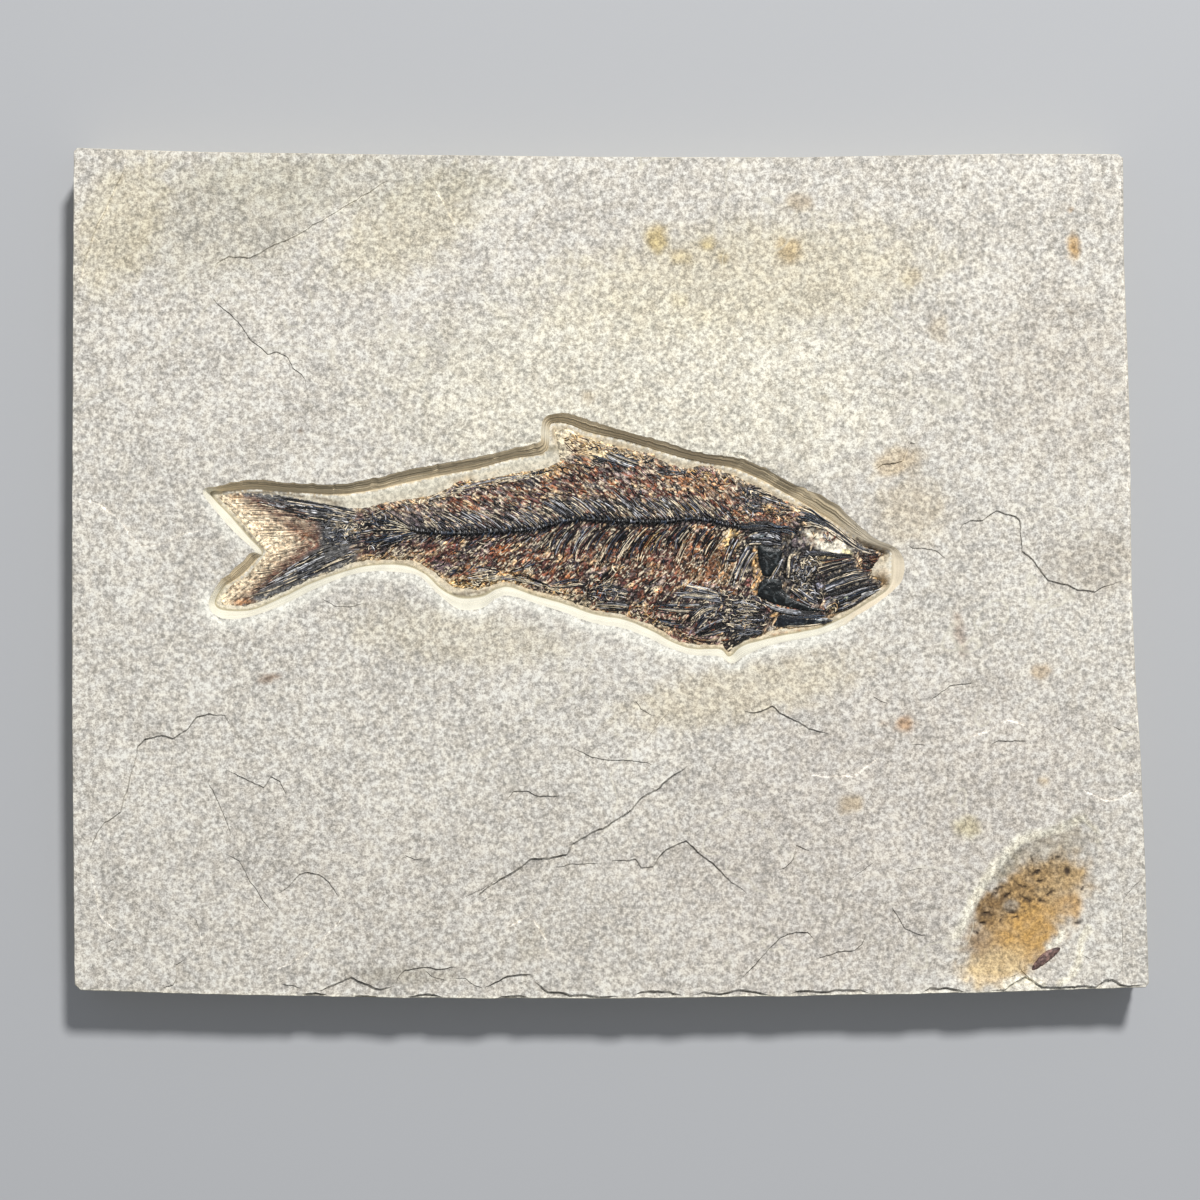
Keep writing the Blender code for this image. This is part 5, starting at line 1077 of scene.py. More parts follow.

# fans of bones: how many, how wide, which colours, and the lines they lie between; 'glint' fans are painted
# highlights, and thin 'bright' fans beside dark ones are pale bone partly painted as highlight
bonePieces = dict(
    skullRoof=[
        fan(15, 0.36, "steel", [(41.5, 16), (44.6, 15.2), (47.3, 12.9), (50.4, 11), (53.2, 8.6),
            (56.4, 5.9), (60.8, 5)], [(41.8, 12.2), (45, 12), (48.2, 10.5), (51.2, 8.7), (53.9, 6.7),
            (56.6, 5), (60.2, 4.4)], breaks=0.5),
        fan(5, 0.4, "ink", [(42, 13), (44.2, 12.6), (46.6, 11.6), (48.6, 11)], [(41.4, 11.4), (44, 11.6),
            (46.4, 10.9), (48, 10.1)], breaks=0.7, wiggle=0.25, lift=0.05),
        fan(4, 0.34, "ink", [(44.2, 15), (45.6, 14), (47.4, 12.9), (49.4, 11.9)], [(50.6, 8.8), (52.4, 7.3),
            (54.4, 5.9), (56, 5)], lift=0.06),
        fan(5, 0.26, "pale", [(42.2, 12.4), (45.2, 11.7), (47.6, 10.7), (50, 9.6), (52.6, 7.9)],
            [(43, 10.4), (45.4, 10.6), (48, 10), (50.6, 8.4), (53.4, 6.4)], breaks=0.9, lift=0.08),
        fan(9, 0.4, "dark", [(30.3, 20.1), (33, 19.4), (36.5, 17.5), (40.2, 16)], [(30.5, 17.8), (33.2, 17),
            (36.2, 16.3), (39.8, 15.2)], breaks=0.8, wiggle=0.3),
        fan(7, 0.36, "dark", [(30.2, 17.2), (31.4, 15.8), (33.6, 15)], [(30.4, 14.6), (32.6, 13.8),
            (35.2, 13.8)], breaks=0.8, wiggle=0.3),
        fan(3, 0.5, "ink", [(34.8, 17.8), (36.8, 17.4), (39.2, 16.4)], [(38, 14.2), (39.8, 13.8),
            (41.8, 13.9)], lift=0.08),
        fan(6, 0.3, "brown", [(34, 15.8), (37, 15.3), (40.6, 14.8)], [(35.2, 12.2), (38, 12), (41.4, 12.2)],
            breaks=0.8, wiggle=0.3),
        fan(6, 0.34, "umber", [(56.4, 5.6), (58.6, 5), (60.8, 4.6)], [(56.2, 2.6), (58.2, 2.6), (60, 2.8)],
            breaks=0.6),
        fan(5, 0.34, "umber", [(56.2, 2.4), (57.8, 2.2), (59.6, 2.2)], [(56.4, 0.4), (57.8, 0.6),
            (59, 0.7)], breaks=0.6),
    ],
    browBone=[
        fan(12, 0.42, "ink", [(26.4, 11.6), (30, 11.4), (34, 11.8), (37, 10.8), (40.6, 10.6), (43, 8.9)],
            [(29.8, 9.2), (32.8, 9.6), (36.5, 9.7), (40, 9), (42.2, 8)], breaks=0.7, wiggle=0.3),
        fan(14, 0.4, "steel", [(31, 9.2), (34, 9.4), (37, 9.2), (39.3, 8)], [(30.2, 6.2), (33.2, 6.6),
            (36.5, 6.2), (39, 6.2)], breaks=0.7, wiggle=0.3),
        fan(4, 0.4, "glint", [(31.8, 8.7), (33, 8.6), (34.2, 8.9)], [(31.9, 8), (33, 7.9), (33.9, 8.1)],
            breaks=0.2, lift=0.12),
        fan(4, 0.26, "glint", [(34.6, 9.2), (36.6, 9), (38.4, 8.4)], [(34.6, 8.2), (36.4, 7.9),
            (38.2, 7.2)], breaks=0.8, wiggle=0.3, lift=0.12),
        fan(4, 0.5, "ink", [(34.2, 11.5), (36.2, 11.2), (37, 10.4), (40.2, 10.8)], [(34.8, 11),
            (36.4, 10.6), (37.6, 10.1), (40.6, 10.1)], lift=0.1),
    ],
    shoulderBones=[
        fan(9, 0.42, "arcs", [(33.5, 5.4), (31.9, 3.4), (30.8, 1.4), (29.8, -0.8), (29.4, -2.6)],
            [(30.6, 7.6), (29.6, 5), (28.2, 2.4), (27, -0.6), (26, -3.2)], breaks=0.4),
        fan(3, 0.3, "pale", [(33, 5), (31.6, 3), (30.3, 0.6), (29.6, -1.6)], [(32.2, 5.4), (30.8, 3),
            (29.6, 0.8), (28.8, -1.4)], lift=0.1),
        fan(7, 0.32, "mixed", [(29.4, 8.6), (28.2, 6.4), (27, 3.6), (26.2, 1)], [(27.2, 8.4), (26, 6),
            (24.8, 3.2), (24.2, 0.6)], breaks=0.5),
        fan(3, 0.42, "ink", [(28.6, 3.8), (27.4, 3.4), (25.8, 3.2)], [(28.6, 2.8), (27, 2.6), (25.8, 2.8)],
            lift=0.08),
    ],
    cheekBones=[
        fan(2, 0.34, "pale", [(41.2, 5), (40.4, 3.4), (40.2, 1), (40.1, -1.8)], [(40.8, 5.2), (39.9, 3.4),
            (39.8, 1), (39.8, -1.6)], lift=0.12),
        fan(4, 0.4, "ink", [(41.8, 4.6), (41, 3), (40.9, 0.6), (41, -1.8)], [(39.8, 4.8), (39, 3.2),
            (38.6, 1), (38.8, -1.4)], lift=0.02),
        fan(4, 0.3, "ashen", [(39.2, 4), (37.9, 1.6), (37, -0.2), (35.9, -2.4)], [(38.6, 3.4), (37.2, 1),
            (36.2, -0.6), (35.2, -1.8)], lift=0.08),
        fan(3, 0.24, "ashen", [(37.6, -2.4), (37.8, -3.8), (39, -4.8), (40.4, -5.2)], [(36, -4.6),
            (37.4, -5.4), (38.6, -5.9), (40, -6.1)], breaks=0.2, lift=0.12),
        fan(7, 0.32, "arcs", [(39.8, -3.4), (41.2, -4.8), (42.8, -6), (45.2, -7.4)], [(41.4, -3),
            (43.2, -3.8), (45.2, -5.4), (47.6, -6.6)], breaks=0.5, lift=0.04),
        fan(6, 0.44, "ink", [(42.6, 4.7), (45.6, 4.9), (48, 4.9), (51, 4.5), (54.4, 4.5)], [(42.4, 3.6),
            (45.4, 4), (48.2, 4.1), (51.4, 3.8), (54.8, 3.6)], breaks=0.4, wiggle=0.12),
        fan(9, 0.27, "rosy", [(46.4, 3.2), (49.4, 3.4), (52.4, 3.7), (54.8, 3.9)], [(46.2, -0.2), (49.2, 1),
            (52.2, 1.9), (55.2, 2.8)], breaks=0.6, lift=0.04),
        fan(7, 0.36, "ink", [(46.4, 2.8), (49.4, 3.2), (52.4, 3.5), (54.8, 3.6)], [(46.6, -0.6),
            (49.6, 0.6), (52.4, 1.6), (55.6, 2.4)], breaks=0.4),
    ],
    jawBones=[
        fan(16, 0.34, "slaty", [(47.8, -1.4), (51, 0.1), (54, 1.3), (57.4, 1.6)], [(47.4, -5), (51, -3.8),
            (55, -2.4), (59.2, -1.3)], breaks=0.6),
        fan(6, 0.24, "ashen", [(48.4, -0.9), (51.4, 0.4), (54.4, 1.2), (57, 1.2)], [(48.2, -4.5),
            (51.6, -3.3), (55, -2.1), (58.8, -1.2)], breaks=0.7, lift=0.07),
        fan(3, 0.46, "ink", [(47.6, -5), (51, -4.1), (55, -2.7), (59.4, -1.6)], [(47.8, -5.6), (51.2, -4.7),
            (55.2, -3.2), (59.4, -2.1)], breaks=0.1, lift=0.08),
        fan(15, 0.38, "slaty", [(49.6, -5.4), (52.8, -4.4), (56.4, -3.1), (61, -2.4)], [(50.4, -9),
            (53.4, -7.9), (57.2, -5.7), (61, -3.2)], breaks=0.5),
        fan(4, 0.28, "glint", [(56.6, -4.4), (58.8, -3.9), (61, -3.2)], [(55.6, -5.8), (58, -4.8),
            (60.6, -3.5)], breaks=0.7, lift=0.1),
        fan(5, 0.26, "ashen", [(51.6, -6.6), (54, -6), (56.6, -4.8)], [(51.4, -8.4), (54.2, -7.3),
            (57, -5.6)], breaks=0.7, lift=0.08),
        fan(8, 0.3, "pale", [(47.8, -5.9), (49.2, -5.2), (50.9, -4.6)], [(48.2, -8.6), (49.8, -7.3),
            (51.2, -7)], breaks=0.5, lift=0.05),
        fan(3, 0.3, "rosy", [(49, -7.6), (50.2, -6.5), (51, -6.8), (50.9, -8.6)], [(49.8, -8.2),
            (50.4, -7.4), (50.6, -7.8), (50.4, -9)], lift=0.1),
        fan(8, 0.4, "slaty", [(37.8, -9.3), (42, -9.6), (46, -9.7), (50.2, -10.4)], [(37, -11.8),
            (41.4, -12), (46, -11.6), (49.6, -10.8)], breaks=0.4),
        fan(2, 0.34, "glint", [(45.9, -10.2), (47.4, -10.1), (49.2, -10.1)], [(45.8, -10.5), (47.4, -10.4),
            (49, -10.4)], breaks=0.1, lift=0.3),
        fan(5, 0.3, "ashen", [(34.6, -6), (37, -7.2), (39.6, -8), (42.6, -8.4)], [(34.2, -6.6), (36.6, -8),
            (39.4, -8.8), (43.6, -9.2)], breaks=0.5, lift=0.1),
        fan(7, 0.46, "ink", [(34, -6.2), (38, -7.6), (43, -8.2), (48.4, -8.6)], [(35.4, -7.6), (38.6, -8.9),
            (43, -9.5), (49.6, -9.7)]),
    ],
    throatBones=[
        fan(26, 0.34, "dark", [(35.2, -6.8), (32, -5.6), (28.6, -5.2), (25.2, -5.4)], [(36, -11.6),
            (32.4, -12.4), (29, -12.6), (25.6, -12.2)], breaks=0.8, wiggle=0.3, start=0.35, end=0.35),
        fan(12, 0.24, "bright", [(34.8, -7.2), (32, -6.2), (28.6, -5.6), (25.4, -5.8)], [(35.4, -11),
            (32.4, -12), (29, -12.2), (26, -11.8)], breaks=0.9, wiggle=0.3, lift=0.08, start=0.5, end=0.4),
        fan(12, 0.42, "ink", [(34.8, -12), (31.4, -12.6), (28.4, -12.2), (26.2, -12.8)], [(34.6, -13.5),
            (31, -14.6), (28.4, -16), (26.7, -17.4)], breaks=0.5, wiggle=0.2),
        fan(4, 0.22, "ashen", [(35, -12.8), (32, -12.4), (29, -12.9)], [(33, -14), (29.4, -14.4),
            (27.2, -16.2)], breaks=0.8, wiggle=0.3, lift=0.1),
        fan(14, 0.32, "steel", [(26.4, -9.8), (23.4, -10.8), (20.4, -12.4), (18.6, -13.4)], [(27.4, -12.8),
            (24.8, -13.5), (22, -14.1), (19.4, -14.3)], breaks=0.5),
        fan(9, 0.26, "brown", [(24.8, -14.4), (22, -14.9), (18.6, -14.2), (15, -12.4)], [(24.4, -15.3),
            (21.6, -15.6), (17.6, -15), (13.8, -13.2)], breaks=0.6, wiggle=0.3),
        fan(2, 0.3, "rosy", [(33.8, -6.4), (34.8, -7.2), (35.8, -9)], [(36.2, -11.6), (37.4, -10.6),
            (38.2, -9.8)], breaks=0.1, lift=0.1),
    ],
    pectoralRays=[
        fan(15, 0.34, "steel", [(26.6, -4.9), (23, -3.8), (19, -2.6), (15.2, -1.9)], [(25.6, -6.6),
            (21, -5.9), (17, -5.4), (13.4, -5.2)], end=0.2),
        fan(4, 0.26, "bright", [(24.8, -5.2), (21.6, -4.8), (18.4, -4.4), (15.8, -4.6)], [(24.2, -6),
            (21, -5.5), (18, -5.2), (15, -5)], lift=0.08),
        fan(8, 0.36, "ink", [(22.6, -6.5), (17, -6.5), (12, -6.6), (8.4, -6.7)], [(20, -9.4), (16, -9.3),
            (12.6, -9), (9.6, -8.2)], breaks=0.4, end=0.3),
        fan(5, 0.26, "bright", [(22, -6.8), (17, -6.9), (12.4, -7), (9, -7)], [(18, -9), (15, -8.9),
            (12.6, -8.6), (10.2, -8)], breaks=0.5, lift=0.06, end=0.3),
        fan(11, 0.38, "ink", [(24.8, -6.7), (21, -7.3), (18, -9), (15.8, -11.4)], [(25.6, -7.6),
            (22.4, -8.6), (20.8, -10.6), (19.2, -12.8)], end=0.2),
        fan(7, 0.25, "bright", [(24.2, -6.9), (20.4, -7.6), (18.4, -9.2), (16.4, -11.2)], [(24.4, -7.9),
            (22, -9), (20.4, -10.8), (19.6, -12)], lift=0.08, end=0.3),
        fan(7, 0.32, "dark", [(16.4, -10.6), (12.6, -10.3), (9.8, -9.6)], [(17, -12.2), (13.6, -12),
            (11, -11.2)], breaks=0.5),
    ],
    pelvicRays=[
        fan(9, 0.34, "ink", [(5.4, -7.2), (2, -6.3), (-1, -6), (-3.8, -6.2)], [(5.2, -8.2), (1.6, -8.3),
            (-1, -8.3), (-4.2, -7.9)], breaks=0.4, end=0.2),
        fan(5, 0.24, "bright", [(5, -7.3), (2, -6.7), (-1, -6.4), (-3.6, -6.6)], [(4.6, -8), (1.6, -8),
            (-1, -8), (-4.4, -7.7)], breaks=0.4, lift=0.08),
        fan(14, 0.28, "arcs", [(4.6, -4.2), (1.5, -2.8), (-1.8, -1.9), (-4.2, -2.2)], [(3.8, -5.8),
            (1, -5.3), (-1.6, -4.9), (-4.8, -4.6)], breaks=0.6, wiggle=0.2, start=0.25, end=0.3),
        fan(5, 0.3, "arcs", [(0.2, 1.6), (-1.8, -0.6), (-4.4, -3.2)], [(1.8, 0.8), (0, -1.2), (-3, -3.4)]),
        fan(4, 0.34, "ink", [(-5, -1.9), (-9.6, -2.6), (-14.6, -3.1)], [(-4.6, -2.5), (-9.6, -3.1),
            (-14.2, -3.4)]),
        fan(2, 0.24, "bright", [(-5.6, -2), (-9.6, -2.5), (-12.6, -2.9)], [(-5.6, -2.4), (-9.6, -2.9),
            (-13.2, -3.2)], lift=0.07),
        fan(4, 0.32, "dark", [(-6.6, -1.2), (-10.6, -2.2), (-14, -2.6)], [(-7, -0.8), (-10.8, -1.4),
            (-13.4, -2.4)]),
        fan(3, 0.34, "arcs", [(-13.8, -2.4), (-16.4, -1.4), (-19.4, -0.8)], [(-13.6, -2.9), (-16, -2),
            (-18.8, -1.4)]),
    ],
    analRays=[
        fan(8, 0.28, "arcs", [(-24.4, 1), (-27.4, 1.6), (-30.2, 1.3), (-33.6, 0.6)], [(-24.8, -0.3),
            (-27.4, -0.7), (-30, -1.2), (-31.6, -1.4)], breaks=0.4, wiggle=0.15, end=0.3),
        fan(16, 0.2, "fin", [(-25.6, -0.6), (-30, -0.8), (-35.6, -0.6)], [(-25.4, -1.6), (-29, -2.2),
            (-35.6, -2.3)], breaks=0.6, start=0.6, end=0.4),
        fan(5, 0.24, "mixed", [(-17, 2.6), (-20.2, 1.4), (-24, 0.2)], [(-17.6, 1.4), (-20.4, 0.8),
            (-23.6, -0.2)], start=0.3, end=0.4),
    ],
    dorsalFinRays=[
        fan(8, 0.34, "steel", [(8.2, 24.9), (5, 25.9), (1.8, 27.2), (-1.2, 28.6)], [(5.2, 23.6), (3, 24.2),
            (0.6, 25.2), (-1.4, 26.6)], breaks=0.4),
        fan(4, 0.24, "bright", [(7.6, 24.8), (5, 25.6), (1.8, 26.8), (-0.8, 28)], [(5.2, 24), (3, 24.6),
            (0.6, 25.6), (-1.2, 26.6)], breaks=0.5, lift=0.06),
        fan(7, 0.3, "dark", [(1.6, 25.2), (-1.6, 26), (-4.8, 27)], [(2, 23.8), (-1, 24.5), (-4.4, 25.4)],
            breaks=0.5),
        fan(13, 0.2, "fin", [(-3.4, 29.2), (-6, 30.3), (-9.6, 31.2)], [(-4.2, 26.2), (-7.4, 27.2),
            (-10.4, 27.6)], breaks=0.7, start=0.5, end=0.3),
        fan(7, 0.2, "fin", [(-5.2, 28.4), (-7.6, 30.2), (-9.2, 31.4)], [(-7.2, 26), (-9.2, 27.6),
            (-10.8, 29.4)], breaks=0.6, start=0.3, end=0.5),
        fan(9, 0.24, "brown", [(4, 27.2), (0.6, 28.2), (-3.8, 29.5)], [(1.2, 26.8), (-1.6, 27.8),
            (-5.4, 28.6)], breaks=0.5, start=0.4, end=0.4),
        fan(3, 0.42, "ink", [(9.9, 26), (8.6, 25.6), (7.2, 25.1)], [(10, 25.4), (8.8, 25.1), (7.4, 24.7)]),
        fan(9, 0.3, "dark", [(17.6, 23.2), (14, 23.2), (10.4, 24.2)], [(17.2, 22.4), (13.6, 22),
            (10, 22.6)], breaks=0.7, wiggle=0.3),
    ],
    tailRays=[
        fan(44, 0.26, "tail", [(-56.6, 13.9), (-66, 15.7), (-76, 17.3), (-86.2, 17)], [(-57, 12.6),
            (-66, 13.8), (-76, 14.8), (-85, 15)], [(-57.4, 11), (-66, 11.4), (-76, 11.6), (-82.4, 11.8)],
            [(-57.8, 9.4), (-66, 8.9), (-72, 8.2), (-78.8, 7.6)], breaks=2, wiggle=0.07, start=0.2,
            end=0.12),
        fan(44, 0.26, "tail", [(-57.8, 8.8), (-66, 7.2), (-72, 5.8), (-77.2, 4.9)], [(-57.6, 7.2),
            (-66, 4.4), (-74, 1.8), (-79.8, 1.2)], [(-57.2, 5.6), (-66, 1.9), (-74, -1.4), (-83, -3.2)],
            [(-56.6, 4), (-66, -0.2), (-76, -4.2), (-85.8, -6)], breaks=2, wiggle=0.07, start=0.2,
            end=0.12),
        fan(20, 0.3, "tailLines", [(-57.2, 13.6), (-66, 15.3), (-76, 16.9), (-84, 17.3)], [(-57.6, 10.8),
            (-64, 11.6), (-70, 12.6), (-78, 15.6)], breaks=3, lift=0.03, start=0.5, end=0.6),
        fan(22, 0.3, "tailLines", [(-57, 4.4), (-66, 0.3), (-76, -3.9), (-84.4, -6.1)], [(-57.6, 7.8),
            (-64, 5.8), (-70, 2.8), (-79, -3)], breaks=3, lift=0.03, start=0.5, end=0.6),
        fan(5, 0.34, "ink", [(-56, 5.3), (-60, 4.2), (-64, 2.2), (-68.6, -0.2)], [(-56.6, 3.9), (-61, 2.4),
            (-65, 0.6), (-70, -1.8)], lift=0.06, end=0.3),
        fan(4, 0.24, "bright", [(-56.4, 5), (-60, 4), (-64, 2), (-67.4, 0.3)], [(-57.6, 4), (-61, 2.8),
            (-65, 1), (-68.4, -0.8)], lift=0.12, end=0.35),
        fan(7, 0.3, "slaty", [(-56.6, 13.9), (-62, 15.1), (-68, 16.2), (-76, 17.4)], [(-57.2, 12.2),
            (-62, 13.4), (-67, 14.5), (-72, 15.8)], breaks=0.4, lift=0.05, end=0.3),
        fan(4, 0.24, "bright", [(-56.6, 13.4), (-59.6, 14), (-63, 15), (-65.4, 15.9)], [(-56.8, 12.6),
            (-59.6, 13.2), (-62.6, 13.9), (-65, 14.4)], breaks=0.8, lift=0.08, end=0.3),
    ],
    dorsalEdge=[
        fan(2, 0.3, "ink", [(-29.8, 21), (-26, 21.3), (-21, 22.2), (-15, 23), (-11.4, 24.6)],
            [(-29.8, 20.5), (-26, 20.9), (-21, 21.7), (-15, 22.5), (-11, 24)], breaks=1.4, wiggle=0.3,
            lift=0.06),
        fan(22, 0.3, "pale", [(-44, 16.2), (-36, 18.8), (-30, 20.4), (-21, 21.9), (-12.4, 24.2)],
            [(-43, 15.2), (-36, 17.4), (-30, 19.4), (-21, 20.9), (-11.4, 22.8)], breaks=4, wiggle=0.2,
            lift=0.08, start=0.9, end=0.9),
        fan(14, 0.3, "pale", [(-34.6, -2), (-28, -1.8), (-22, -1.4), (-14, -3.4), (-7.4, -5.8)],
            [(-34, -1.2), (-28, -0.8), (-22, -0.4), (-14, -2.6), (-7, -5)], breaks=4, wiggle=0.2, lift=0.06,
            start=0.9, end=0.9),
    ],
    ribBundles=[
        fan(6, 0.26, "arcs", [(0.4, 9.4), (-1.9, 6.4), (-3.8, 2.6), (-4.8, 0)], [(2.6, 9.2), (0.4, 6.2),
            (-1.3, 2.6), (-2.1, 0.4)], breaks=0.6, lift=0.12, end=0.3),
        fan(6, 0.26, "arcs", [(5.8, 9.6), (3.7, 7), (1.8, 4), (0.9, 1)], [(7.8, 9.4), (5.6, 6.6),
            (3.8, 3.6), (2.7, 0.4)], breaks=0.6, lift=0.12, end=0.3),
        fan(4, 0.24, "golden", [(11.2, 9.8), (8.6, 7.2), (6.8, 4.2), (6, 1.8)], [(13.6, 9.8), (11.2, 7.2),
            (9.2, 4.4), (8.4, 2)], breaks=0.8, lift=0.12, end=0.4),
        fan(4, 0.26, "arcs", [(18.6, 10.4), (16.2, 7), (14.6, 3.4), (13.8, 0.4)], [(20.2, 10.2), (18, 7),
            (16.2, 3.4), (15.4, 0.4)], breaks=0.6, lift=0.12, end=0.3),
        fan(5, 0.26, "arcs", [(24.4, 9.2), (22.4, 6.6), (20.9, 3.6), (20.1, 1)], [(26.6, 9), (24.4, 6.4),
            (22.6, 3.6), (21.9, 0.8)], breaks=0.6, lift=0.12, end=0.3),
        fan(5, 0.24, "arcs", [(-13.6, 8.8), (-16.4, 6.2), (-19, 4.6)], [(-9.6, 9.4), (-12.6, 6.4),
            (-15.4, 4.4)], breaks=0.8, lift=0.12, end=0.3),
        fan(7, 0.24, "arcs", [(-9.8, 12.6), (-13.2, 14.6), (-17, 16.6)], [(-6.6, 12.8), (-10.2, 15.6),
            (-14.2, 18)], breaks=0.6, lift=0.1, end=0.3),
        fan(5, 0.24, "arcs", [(4.4, 14.4), (1.4, 17.2), (-1.2, 19.6)], [(7.6, 14.4), (5.2, 17.2),
            (2.8, 20.2)], breaks=0.8, lift=0.1, end=0.4),
        fan(5, 0.24, "golden", [(16.6, 13.6), (14.2, 16.6), (12.2, 19.2)], [(24.6, 13.2), (21.6, 16.6),
            (18.6, 20)], breaks=0.8, lift=0.1, end=0.4),
        fan(6, 0.24, "arcs", [(-34.6, 10.6), (-38.6, 12.6), (-42.6, 14.2)], [(-27.6, 10.8), (-31.6, 13.4),
            (-36, 15.4)], breaks=0.8, lift=0.1, end=0.4),
    ],
    hypuralFan=[
        fan(13, 0.4, "ink", [(-45.2, 10.2), (-47.4, 12.2), (-50.4, 14.4)], [(-45, 9.9), (-49.4, 11.2),
            (-55.2, 11.8)], [(-44.6, 9.5), (-49.4, 8.9), (-55.6, 8)], [(-42, 9), (-47.6, 6.9),
            (-54.8, 4.8)], breaks=0.4, end=0.2),
        fan(9, 0.22, "bright", [(-45.4, 10.4), (-47.2, 12), (-49.4, 13.6)], [(-45.2, 10), (-48.4, 10.9),
            (-51.8, 11.4)], [(-44.8, 9.6), (-48.4, 9.2), (-52, 8.6)], [(-42, 8.7), (-47.6, 6.9),
            (-53.4, 5.2)], breaks=0.5, lift=0.1, end=0.4),
        fan(6, 0.4, "blueish", [(-46.6, 9), (-49, 8.7), (-51.6, 8)], [(-46.4, 7.9), (-48.6, 7.4),
            (-50.8, 6.8)], lift=0.04, end=0.2),
        fan(12, 0.28, "slaty", [(-50.6, 14.8), (-54.4, 13.6), (-58, 13.2)], [(-52.4, 5), (-56.4, 5.2),
            (-60, 4.6)], breaks=0.7, wiggle=0.2),
    ],
)

# short bits heaped in a patch: middle, half length, half width, turn, count, lean, spread, colours
bonePatches = [
    (44, 0.6, 3.4, 4.4, 0, 150, 30, 60, "cheek"), (44.6, -4.2, 3.2, 1.6, -25, 34, -35, 30, "cheek"),
    (50, -7.2, 1.8, 1.8, 0, 18, 40, 50, "cheek"), (30.8, -6.8, 4.2, 1.6, 0, 60, 0, 50, "cheek"),
    (30.6, -10, 4.6, 1.7, 0, 66, 0, 40, "dark"), (38, 13.6, 4, 2.2, -10, 46, 10, 60, "rosy"),
    (32.4, 16.2, 2.6, 3.2, 0, 54, 20, 60, "dark"), (58.2, 3, 2.2, 2, 0, 22, 10, 40, "umber"),
    (8, -8.6, 4.6, 1.4, -14, 42, 20, 50, "rosy"), (24, -9.6, 3.2, 2.2, 0, 34, 20, 50, "cheek"),
    (-60.6, 9.8, 4.2, 4, 0, 120, 8, 40, "slaty"), (-52, 9.4, 5.2, 4.2, 0, 90, 10, 50, "slaty"),
    (-58, 10.2, 3, 2, 0, 26, 10, 50, "bright"), (16, -14.2, 4.6, 1.2, -10, 30, 20, 40, "rosy"),
    (-2, -3.6, 5.4, 2.2, 0, 60, 20, 40, "arcs"), (22, -4, 7, 1.6, -10, 40, 0, 50, "arcs"),
    (28.2, 13.2, 3.4, 2.6, 0, 44, 30, 50, "brown"), (-30, 21, 5, 0.8, 6, 46, 10, 40, "golden"),
    (-20, 22.3, 5.4, 0.8, 10, 50, 10, 40, "golden"), (-41, 17, 4.4, 0.8, 14, 30, 14, 40, "golden"),
    (-13, 24, 2.6, 0.9, 28, 16, 28, 40, "golden"), (-6, 29.4, 5, 1.6, -16, 50, -24, 34, "golden"),
    (4, 27, 4.4, 0.9, -12, 30, -14, 34, "golden"), (-30, -2, 5.2, 0.8, 2, 44, 0, 40, "golden"),
    (-21, -1.3, 4.2, 0.8, -4, 36, 0, 40, "golden"), (-13, -4, 5, 0.7, -13, 26, -14, 40, "golden"),
    (9, -10.6, 5.4, 0.9, -20, 26, -16, 40, "golden"), (-50, 3.6, 6, 0.7, 0, 24, 0, 40, "golden"),
    (22, 21.8, 5, 1.2, -20, 30, 0, 50, "golden"), (36, 17, 3, 0.7, -24, 14, -24, 30, "golden"),
    (48, 8.4, 3, 0.9, -14, 16, 10, 60, "orbit")]


def turnedBlank(sides, start, rings, tip):
    # a bone modelled once, from a cylinder: waisted at each ring, with its ends drawn in
    bpy.ops.object.select_all(action="DESELECT")
    bpy.ops.mesh.primitive_cylinder_add(vertices=sides, radius=0.5, depth=1, location=(start + 0.5, 0, 0),
                                        rotation=(0, math.radians(90), 0))
    blank = bpy.context.active_object
    bpy.ops.object.transform_apply(location=True, rotation=True, scale=True)
    bpy.ops.object.mode_set(mode="EDIT")
    for place, girth in rings:
        bpy.ops.mesh.select_all(action="SELECT")
        bpy.ops.mesh.bisect(plane_co=(place, 0, 0), plane_no=(1, 0, 0))
        bpy.ops.transform.resize(value=(1, girth, girth))
    bpy.ops.object.mode_set(mode="OBJECT")
    shape = np.array([tuple(v.co) for v in blank.data.vertices])
    faces = [tuple(p.vertices) for p in blank.data.polygons]
    bpy.data.objects.remove(blank)
    shape[np.abs(shape[:, 0] - start - 0.5) > 0.499, 1:] *= tip
    return shape, faces


longBlank = turnedBlank(6, 0, [(0.06, 0.8), (0.16, 1), (0.3, 1.05), (0.44, 1), (0.58, 0.95),
                               (0.72, 0.85), (0.86, 0.7)], 0.3)
shortBlank = turnedBlank(6, 0, [(0.15, 0.9), (0.4, 1.05), (0.7, 0.85)], 0.3)
beadBlank = turnedBlank(10, -0.5, [(-0.36, 1), (-0.2, 0.7), (0, 0.52), (0.2, 0.7), (0.36, 1)], 1)


def fanLines(rays):
    # lines spread evenly between a fan's guides
    steps = 14
    guides = [alongPath(smoothPath(guide, 0.4), np.linspace(0, 1, steps))[0] for guide in rays.guides]
    lines = []
    for number in range(rays.count):
        place = (number + 0.5 + dice.uniform(-0.45, 0.45)) / rays.count * (len(guides) - 1)
        index = min(int(place), len(guides) - 2)
        line = guides[index] * (1 - place + index) + guides[index + 1] * (place - index)
        begin = dice.uniform(0, rays.start)
        line = alongPath(line, np.linspace(begin, 1 - dice.uniform(0, rays.end), steps))[0]
        phase = dice.uniform(0, 90)
        sway = [2 * rays.wiggle * noise.noise(Vector((k * 0.45, phase, 0))) for k in range(steps)]
        lines.append(line + sideNormals(line) * np.array(sway)[:, None])
    return lines


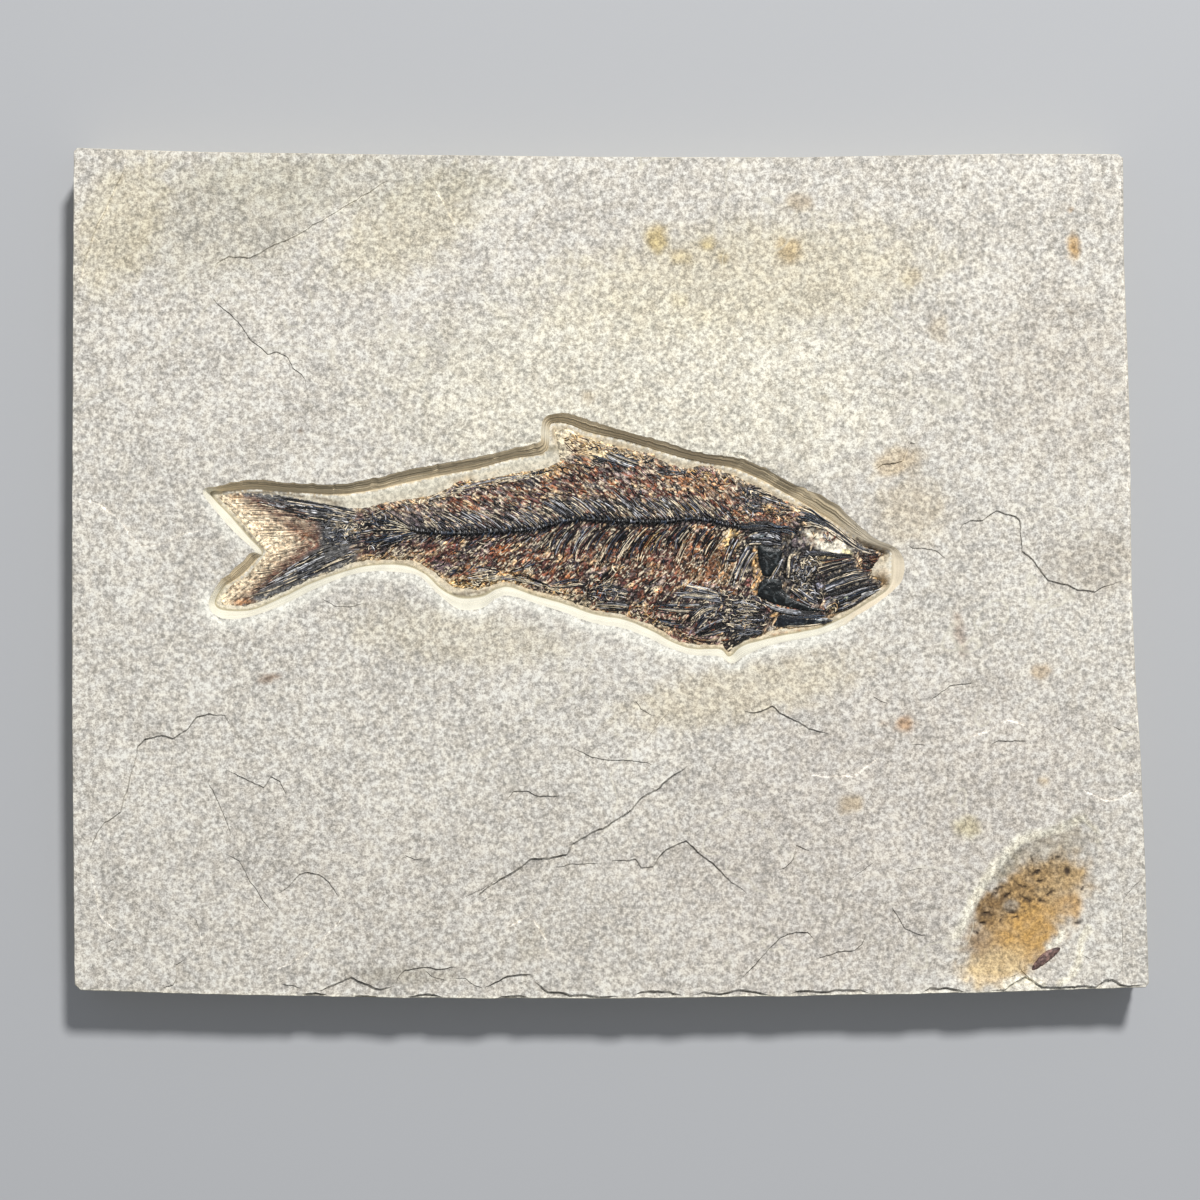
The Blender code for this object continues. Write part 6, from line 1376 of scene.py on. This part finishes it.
def brokenParts(line, breaks):
    # a bone cracked across here and there, each part a little out of line
    count = int(breaks + dice.random())
    edges = [0, *sorted(dice.uniform(0.12, 0.88) for cut in range(count)), 1]
    parts = []
    for begin, end in zip(edges[:-1], edges[1:]):
        if end - begin < 0.08:
            continue
        part = alongPath(line, np.linspace(begin + 0.015, end - 0.015, 10))[0]
        slip = dice.uniform(-0.1, 0.1) if count else 0
        parts.append(part + sideNormals(part) * slip)
    return parts


def pickTone(mix):
    throw = dice.uniform(0, sum(boneMixes[mix].values()))
    for tone, weight in boneMixes[mix].items():
        throw -= weight
        if throw <= 0:
            break
    return boneColours[tone]


def layBones(name, bones):
    # bones: line, width, height, lift, colour (or None to take the tail's own colour)
    plans, rises, faces, tints = [], [], [], []
    total = 0
    for line, width, height, lift, colour in bones:
        length = alongPath(line, np.zeros(1))[2]
        shape, blankFaces = longBlank if length > 2.6 else shortBlank
        spots, across, length = alongPath(line, shape[:, 0])
        plans.append(spots + across * (shape[:, 1] * width)[:, None])
        rises.append(lift + (shape[:, 2] + 0.12) * height)
        faces.extend(tuple(total + k for k in face) for face in blankFaces)
        total += len(shape)
        if colour is None:
            tint = tailTint(spots) * dice.uniform(0.3, 1.7)
        else:
            tint = linear(colour) * dice.uniform(0.7, 1.25)
        phase = dice.uniform(0, 90)
        worn = np.array([noise.noise(Vector((u * length * 0.9, phase, 0))) for u in shape[:, 0]])
        worn = 1 - softStep(worn, -0.45, 0.05)
        tint = overlay(tint, (34, 30, 32), worn if colour else 0.3 * worn)
        # painted shade and light: each bone's side away from the key light is painted darker, its lit side
        # paler
        tints.append(tint * np.where(shape[:, 1] * across[:, 1] < -0.1, 0.42, 1.2)[:, None])
    plan = np.concatenate(plans)
    level = filmLevel(plan) + np.concatenate(rises)
    piece = meshObject(name, np.column_stack([plan, level]), faces)
    paintVertices(piece, "boneTint", np.concatenate(tints))
    smoothShading(65)
    return piece


def fanBones(fans):
    bones = []
    for rays in fans:
        for line in fanLines(rays):
            for part in brokenParts(line, rays.breaks):
                colour = None if rays.mix == "tail" else pickTone(rays.mix)
                width = rays.width * dice.uniform(0.65, 1.25)
                height = 0.6 * width + 0.1 if colour else 0.3 * width
                bones.append((part, width, height, rays.lift, colour))
    return bones


def patchBones(patches):
    bones = []
    for x, y, length, width, turn, count, lean, spread, mix in patches:
        for number in range(count):
            reach, angle = math.sqrt(dice.random()), dice.uniform(0, 2 * math.pi)
            u, v = reach * length * math.cos(angle), reach * width * math.sin(angle)
            spot = (x, y) + u * heading(turn) + v * heading(turn)[::-1] * (-1, 1)
            run = heading(lean + dice.gauss(0, spread))
            half = 0.5 * dice.uniform(0.5, 1.9) * run
            bend = half[::-1] * (-1, 1) * dice.uniform(-0.7, 0.7)
            line = smoothPath([spot - half, spot + bend, spot + half], 0.25)
            if insideLoop(line, fishShape).all():
                bones.append((line, dice.uniform(0.18, 0.34), 0.24, 0.04, pickTone(mix)))
    return bones


# spines and ribs follow the backbone
trunkBones = dict(
    spineCount=60,
    ribCount=46,
    splinterCount=900,
    firstX=-40,
    lastX=29,
)


def spineTeeth(x, y):
    # the dark hooks above and below the backbone
    bones = []
    for rise in (-1, 1):
        tooth = np.array([[x, y], [x - 0.3, y + 0.7 * rise], [x - 0.8, y + 1.2 * rise]])
        bones.append((tooth, dice.uniform(0.26, 0.5), 0.3, 0.2, pickTone("ink")))
    return bones


def spineAbove(x, y, lean, reach):
    # two spines side by side, bent back over the body
    bones = []
    run = heading(lean) * (-1, 1)
    for side in range(2):
        start = np.array([x + 0.36 * side, y + 0.2 * side])
        middle = start + run * reach * 0.5 + run[::-1] * (-1, 1) * dice.uniform(-0.5, 0.1)
        line = smoothPath([start, middle, start + run * reach], 0.5)
        if insideLoop(line[-1:], fishShape)[0]:
            for part in brokenParts(line, 1.1):
                tone = pickTone("spine" if side else "arcs")
                bones.append((part, dice.uniform(0.24, 0.36), 0.26, 0.02, tone))
    return bones


def spineBelow(x, y, lean):
    # behind the ribs, spines hang below the backbone too
    drop = np.interp(x, [-40, -12], [3.6, 7]) * dice.uniform(0.6, 1)
    start, end = np.array([x, y]), (x, y) - heading(lean) * drop
    line = smoothPath([start, 0.5 * (start + end) + (-0.2, 0.2), end], 0.5)
    bones = []
    if insideLoop(line[-1:], fishShape)[0]:
        for part in brokenParts(line, 1):
            bones.append((part, dice.uniform(0.26, 0.36), 0.26, 0.02, pickTone("spine")))
    return bones


def spineBones(settings):
    bones = []
    for x in np.linspace(settings["firstX"], settings["lastX"], settings["spineCount"]):
        y = spineHeight(x)
        lean = np.interp(x, [-40, 0, 30], [34, 38, 47]) + dice.uniform(-5, 5)
        reach = np.interp(x, [-40, -25, 0, 30], [5.5, 8, 9, 7.5]) * dice.uniform(0.5, 1)
        bones += spineTeeth(x, y) + spineAbove(x, y + 0.6, lean, reach)
        if x < -12:
            bones += spineBelow(x, y - 0.8, lean)
    return bones


def ribBones(settings):
    bones = []
    for x in np.linspace(-13, 26, settings["ribCount"]):
        x += dice.uniform(-0.5, 0.5)
        if dice.random() < 0.22:
            continue
        y = spineHeight(x) - 0.8
        reach = np.interp(x, [-13, 0, 14, 26], [7, 10.5, 10.5, 8.5]) * dice.uniform(0.6, 1.05)
        swing = dice.uniform(-0.5, 0.5)
        for twin in range(3):
            shift = x + 0.3 * twin + dice.uniform(-0.08, 0.08)
            line = smoothPath([(shift, y), (shift - 0.28 * reach, y - 0.26 * reach),
                               (shift - 0.52 * reach, y - 0.6 * reach),
                               (shift - 0.62 * reach + swing, y - reach)], 0.5)
            shares = np.linspace(dice.uniform(0, 0.4), dice.uniform(0.6, 1), 12)
            tone = "ink" if twin == 1 else "brown" if dice.random() < 0.4 else "mixed"
            for part in brokenParts(alongPath(line, shares)[0], 0.8):
                bones.append((part, dice.uniform(0.26, 0.4), 0.32, 0.05, pickTone(tone)))
    return bones


def splinterBones(settings):
    # short bones and edges of scales all over the trunk
    count = settings["splinterCount"]
    spots = np.array([(dice.uniform(-54, 33), dice.uniform(-15, 26)) for i in range(2 * count)])
    away = nearLine(spots, fishShape, closed=True)[0]
    spots = spots[insideLoop(spots, fishShape) & (away > 0.35)][:count]
    bones = []
    for spot, mood in zip(spots, fieldNoise(spots, 3.4, 92)):
        x, rise = spot[0], spot[1] - spineHeight(spot[0])
        if abs(rise) < 0.9:
            continue
        lean = np.interp(x, [-50, 0, 30], [24, 36, 46]) + dice.gauss(0, 20)
        if rise < 0:
            lean = -lean - (12 if x > -12 else 0)
        run = heading(lean) * (-1, 1) * (0.6 + 1.9 * dice.random() ** 2)
        bend = run[::-1] * (-1, 1) * dice.uniform(-0.25, 0.25)
        line = smoothPath([spot - 0.5 * run, spot + bend, spot + 0.5 * run], 0.25)
        if not insideLoop(line, fishShape).all():
            continue
        mix = "spine" if 0 < rise < 5 else "brown"
        if abs(mood) > 0.12 and dice.random() < 0.7:
            mix = "ink" if mood > 0 else "rosy"
        bones.append((line, dice.uniform(0.24, 0.46), 0.26, 0.03, pickTone(mix)))
    return bones


vertebra = dict(count=54, width=1.25, height=0.62)


def buildBackbone():
    # one copy of the bead for each place along the backbone
    shape, blankFaces = beadBlank
    shapes, faces, tints = [], [], []
    shares = np.linspace(0, 1, vertebra["count"])
    spots, across, length = alongPath(spineLine, shares)
    pitch = length / (vertebra["count"] - 1)
    for number, (spot, side) in enumerate(zip(spots, across)):
        grow = 0.75 + 0.25 * math.sin(math.pi * min(1, 0.25 + shares[number]))
        width = vertebra["width"] * grow * dice.uniform(0.75, 1.25)
        spot = spot + side * dice.uniform(-0.12, 0.12)
        run = side[::-1] * (-1, 1)
        plan = spot + run * (shape[:, :1] * pitch * 0.84) + side * (shape[:, 1:2] * width)
        level = filmLevel(spot[None]) + 0.05 + (shape[:, 2] + 0.1) * vertebra["height"]
        shapes.append(np.column_stack([plan, level]))
        faces.extend(tuple(number * len(shape) + k for k in face) for face in blankFaces)
        tint = evenTint(pickTone("ink"), len(shape))
        # painted shade on each bead's side away from the key light; its ends on the lit side are paler,
        # partly as painted highlight
        shadedSide = shape[:, 1] * side[1] < -0.1
        tint[(np.abs(shape[:, 0]) > 0.34) & ~shadedSide] += dice.uniform(0, 0.34)
        tint[shadedSide] *= 0.5
        tints.append(tint)
    piece = meshObject("backboneBeads", np.concatenate(shapes), faces)
    paintVertices(piece, "boneTint", np.concatenate(tints))
    smoothShading(50)
    return piece


# broad plates of the head, and small bright plates painted as highlights: height, colour, outline
headPlates = dict(
    gillCover=[
        (0.34, (11, 17, 19), [(33.3, 6.2), (36, 5.9), (38.4, 5.4), (38.3, 3.4), (37.7, 1.6), (36.6, 0.2),
            (35.3, -0.7), (34.2, -0.2), (33.6, 1.4), (33.2, 3.6)]),
        (0.32, (11, 17, 19), [(33.8, -1.8), (35.4, -1), (38.2, -1.4), (38.8, -3.6), (41, -5.6),
            (44.6, -7.2), (48.8, -8.4), (45.4, -8.5), (40, -7.6), (36, -6.5), (33.4, -5.2), (33.2, -3.2)])],
    gularPlateAndHighlights=[
        (0.26, (20, 24, 32), [(38.4, -9.2), (42, -9.7), (46.1, -10.1), (50, -10.5), (47.5, -11.3),
            (43.5, -11.7), (38, -12.1), (36.8, -11.4)]),
        # painted highlights: bright plates for glints of light on the gular plate and the gill cover
        (1, (214, 220, 228), [(45.8, -10.2), (47.4, -10), (49, -10.1), (48.6, -10.6), (46.8, -10.8)]),
        (0.9, (176, 180, 190), [(41, -8.6), (42.6, -8.4), (43, -9), (41.9, -9.3), (41, -9.1)]),
        (0.9, (160, 172, 176), [(32.2, 8.1), (33.2, 8.5), (34.6, 8.9), (34.4, 8.2), (33, 7.8)])],
)


def plateRelief(flat, loop, height):
    # a low dome with growth lines along its edge and rays from its middle
    away = nearLine(flat, loop, closed=True)[0]
    centre = flat.mean(axis=0)
    angle = np.arctan2(flat[:, 1] - centre[1], flat[:, 0] - centre[0])
    lines = np.sin(away * 6.5 + 1.6 * fieldNoise(flat, 2, 70)) * 0.03
    rays = np.sin(angle * 22) * 0.015 + 0.07 * fieldNoise(flat, 0.6, 76)
    return height * (1 - np.exp(-away / 0.35)) + lines + rays + 0.05 * fieldNoise(flat, 1.2, 75)


def plateTint(spots, tone):
    # mottled, with pale cracks
    mottling = 1 + fieldNoise(spots, 0.7, 78) + 0.6 * fieldNoise(spots, 2.4, 79)
    crack = 1 - softStep(np.abs(fieldNoise(spots, 2.2, 82)), 0.02, 0.07)
    tint = linear(tone) * np.clip(mottling, 0.25, 2.4)[:, None]
    return np.minimum(tint + linear((128, 136, 138)) * (0.3 * crack)[:, None], 0.85)


def buildPlates(name, plates):
    shapes, faces, tints = [], [], []
    total = 0
    for number, (height, tone, outline) in enumerate(plates):
        loop = smoothPath(outline, 0.3, closed=True)
        flat, plateFaces, rim = fillLoop(loop, loop, 0.3, 0.15, 60 + number, 0.16)
        closeBelow(plateFaces, rim, len(flat), 1)
        level = filmLevel(flat) + plateRelief(flat, loop, height)
        shape = np.column_stack([np.concatenate([flat, loop]),
                                 np.concatenate([level, filmLevel(loop) - 0.2])])
        faces.extend(tuple(total + k for k in face) for face in plateFaces)
        total += len(shape)
        shapes.append(shape)
        tints.append(plateTint(shape[:, :2], tone))
    piece = meshObject(name, np.concatenate(shapes), faces)
    paintVertices(piece, "boneTint", np.concatenate(tints))
    turnFacesOut()
    smoothShading(50)
    return piece


fishPieces = [buildFilm()]
for name, fans in bonePieces.items():
    fishPieces.append(layBones(name, fanBones(fans)))
fishPieces.append(layBones("neuralSpines", spineBones(trunkBones)))
fishPieces.append(layBones("bellyRibs", ribBones(trunkBones)))
fishPieces.append(layBones("boneSplinters", splinterBones(trunkBones)))
fishPieces.append(layBones("brokenBits", patchBones(bonePatches)))
fishPieces.append(buildBackbone())
for name, plates in headPlates.items():
    fishPieces.append(buildPlates(name, plates))
for piece in fishPieces:
    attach(piece, "root")
    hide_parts("fossil_fish")
print("fish built", sum(len(piece.data.polygons) for piece in fishPieces))


coproliteLump = dict(centre=(97.7, -86.4), length=8, width=1.95, height=1.1, turn=38)


def buildCoprolite():
    # a lumpy spindle lying in the rusty hollow
    settings = coproliteLump
    bpy.ops.object.select_all(action="DESELECT")
    bpy.ops.mesh.primitive_uv_sphere_add(segments=72, ring_count=44, radius=0.5,
                                         rotation=(0, math.radians(90), 0))
    piece = bpy.context.active_object
    piece.name = "coproliteLump"
    bpy.ops.object.transform_apply(location=False, rotation=True, scale=True)
    shape = np.array([tuple(v.co) for v in piece.data.vertices])
    lumps = np.array([noise.noise(Vector((x * 9, y * 5, z * 5))) for x, y, z in shape])
    rings = np.sin(shape[:, 0] * 34 + lumps * 4) * 0.035
    grow = 1 + 0.2 * lumps + rings
    ends = np.abs(shape[:, 0] * 2)
    along = shape[:, 0] * settings["length"]
    across = shape[:, 1] * settings["width"] * grow + 0.2 - 0.35 * ends ** 2
    run = heading(settings["turn"])
    plan = settings["centre"] + along[:, None] * run + across[:, None] * run[::-1] * (-1, 1)
    ground = faceHeight(np.array([settings["centre"]])) + 0.18
    level = ground + shape[:, 2] * settings["height"] * grow
    piece.data.vertices.foreach_set("co", (np.column_stack([plan, level]) * mm).ravel())
    piece.data.update()
    dark = np.clip(0.3 + 0.8 * ends ** 3 + 1.2 * lumps - 6 * rings, 0, 1)
    paintVertices(piece, "boneTint", overlay(evenTint((138, 110, 102), len(shape)), (86, 66, 64), dark))
    smoothShading(60)
    return piece


coprolitePiece = buildCoprolite()
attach(coprolitePiece, "root")
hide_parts("coprolite")
print("coprolite built")


class NodePad:
    # short hands for wiring a material
    def __init__(self, name):
        self.material = bpy.data.materials.new(name)
        self.material.use_nodes = True
        self.tree = self.material.node_tree
        self.shader = self.tree.nodes["Principled BSDF"]

    def feed(self, socket, value):
        # a link, a number or a colour
        if hasattr(value, "links"):
            self.tree.links.new(value, socket)
        elif socket.type == "RGBA":
            socket.default_value = (*value, 1)
        else:
            socket.default_value = value

    def add(self, kind, **inputs):
        node = self.tree.nodes.new(kind)
        for key, value in inputs.items():
            if key in node.inputs:
                self.feed(node.inputs[key], value)
            else:
                setattr(node, key, value)
        return node

    def noise(self, vector, scale, detail=2, roughness=0.5, distortion=0):
        node = self.add("ShaderNodeTexNoise", Vector=vector, Scale=scale, Detail=detail,
                        Roughness=roughness, Distortion=distortion)
        return node.outputs["Fac"]

    def ramp(self, value, stops):
        node = self.add("ShaderNodeValToRGB", Fac=value)
        elements = node.color_ramp.elements
        while len(elements) < len(stops):
            elements.new(0.5)
        for element, (place, colour) in zip(elements, stops):
            element.position = place
            element.color = (*colour, 1)
        return node.outputs["Color"]

    def grey(self, value, low, high, darkest=0, brightest=1):
        sockets = {"Value": value, "From Min": low, "From Max": high, "To Min": darkest,
                   "To Max": brightest}
        return self.add("ShaderNodeMapRange", **sockets).outputs["Result"]

    def mix(self, share, first, second, blend="MIX"):
        node = self.add("ShaderNodeMix", data_type="RGBA", blend_type=blend)
        for number, value in ((0, share), (6, first), (7, second)):
            self.feed(node.inputs[number], value)
        return node.outputs[2]

    def times(self, first, second):
        return self.mix(1, first, second, "MULTIPLY")

    def maths(self, operation, *values):
        node = self.add("ShaderNodeMath", operation=operation)
        for socket, value in zip(node.inputs, values):
            self.feed(socket, value)
        return node.outputs[0]

    def layer(self, name, channel=None):
        colour = self.add("ShaderNodeAttribute", attribute_name=name).outputs["Color"]
        if channel is None:
            return colour
        return self.add("ShaderNodeSeparateColor", Color=colour).outputs[channel]

    def stretch(self, vector, scale):
        return self.add("ShaderNodeMapping", Vector=vector, Scale=scale).outputs["Vector"]

    def bump(self, height, strength, distance, before=None):
        node = self.add("ShaderNodeBump", Height=height, Strength=strength, Distance=distance)
        if before is not None:
            self.feed(node.inputs["Normal"], before)
        return node.outputs["Normal"]

    def finish(self, colour, roughness, normal, specular):
        sockets = {"Base Color": colour, "Roughness": roughness, "Normal": normal,
                   "Specular IOR Level": specular}
        for name, value in sockets.items():
            self.feed(self.shader.inputs[name], value)
        return self.material


def dress(piece, material):
    piece.data.materials.clear()
    piece.data.materials.append(material)


limestoneLook = dict(
    grainScale=1050,
    fineScale=2900,
    hueScale=380,
    veinScale=26,
    flakeScale=34,
    bedScale=(14, 14, 2600),
    darkSpeck=linear((160, 158, 152)),
    middleSpeck=linear((212, 208, 201)),
    paleSpeck=linear((255, 254, 246)),
    veinColour=linear((240, 234, 214)),
    warmHue=(1.015, 1, 0.975),
    coolHue=(0.985, 0.99, 1),
    brightness=(1.24, 1.24, 1.24),
    roughness=(0.78, 0.95),
)


def stoneFace(pad, here, mixed):
    # speckled stone with faint pale veins, and dark cracks with the painted shade and highlight of their
    # broken edges
    look = limestoneLook
    broad = pad.noise(here, 70, 3, 0.55)
    shifted = pad.maths("ADD", mixed, pad.grey(broad, 0.3, 0.7, -0.03, 0.03))
    speck = pad.ramp(shifted, [(0.36, look["darkSpeck"]), (0.49, look["middleSpeck"]),
                               (0.61, look["paleSpeck"])])
    hue = pad.grey(pad.noise(here, look["hueScale"]), 0.4, 0.6)
    speck = pad.times(speck, pad.mix(hue, look["coolHue"], look["warmHue"]))
    tinted = pad.times(pad.times(speck, pad.layer("stainTint")), look["brightness"])
    vein = pad.maths("SUBTRACT", pad.noise(here, look["veinScale"], 3, 0.55), 0.5)
    veinShare = pad.maths("MULTIPLY", pad.grey(pad.maths("ABSOLUTE", vein), 0, 0.006, 0.45, 0),
                          pad.grey(pad.noise(here, 14), 0.45, 0.6))
    return pad.times(pad.mix(veinShare, tinted, look["veinColour"]), pad.layer("crackAndShadeTone"))


def limestoneMaterial():
    look = limestoneLook
    pad = NodePad("speckledLimestone")
    here = pad.add("ShaderNodeTexCoord").outputs["Object"]
    tint = pad.layer("stainTint")
    grain = pad.noise(here, look["grainScale"], 3, 0.66)
    fine = pad.noise(here, look["fineScale"], 1)
    mixed = pad.maths("ADD", pad.maths("MULTIPLY", grain, 0.75), pad.maths("MULTIPLY", fine, 0.25))
    # bedding lines follow the level in the stone
    beds = pad.noise(pad.stretch(here, look["bedScale"]), 1, 3, 0.6)
    lined = pad.mix(pad.layer("stoneZone", "Green"), (1, 1, 1), pad.grey(beds, 0.42, 0.55, 0.52, 1.14))
    face = stoneFace(pad, here, mixed)
    colour = pad.mix(pad.layer("stoneZone", "Red"), face, pad.times(tint, lined))
    calmStone = pad.times(tint, pad.grey(mixed, 0.4, 0.59, 0.62, 1.12))
    colour = pad.mix(pad.layer("stoneZone", "Blue"), colour, calmStone)
    # thin flakes, where thin beds end
    flake = pad.maths("MULTIPLY", pad.noise(here, look["flakeScale"], 4, 0.6), 9)
    steps = pad.maths("MULTIPLY", pad.maths("FLOOR", flake), 0.2)
    normal = pad.bump(mixed, 0.5, 0.00022)
    normal = pad.bump(steps, 0.35, 0.0006, normal)
    normal = pad.bump(beds, 0.4, 0.0003, normal)
    return pad.finish(colour, pad.grey(grain, 0.3, 0.7, *look["roughness"]), normal, 0.5)


dress(slabPiece, limestoneMaterial())
print("limestone finished")


fossilLook = dict(
    fibreScale=3200,
    mottlingScale=1100,
    speckScale=1150,
    dotScale=1380,
    patchScale=330,
    fibreStretch=(1.8, 0.55, 1),
    fleckStretch=(1.5, 0.75, 1),
    roughness=(0.26, 0.52),
    filmRoughness=(0.36, 0.62),
    coproliteRoughness=(0.46, 0.72),
    paleSpeck=linear((250, 234, 204)),
    darkSpeck=linear((15, 12, 13)),
)


def boneMaterial(name, roughness):
    # fine fibres over mottled bone
    look = fossilLook
    pad = NodePad(name)
    here = pad.add("ShaderNodeTexCoord").outputs["Object"]
    fibre = pad.noise(here, look["fibreScale"], 2, 0.6)
    mottling = pad.noise(here, look["mottlingScale"], 3, 0.6)
    shaded = pad.times(pad.layer("boneTint"), pad.grey(mottling, 0.35, 0.65, 0.5, 1.6))
    normal = pad.bump(fibre, 0.5, 0.00012)
    normal = pad.bump(mottling, 0.5, 0.00025, normal)
    return pad.finish(shaded, pad.grey(fibre, 0.35, 0.65, *roughness), normal, 0.45)


def filmMaterial():
    look = fossilLook
    pad = NodePad("scaleFilm")
    here = pad.add("ShaderNodeTexCoord").outputs["Object"]
    grainMap = pad.add("ShaderNodeUVMap", uv_map="grainMap").outputs["UV"]
    fibre = pad.noise(pad.stretch(grainMap, look["fibreStretch"]), 1, 2, 0.6)
    fleck = pad.noise(pad.stretch(grainMap, look["fleckStretch"]), 1, 2, 0.55)
    coarse = pad.noise(here, look["mottlingScale"], 3, 0.65)
    speck = pad.noise(here, look["speckScale"])
    dots = pad.noise(here, look["dotScale"], 1, 0.5, 0.4)
    shaded = pad.times(pad.layer("boneTint"), pad.grey(coarse, 0.35, 0.65, 0.35, 1.85))
    streaked = pad.mix(pad.layer("speckShare", "Blue"), shaded,
                       pad.times(shaded, pad.grey(fibre, 0.36, 0.64, 0.25, 1.95)))
    # pale specks and slanting flecks gather in patches
    patches = pad.grey(pad.noise(here, look["patchScale"], 2, 0.6), 0.36, 0.62, -0.045, 0.035)
    either = pad.maths("MAXIMUM", pad.maths("SUBTRACT", speck, 0.03), fleck)
    paleShare = pad.maths("MULTIPLY", pad.grey(pad.maths("ADD", either, patches), 0.58, 0.66, 0, 0.92),
                          pad.layer("speckShare", "Red"))
    flecked = pad.mix(paleShare, streaked, look["paleSpeck"])
    darkShare = pad.maths("MULTIPLY", pad.grey(dots, 0.37, 0.45, 0.9, 0), pad.layer("speckShare", "Green"))
    colour = pad.mix(darkShare, flecked, look["darkSpeck"])
    normal = pad.bump(fibre, 0.6, 0.00022)
    normal = pad.bump(speck, 0.6, 0.0003, normal)
    return pad.finish(colour, pad.grey(fibre, 0.35, 0.65, *look["filmRoughness"]), normal, 0.5)


dress(fishPieces[0], filmMaterial())
fossilBone = boneMaterial("fossilBone", fossilLook["roughness"])
for piece in fishPieces[1:]:
    dress(piece, fossilBone)
dress(coprolitePiece, boneMaterial("coproliteBrown", fossilLook["coproliteRoughness"]))
print("fossil finished")


studio = dict(
    lookAt=(-2.35, -5.94),
    frameWidth=268.8,
    cameraHeight=614,
    sensor=36,
    keyAngle=50,
    keyTurn=20,
    keyDistance=1700,
    keySize=230,
    keyPower=26.5,
    keyColour=(1, 0.992, 0.975),
    roomColour=(0.93, 0.96, 1),
    roomPower=0.3,
    floorColour=(0.5, 0.51, 0.53),
)


def layFloor():
    bpy.ops.mesh.primitive_plane_add(size=6, location=(0, 0, 0))
    floor = bpy.context.active_object
    floor.name = "studioFloor"
    pad = NodePad("paleFloor")
    pad.feed(pad.shader.inputs["Base Color"], studio["floorColour"])
    pad.feed(pad.shader.inputs["Roughness"], 0.85)
    dress(floor, pad.material)


def lightRoom():
    # a pale room and one key light above the top edge of the slab
    world = bpy.data.worlds.new("softRoom")
    world.use_nodes = True
    background = world.node_tree.nodes["Background"]
    background.inputs["Color"].default_value = (*studio["roomColour"], 1)
    background.inputs["Strength"].default_value = studio["roomPower"]
    bpy.context.scene.world = world

    angle, turn = math.radians(studio["keyAngle"]), math.radians(studio["keyTurn"])
    place = Vector((math.sin(turn) * math.cos(angle), math.cos(turn) * math.cos(angle), math.sin(angle)))
    bpy.ops.object.light_add(type="AREA", location=place * studio["keyDistance"] * mm)
    key = bpy.context.active_object
    key.name = "keyLight"
    key.data.shape = "DISK"
    key.data.size = studio["keySize"] * mm
    key.data.energy = studio["keyPower"]
    key.data.color = studio["keyColour"]
    key.rotation_euler = (-place).to_track_quat("-Z", "Y").to_euler()


def placeCamera():
    # straight above the slab, with its face filling the frame's width
    x, y = studio["lookAt"]
    bpy.ops.object.camera_add(location=(x * mm, y * mm, studio["cameraHeight"] * mm), rotation=(0, 0, 0))
    camera = bpy.context.active_object
    camera.name = "studioCamera"
    reach = studio["cameraHeight"] - slabStone["thickness"]
    camera.data.sensor_width = studio["sensor"]
    camera.data.lens = studio["sensor"] * reach / studio["frameWidth"]
    camera.data.clip_start = 0.01
    bpy.context.scene.camera = camera
    bpy.context.scene.view_settings.view_transform = "Standard"


layFloor()
lightRoom()
placeCamera()
print("studio set")
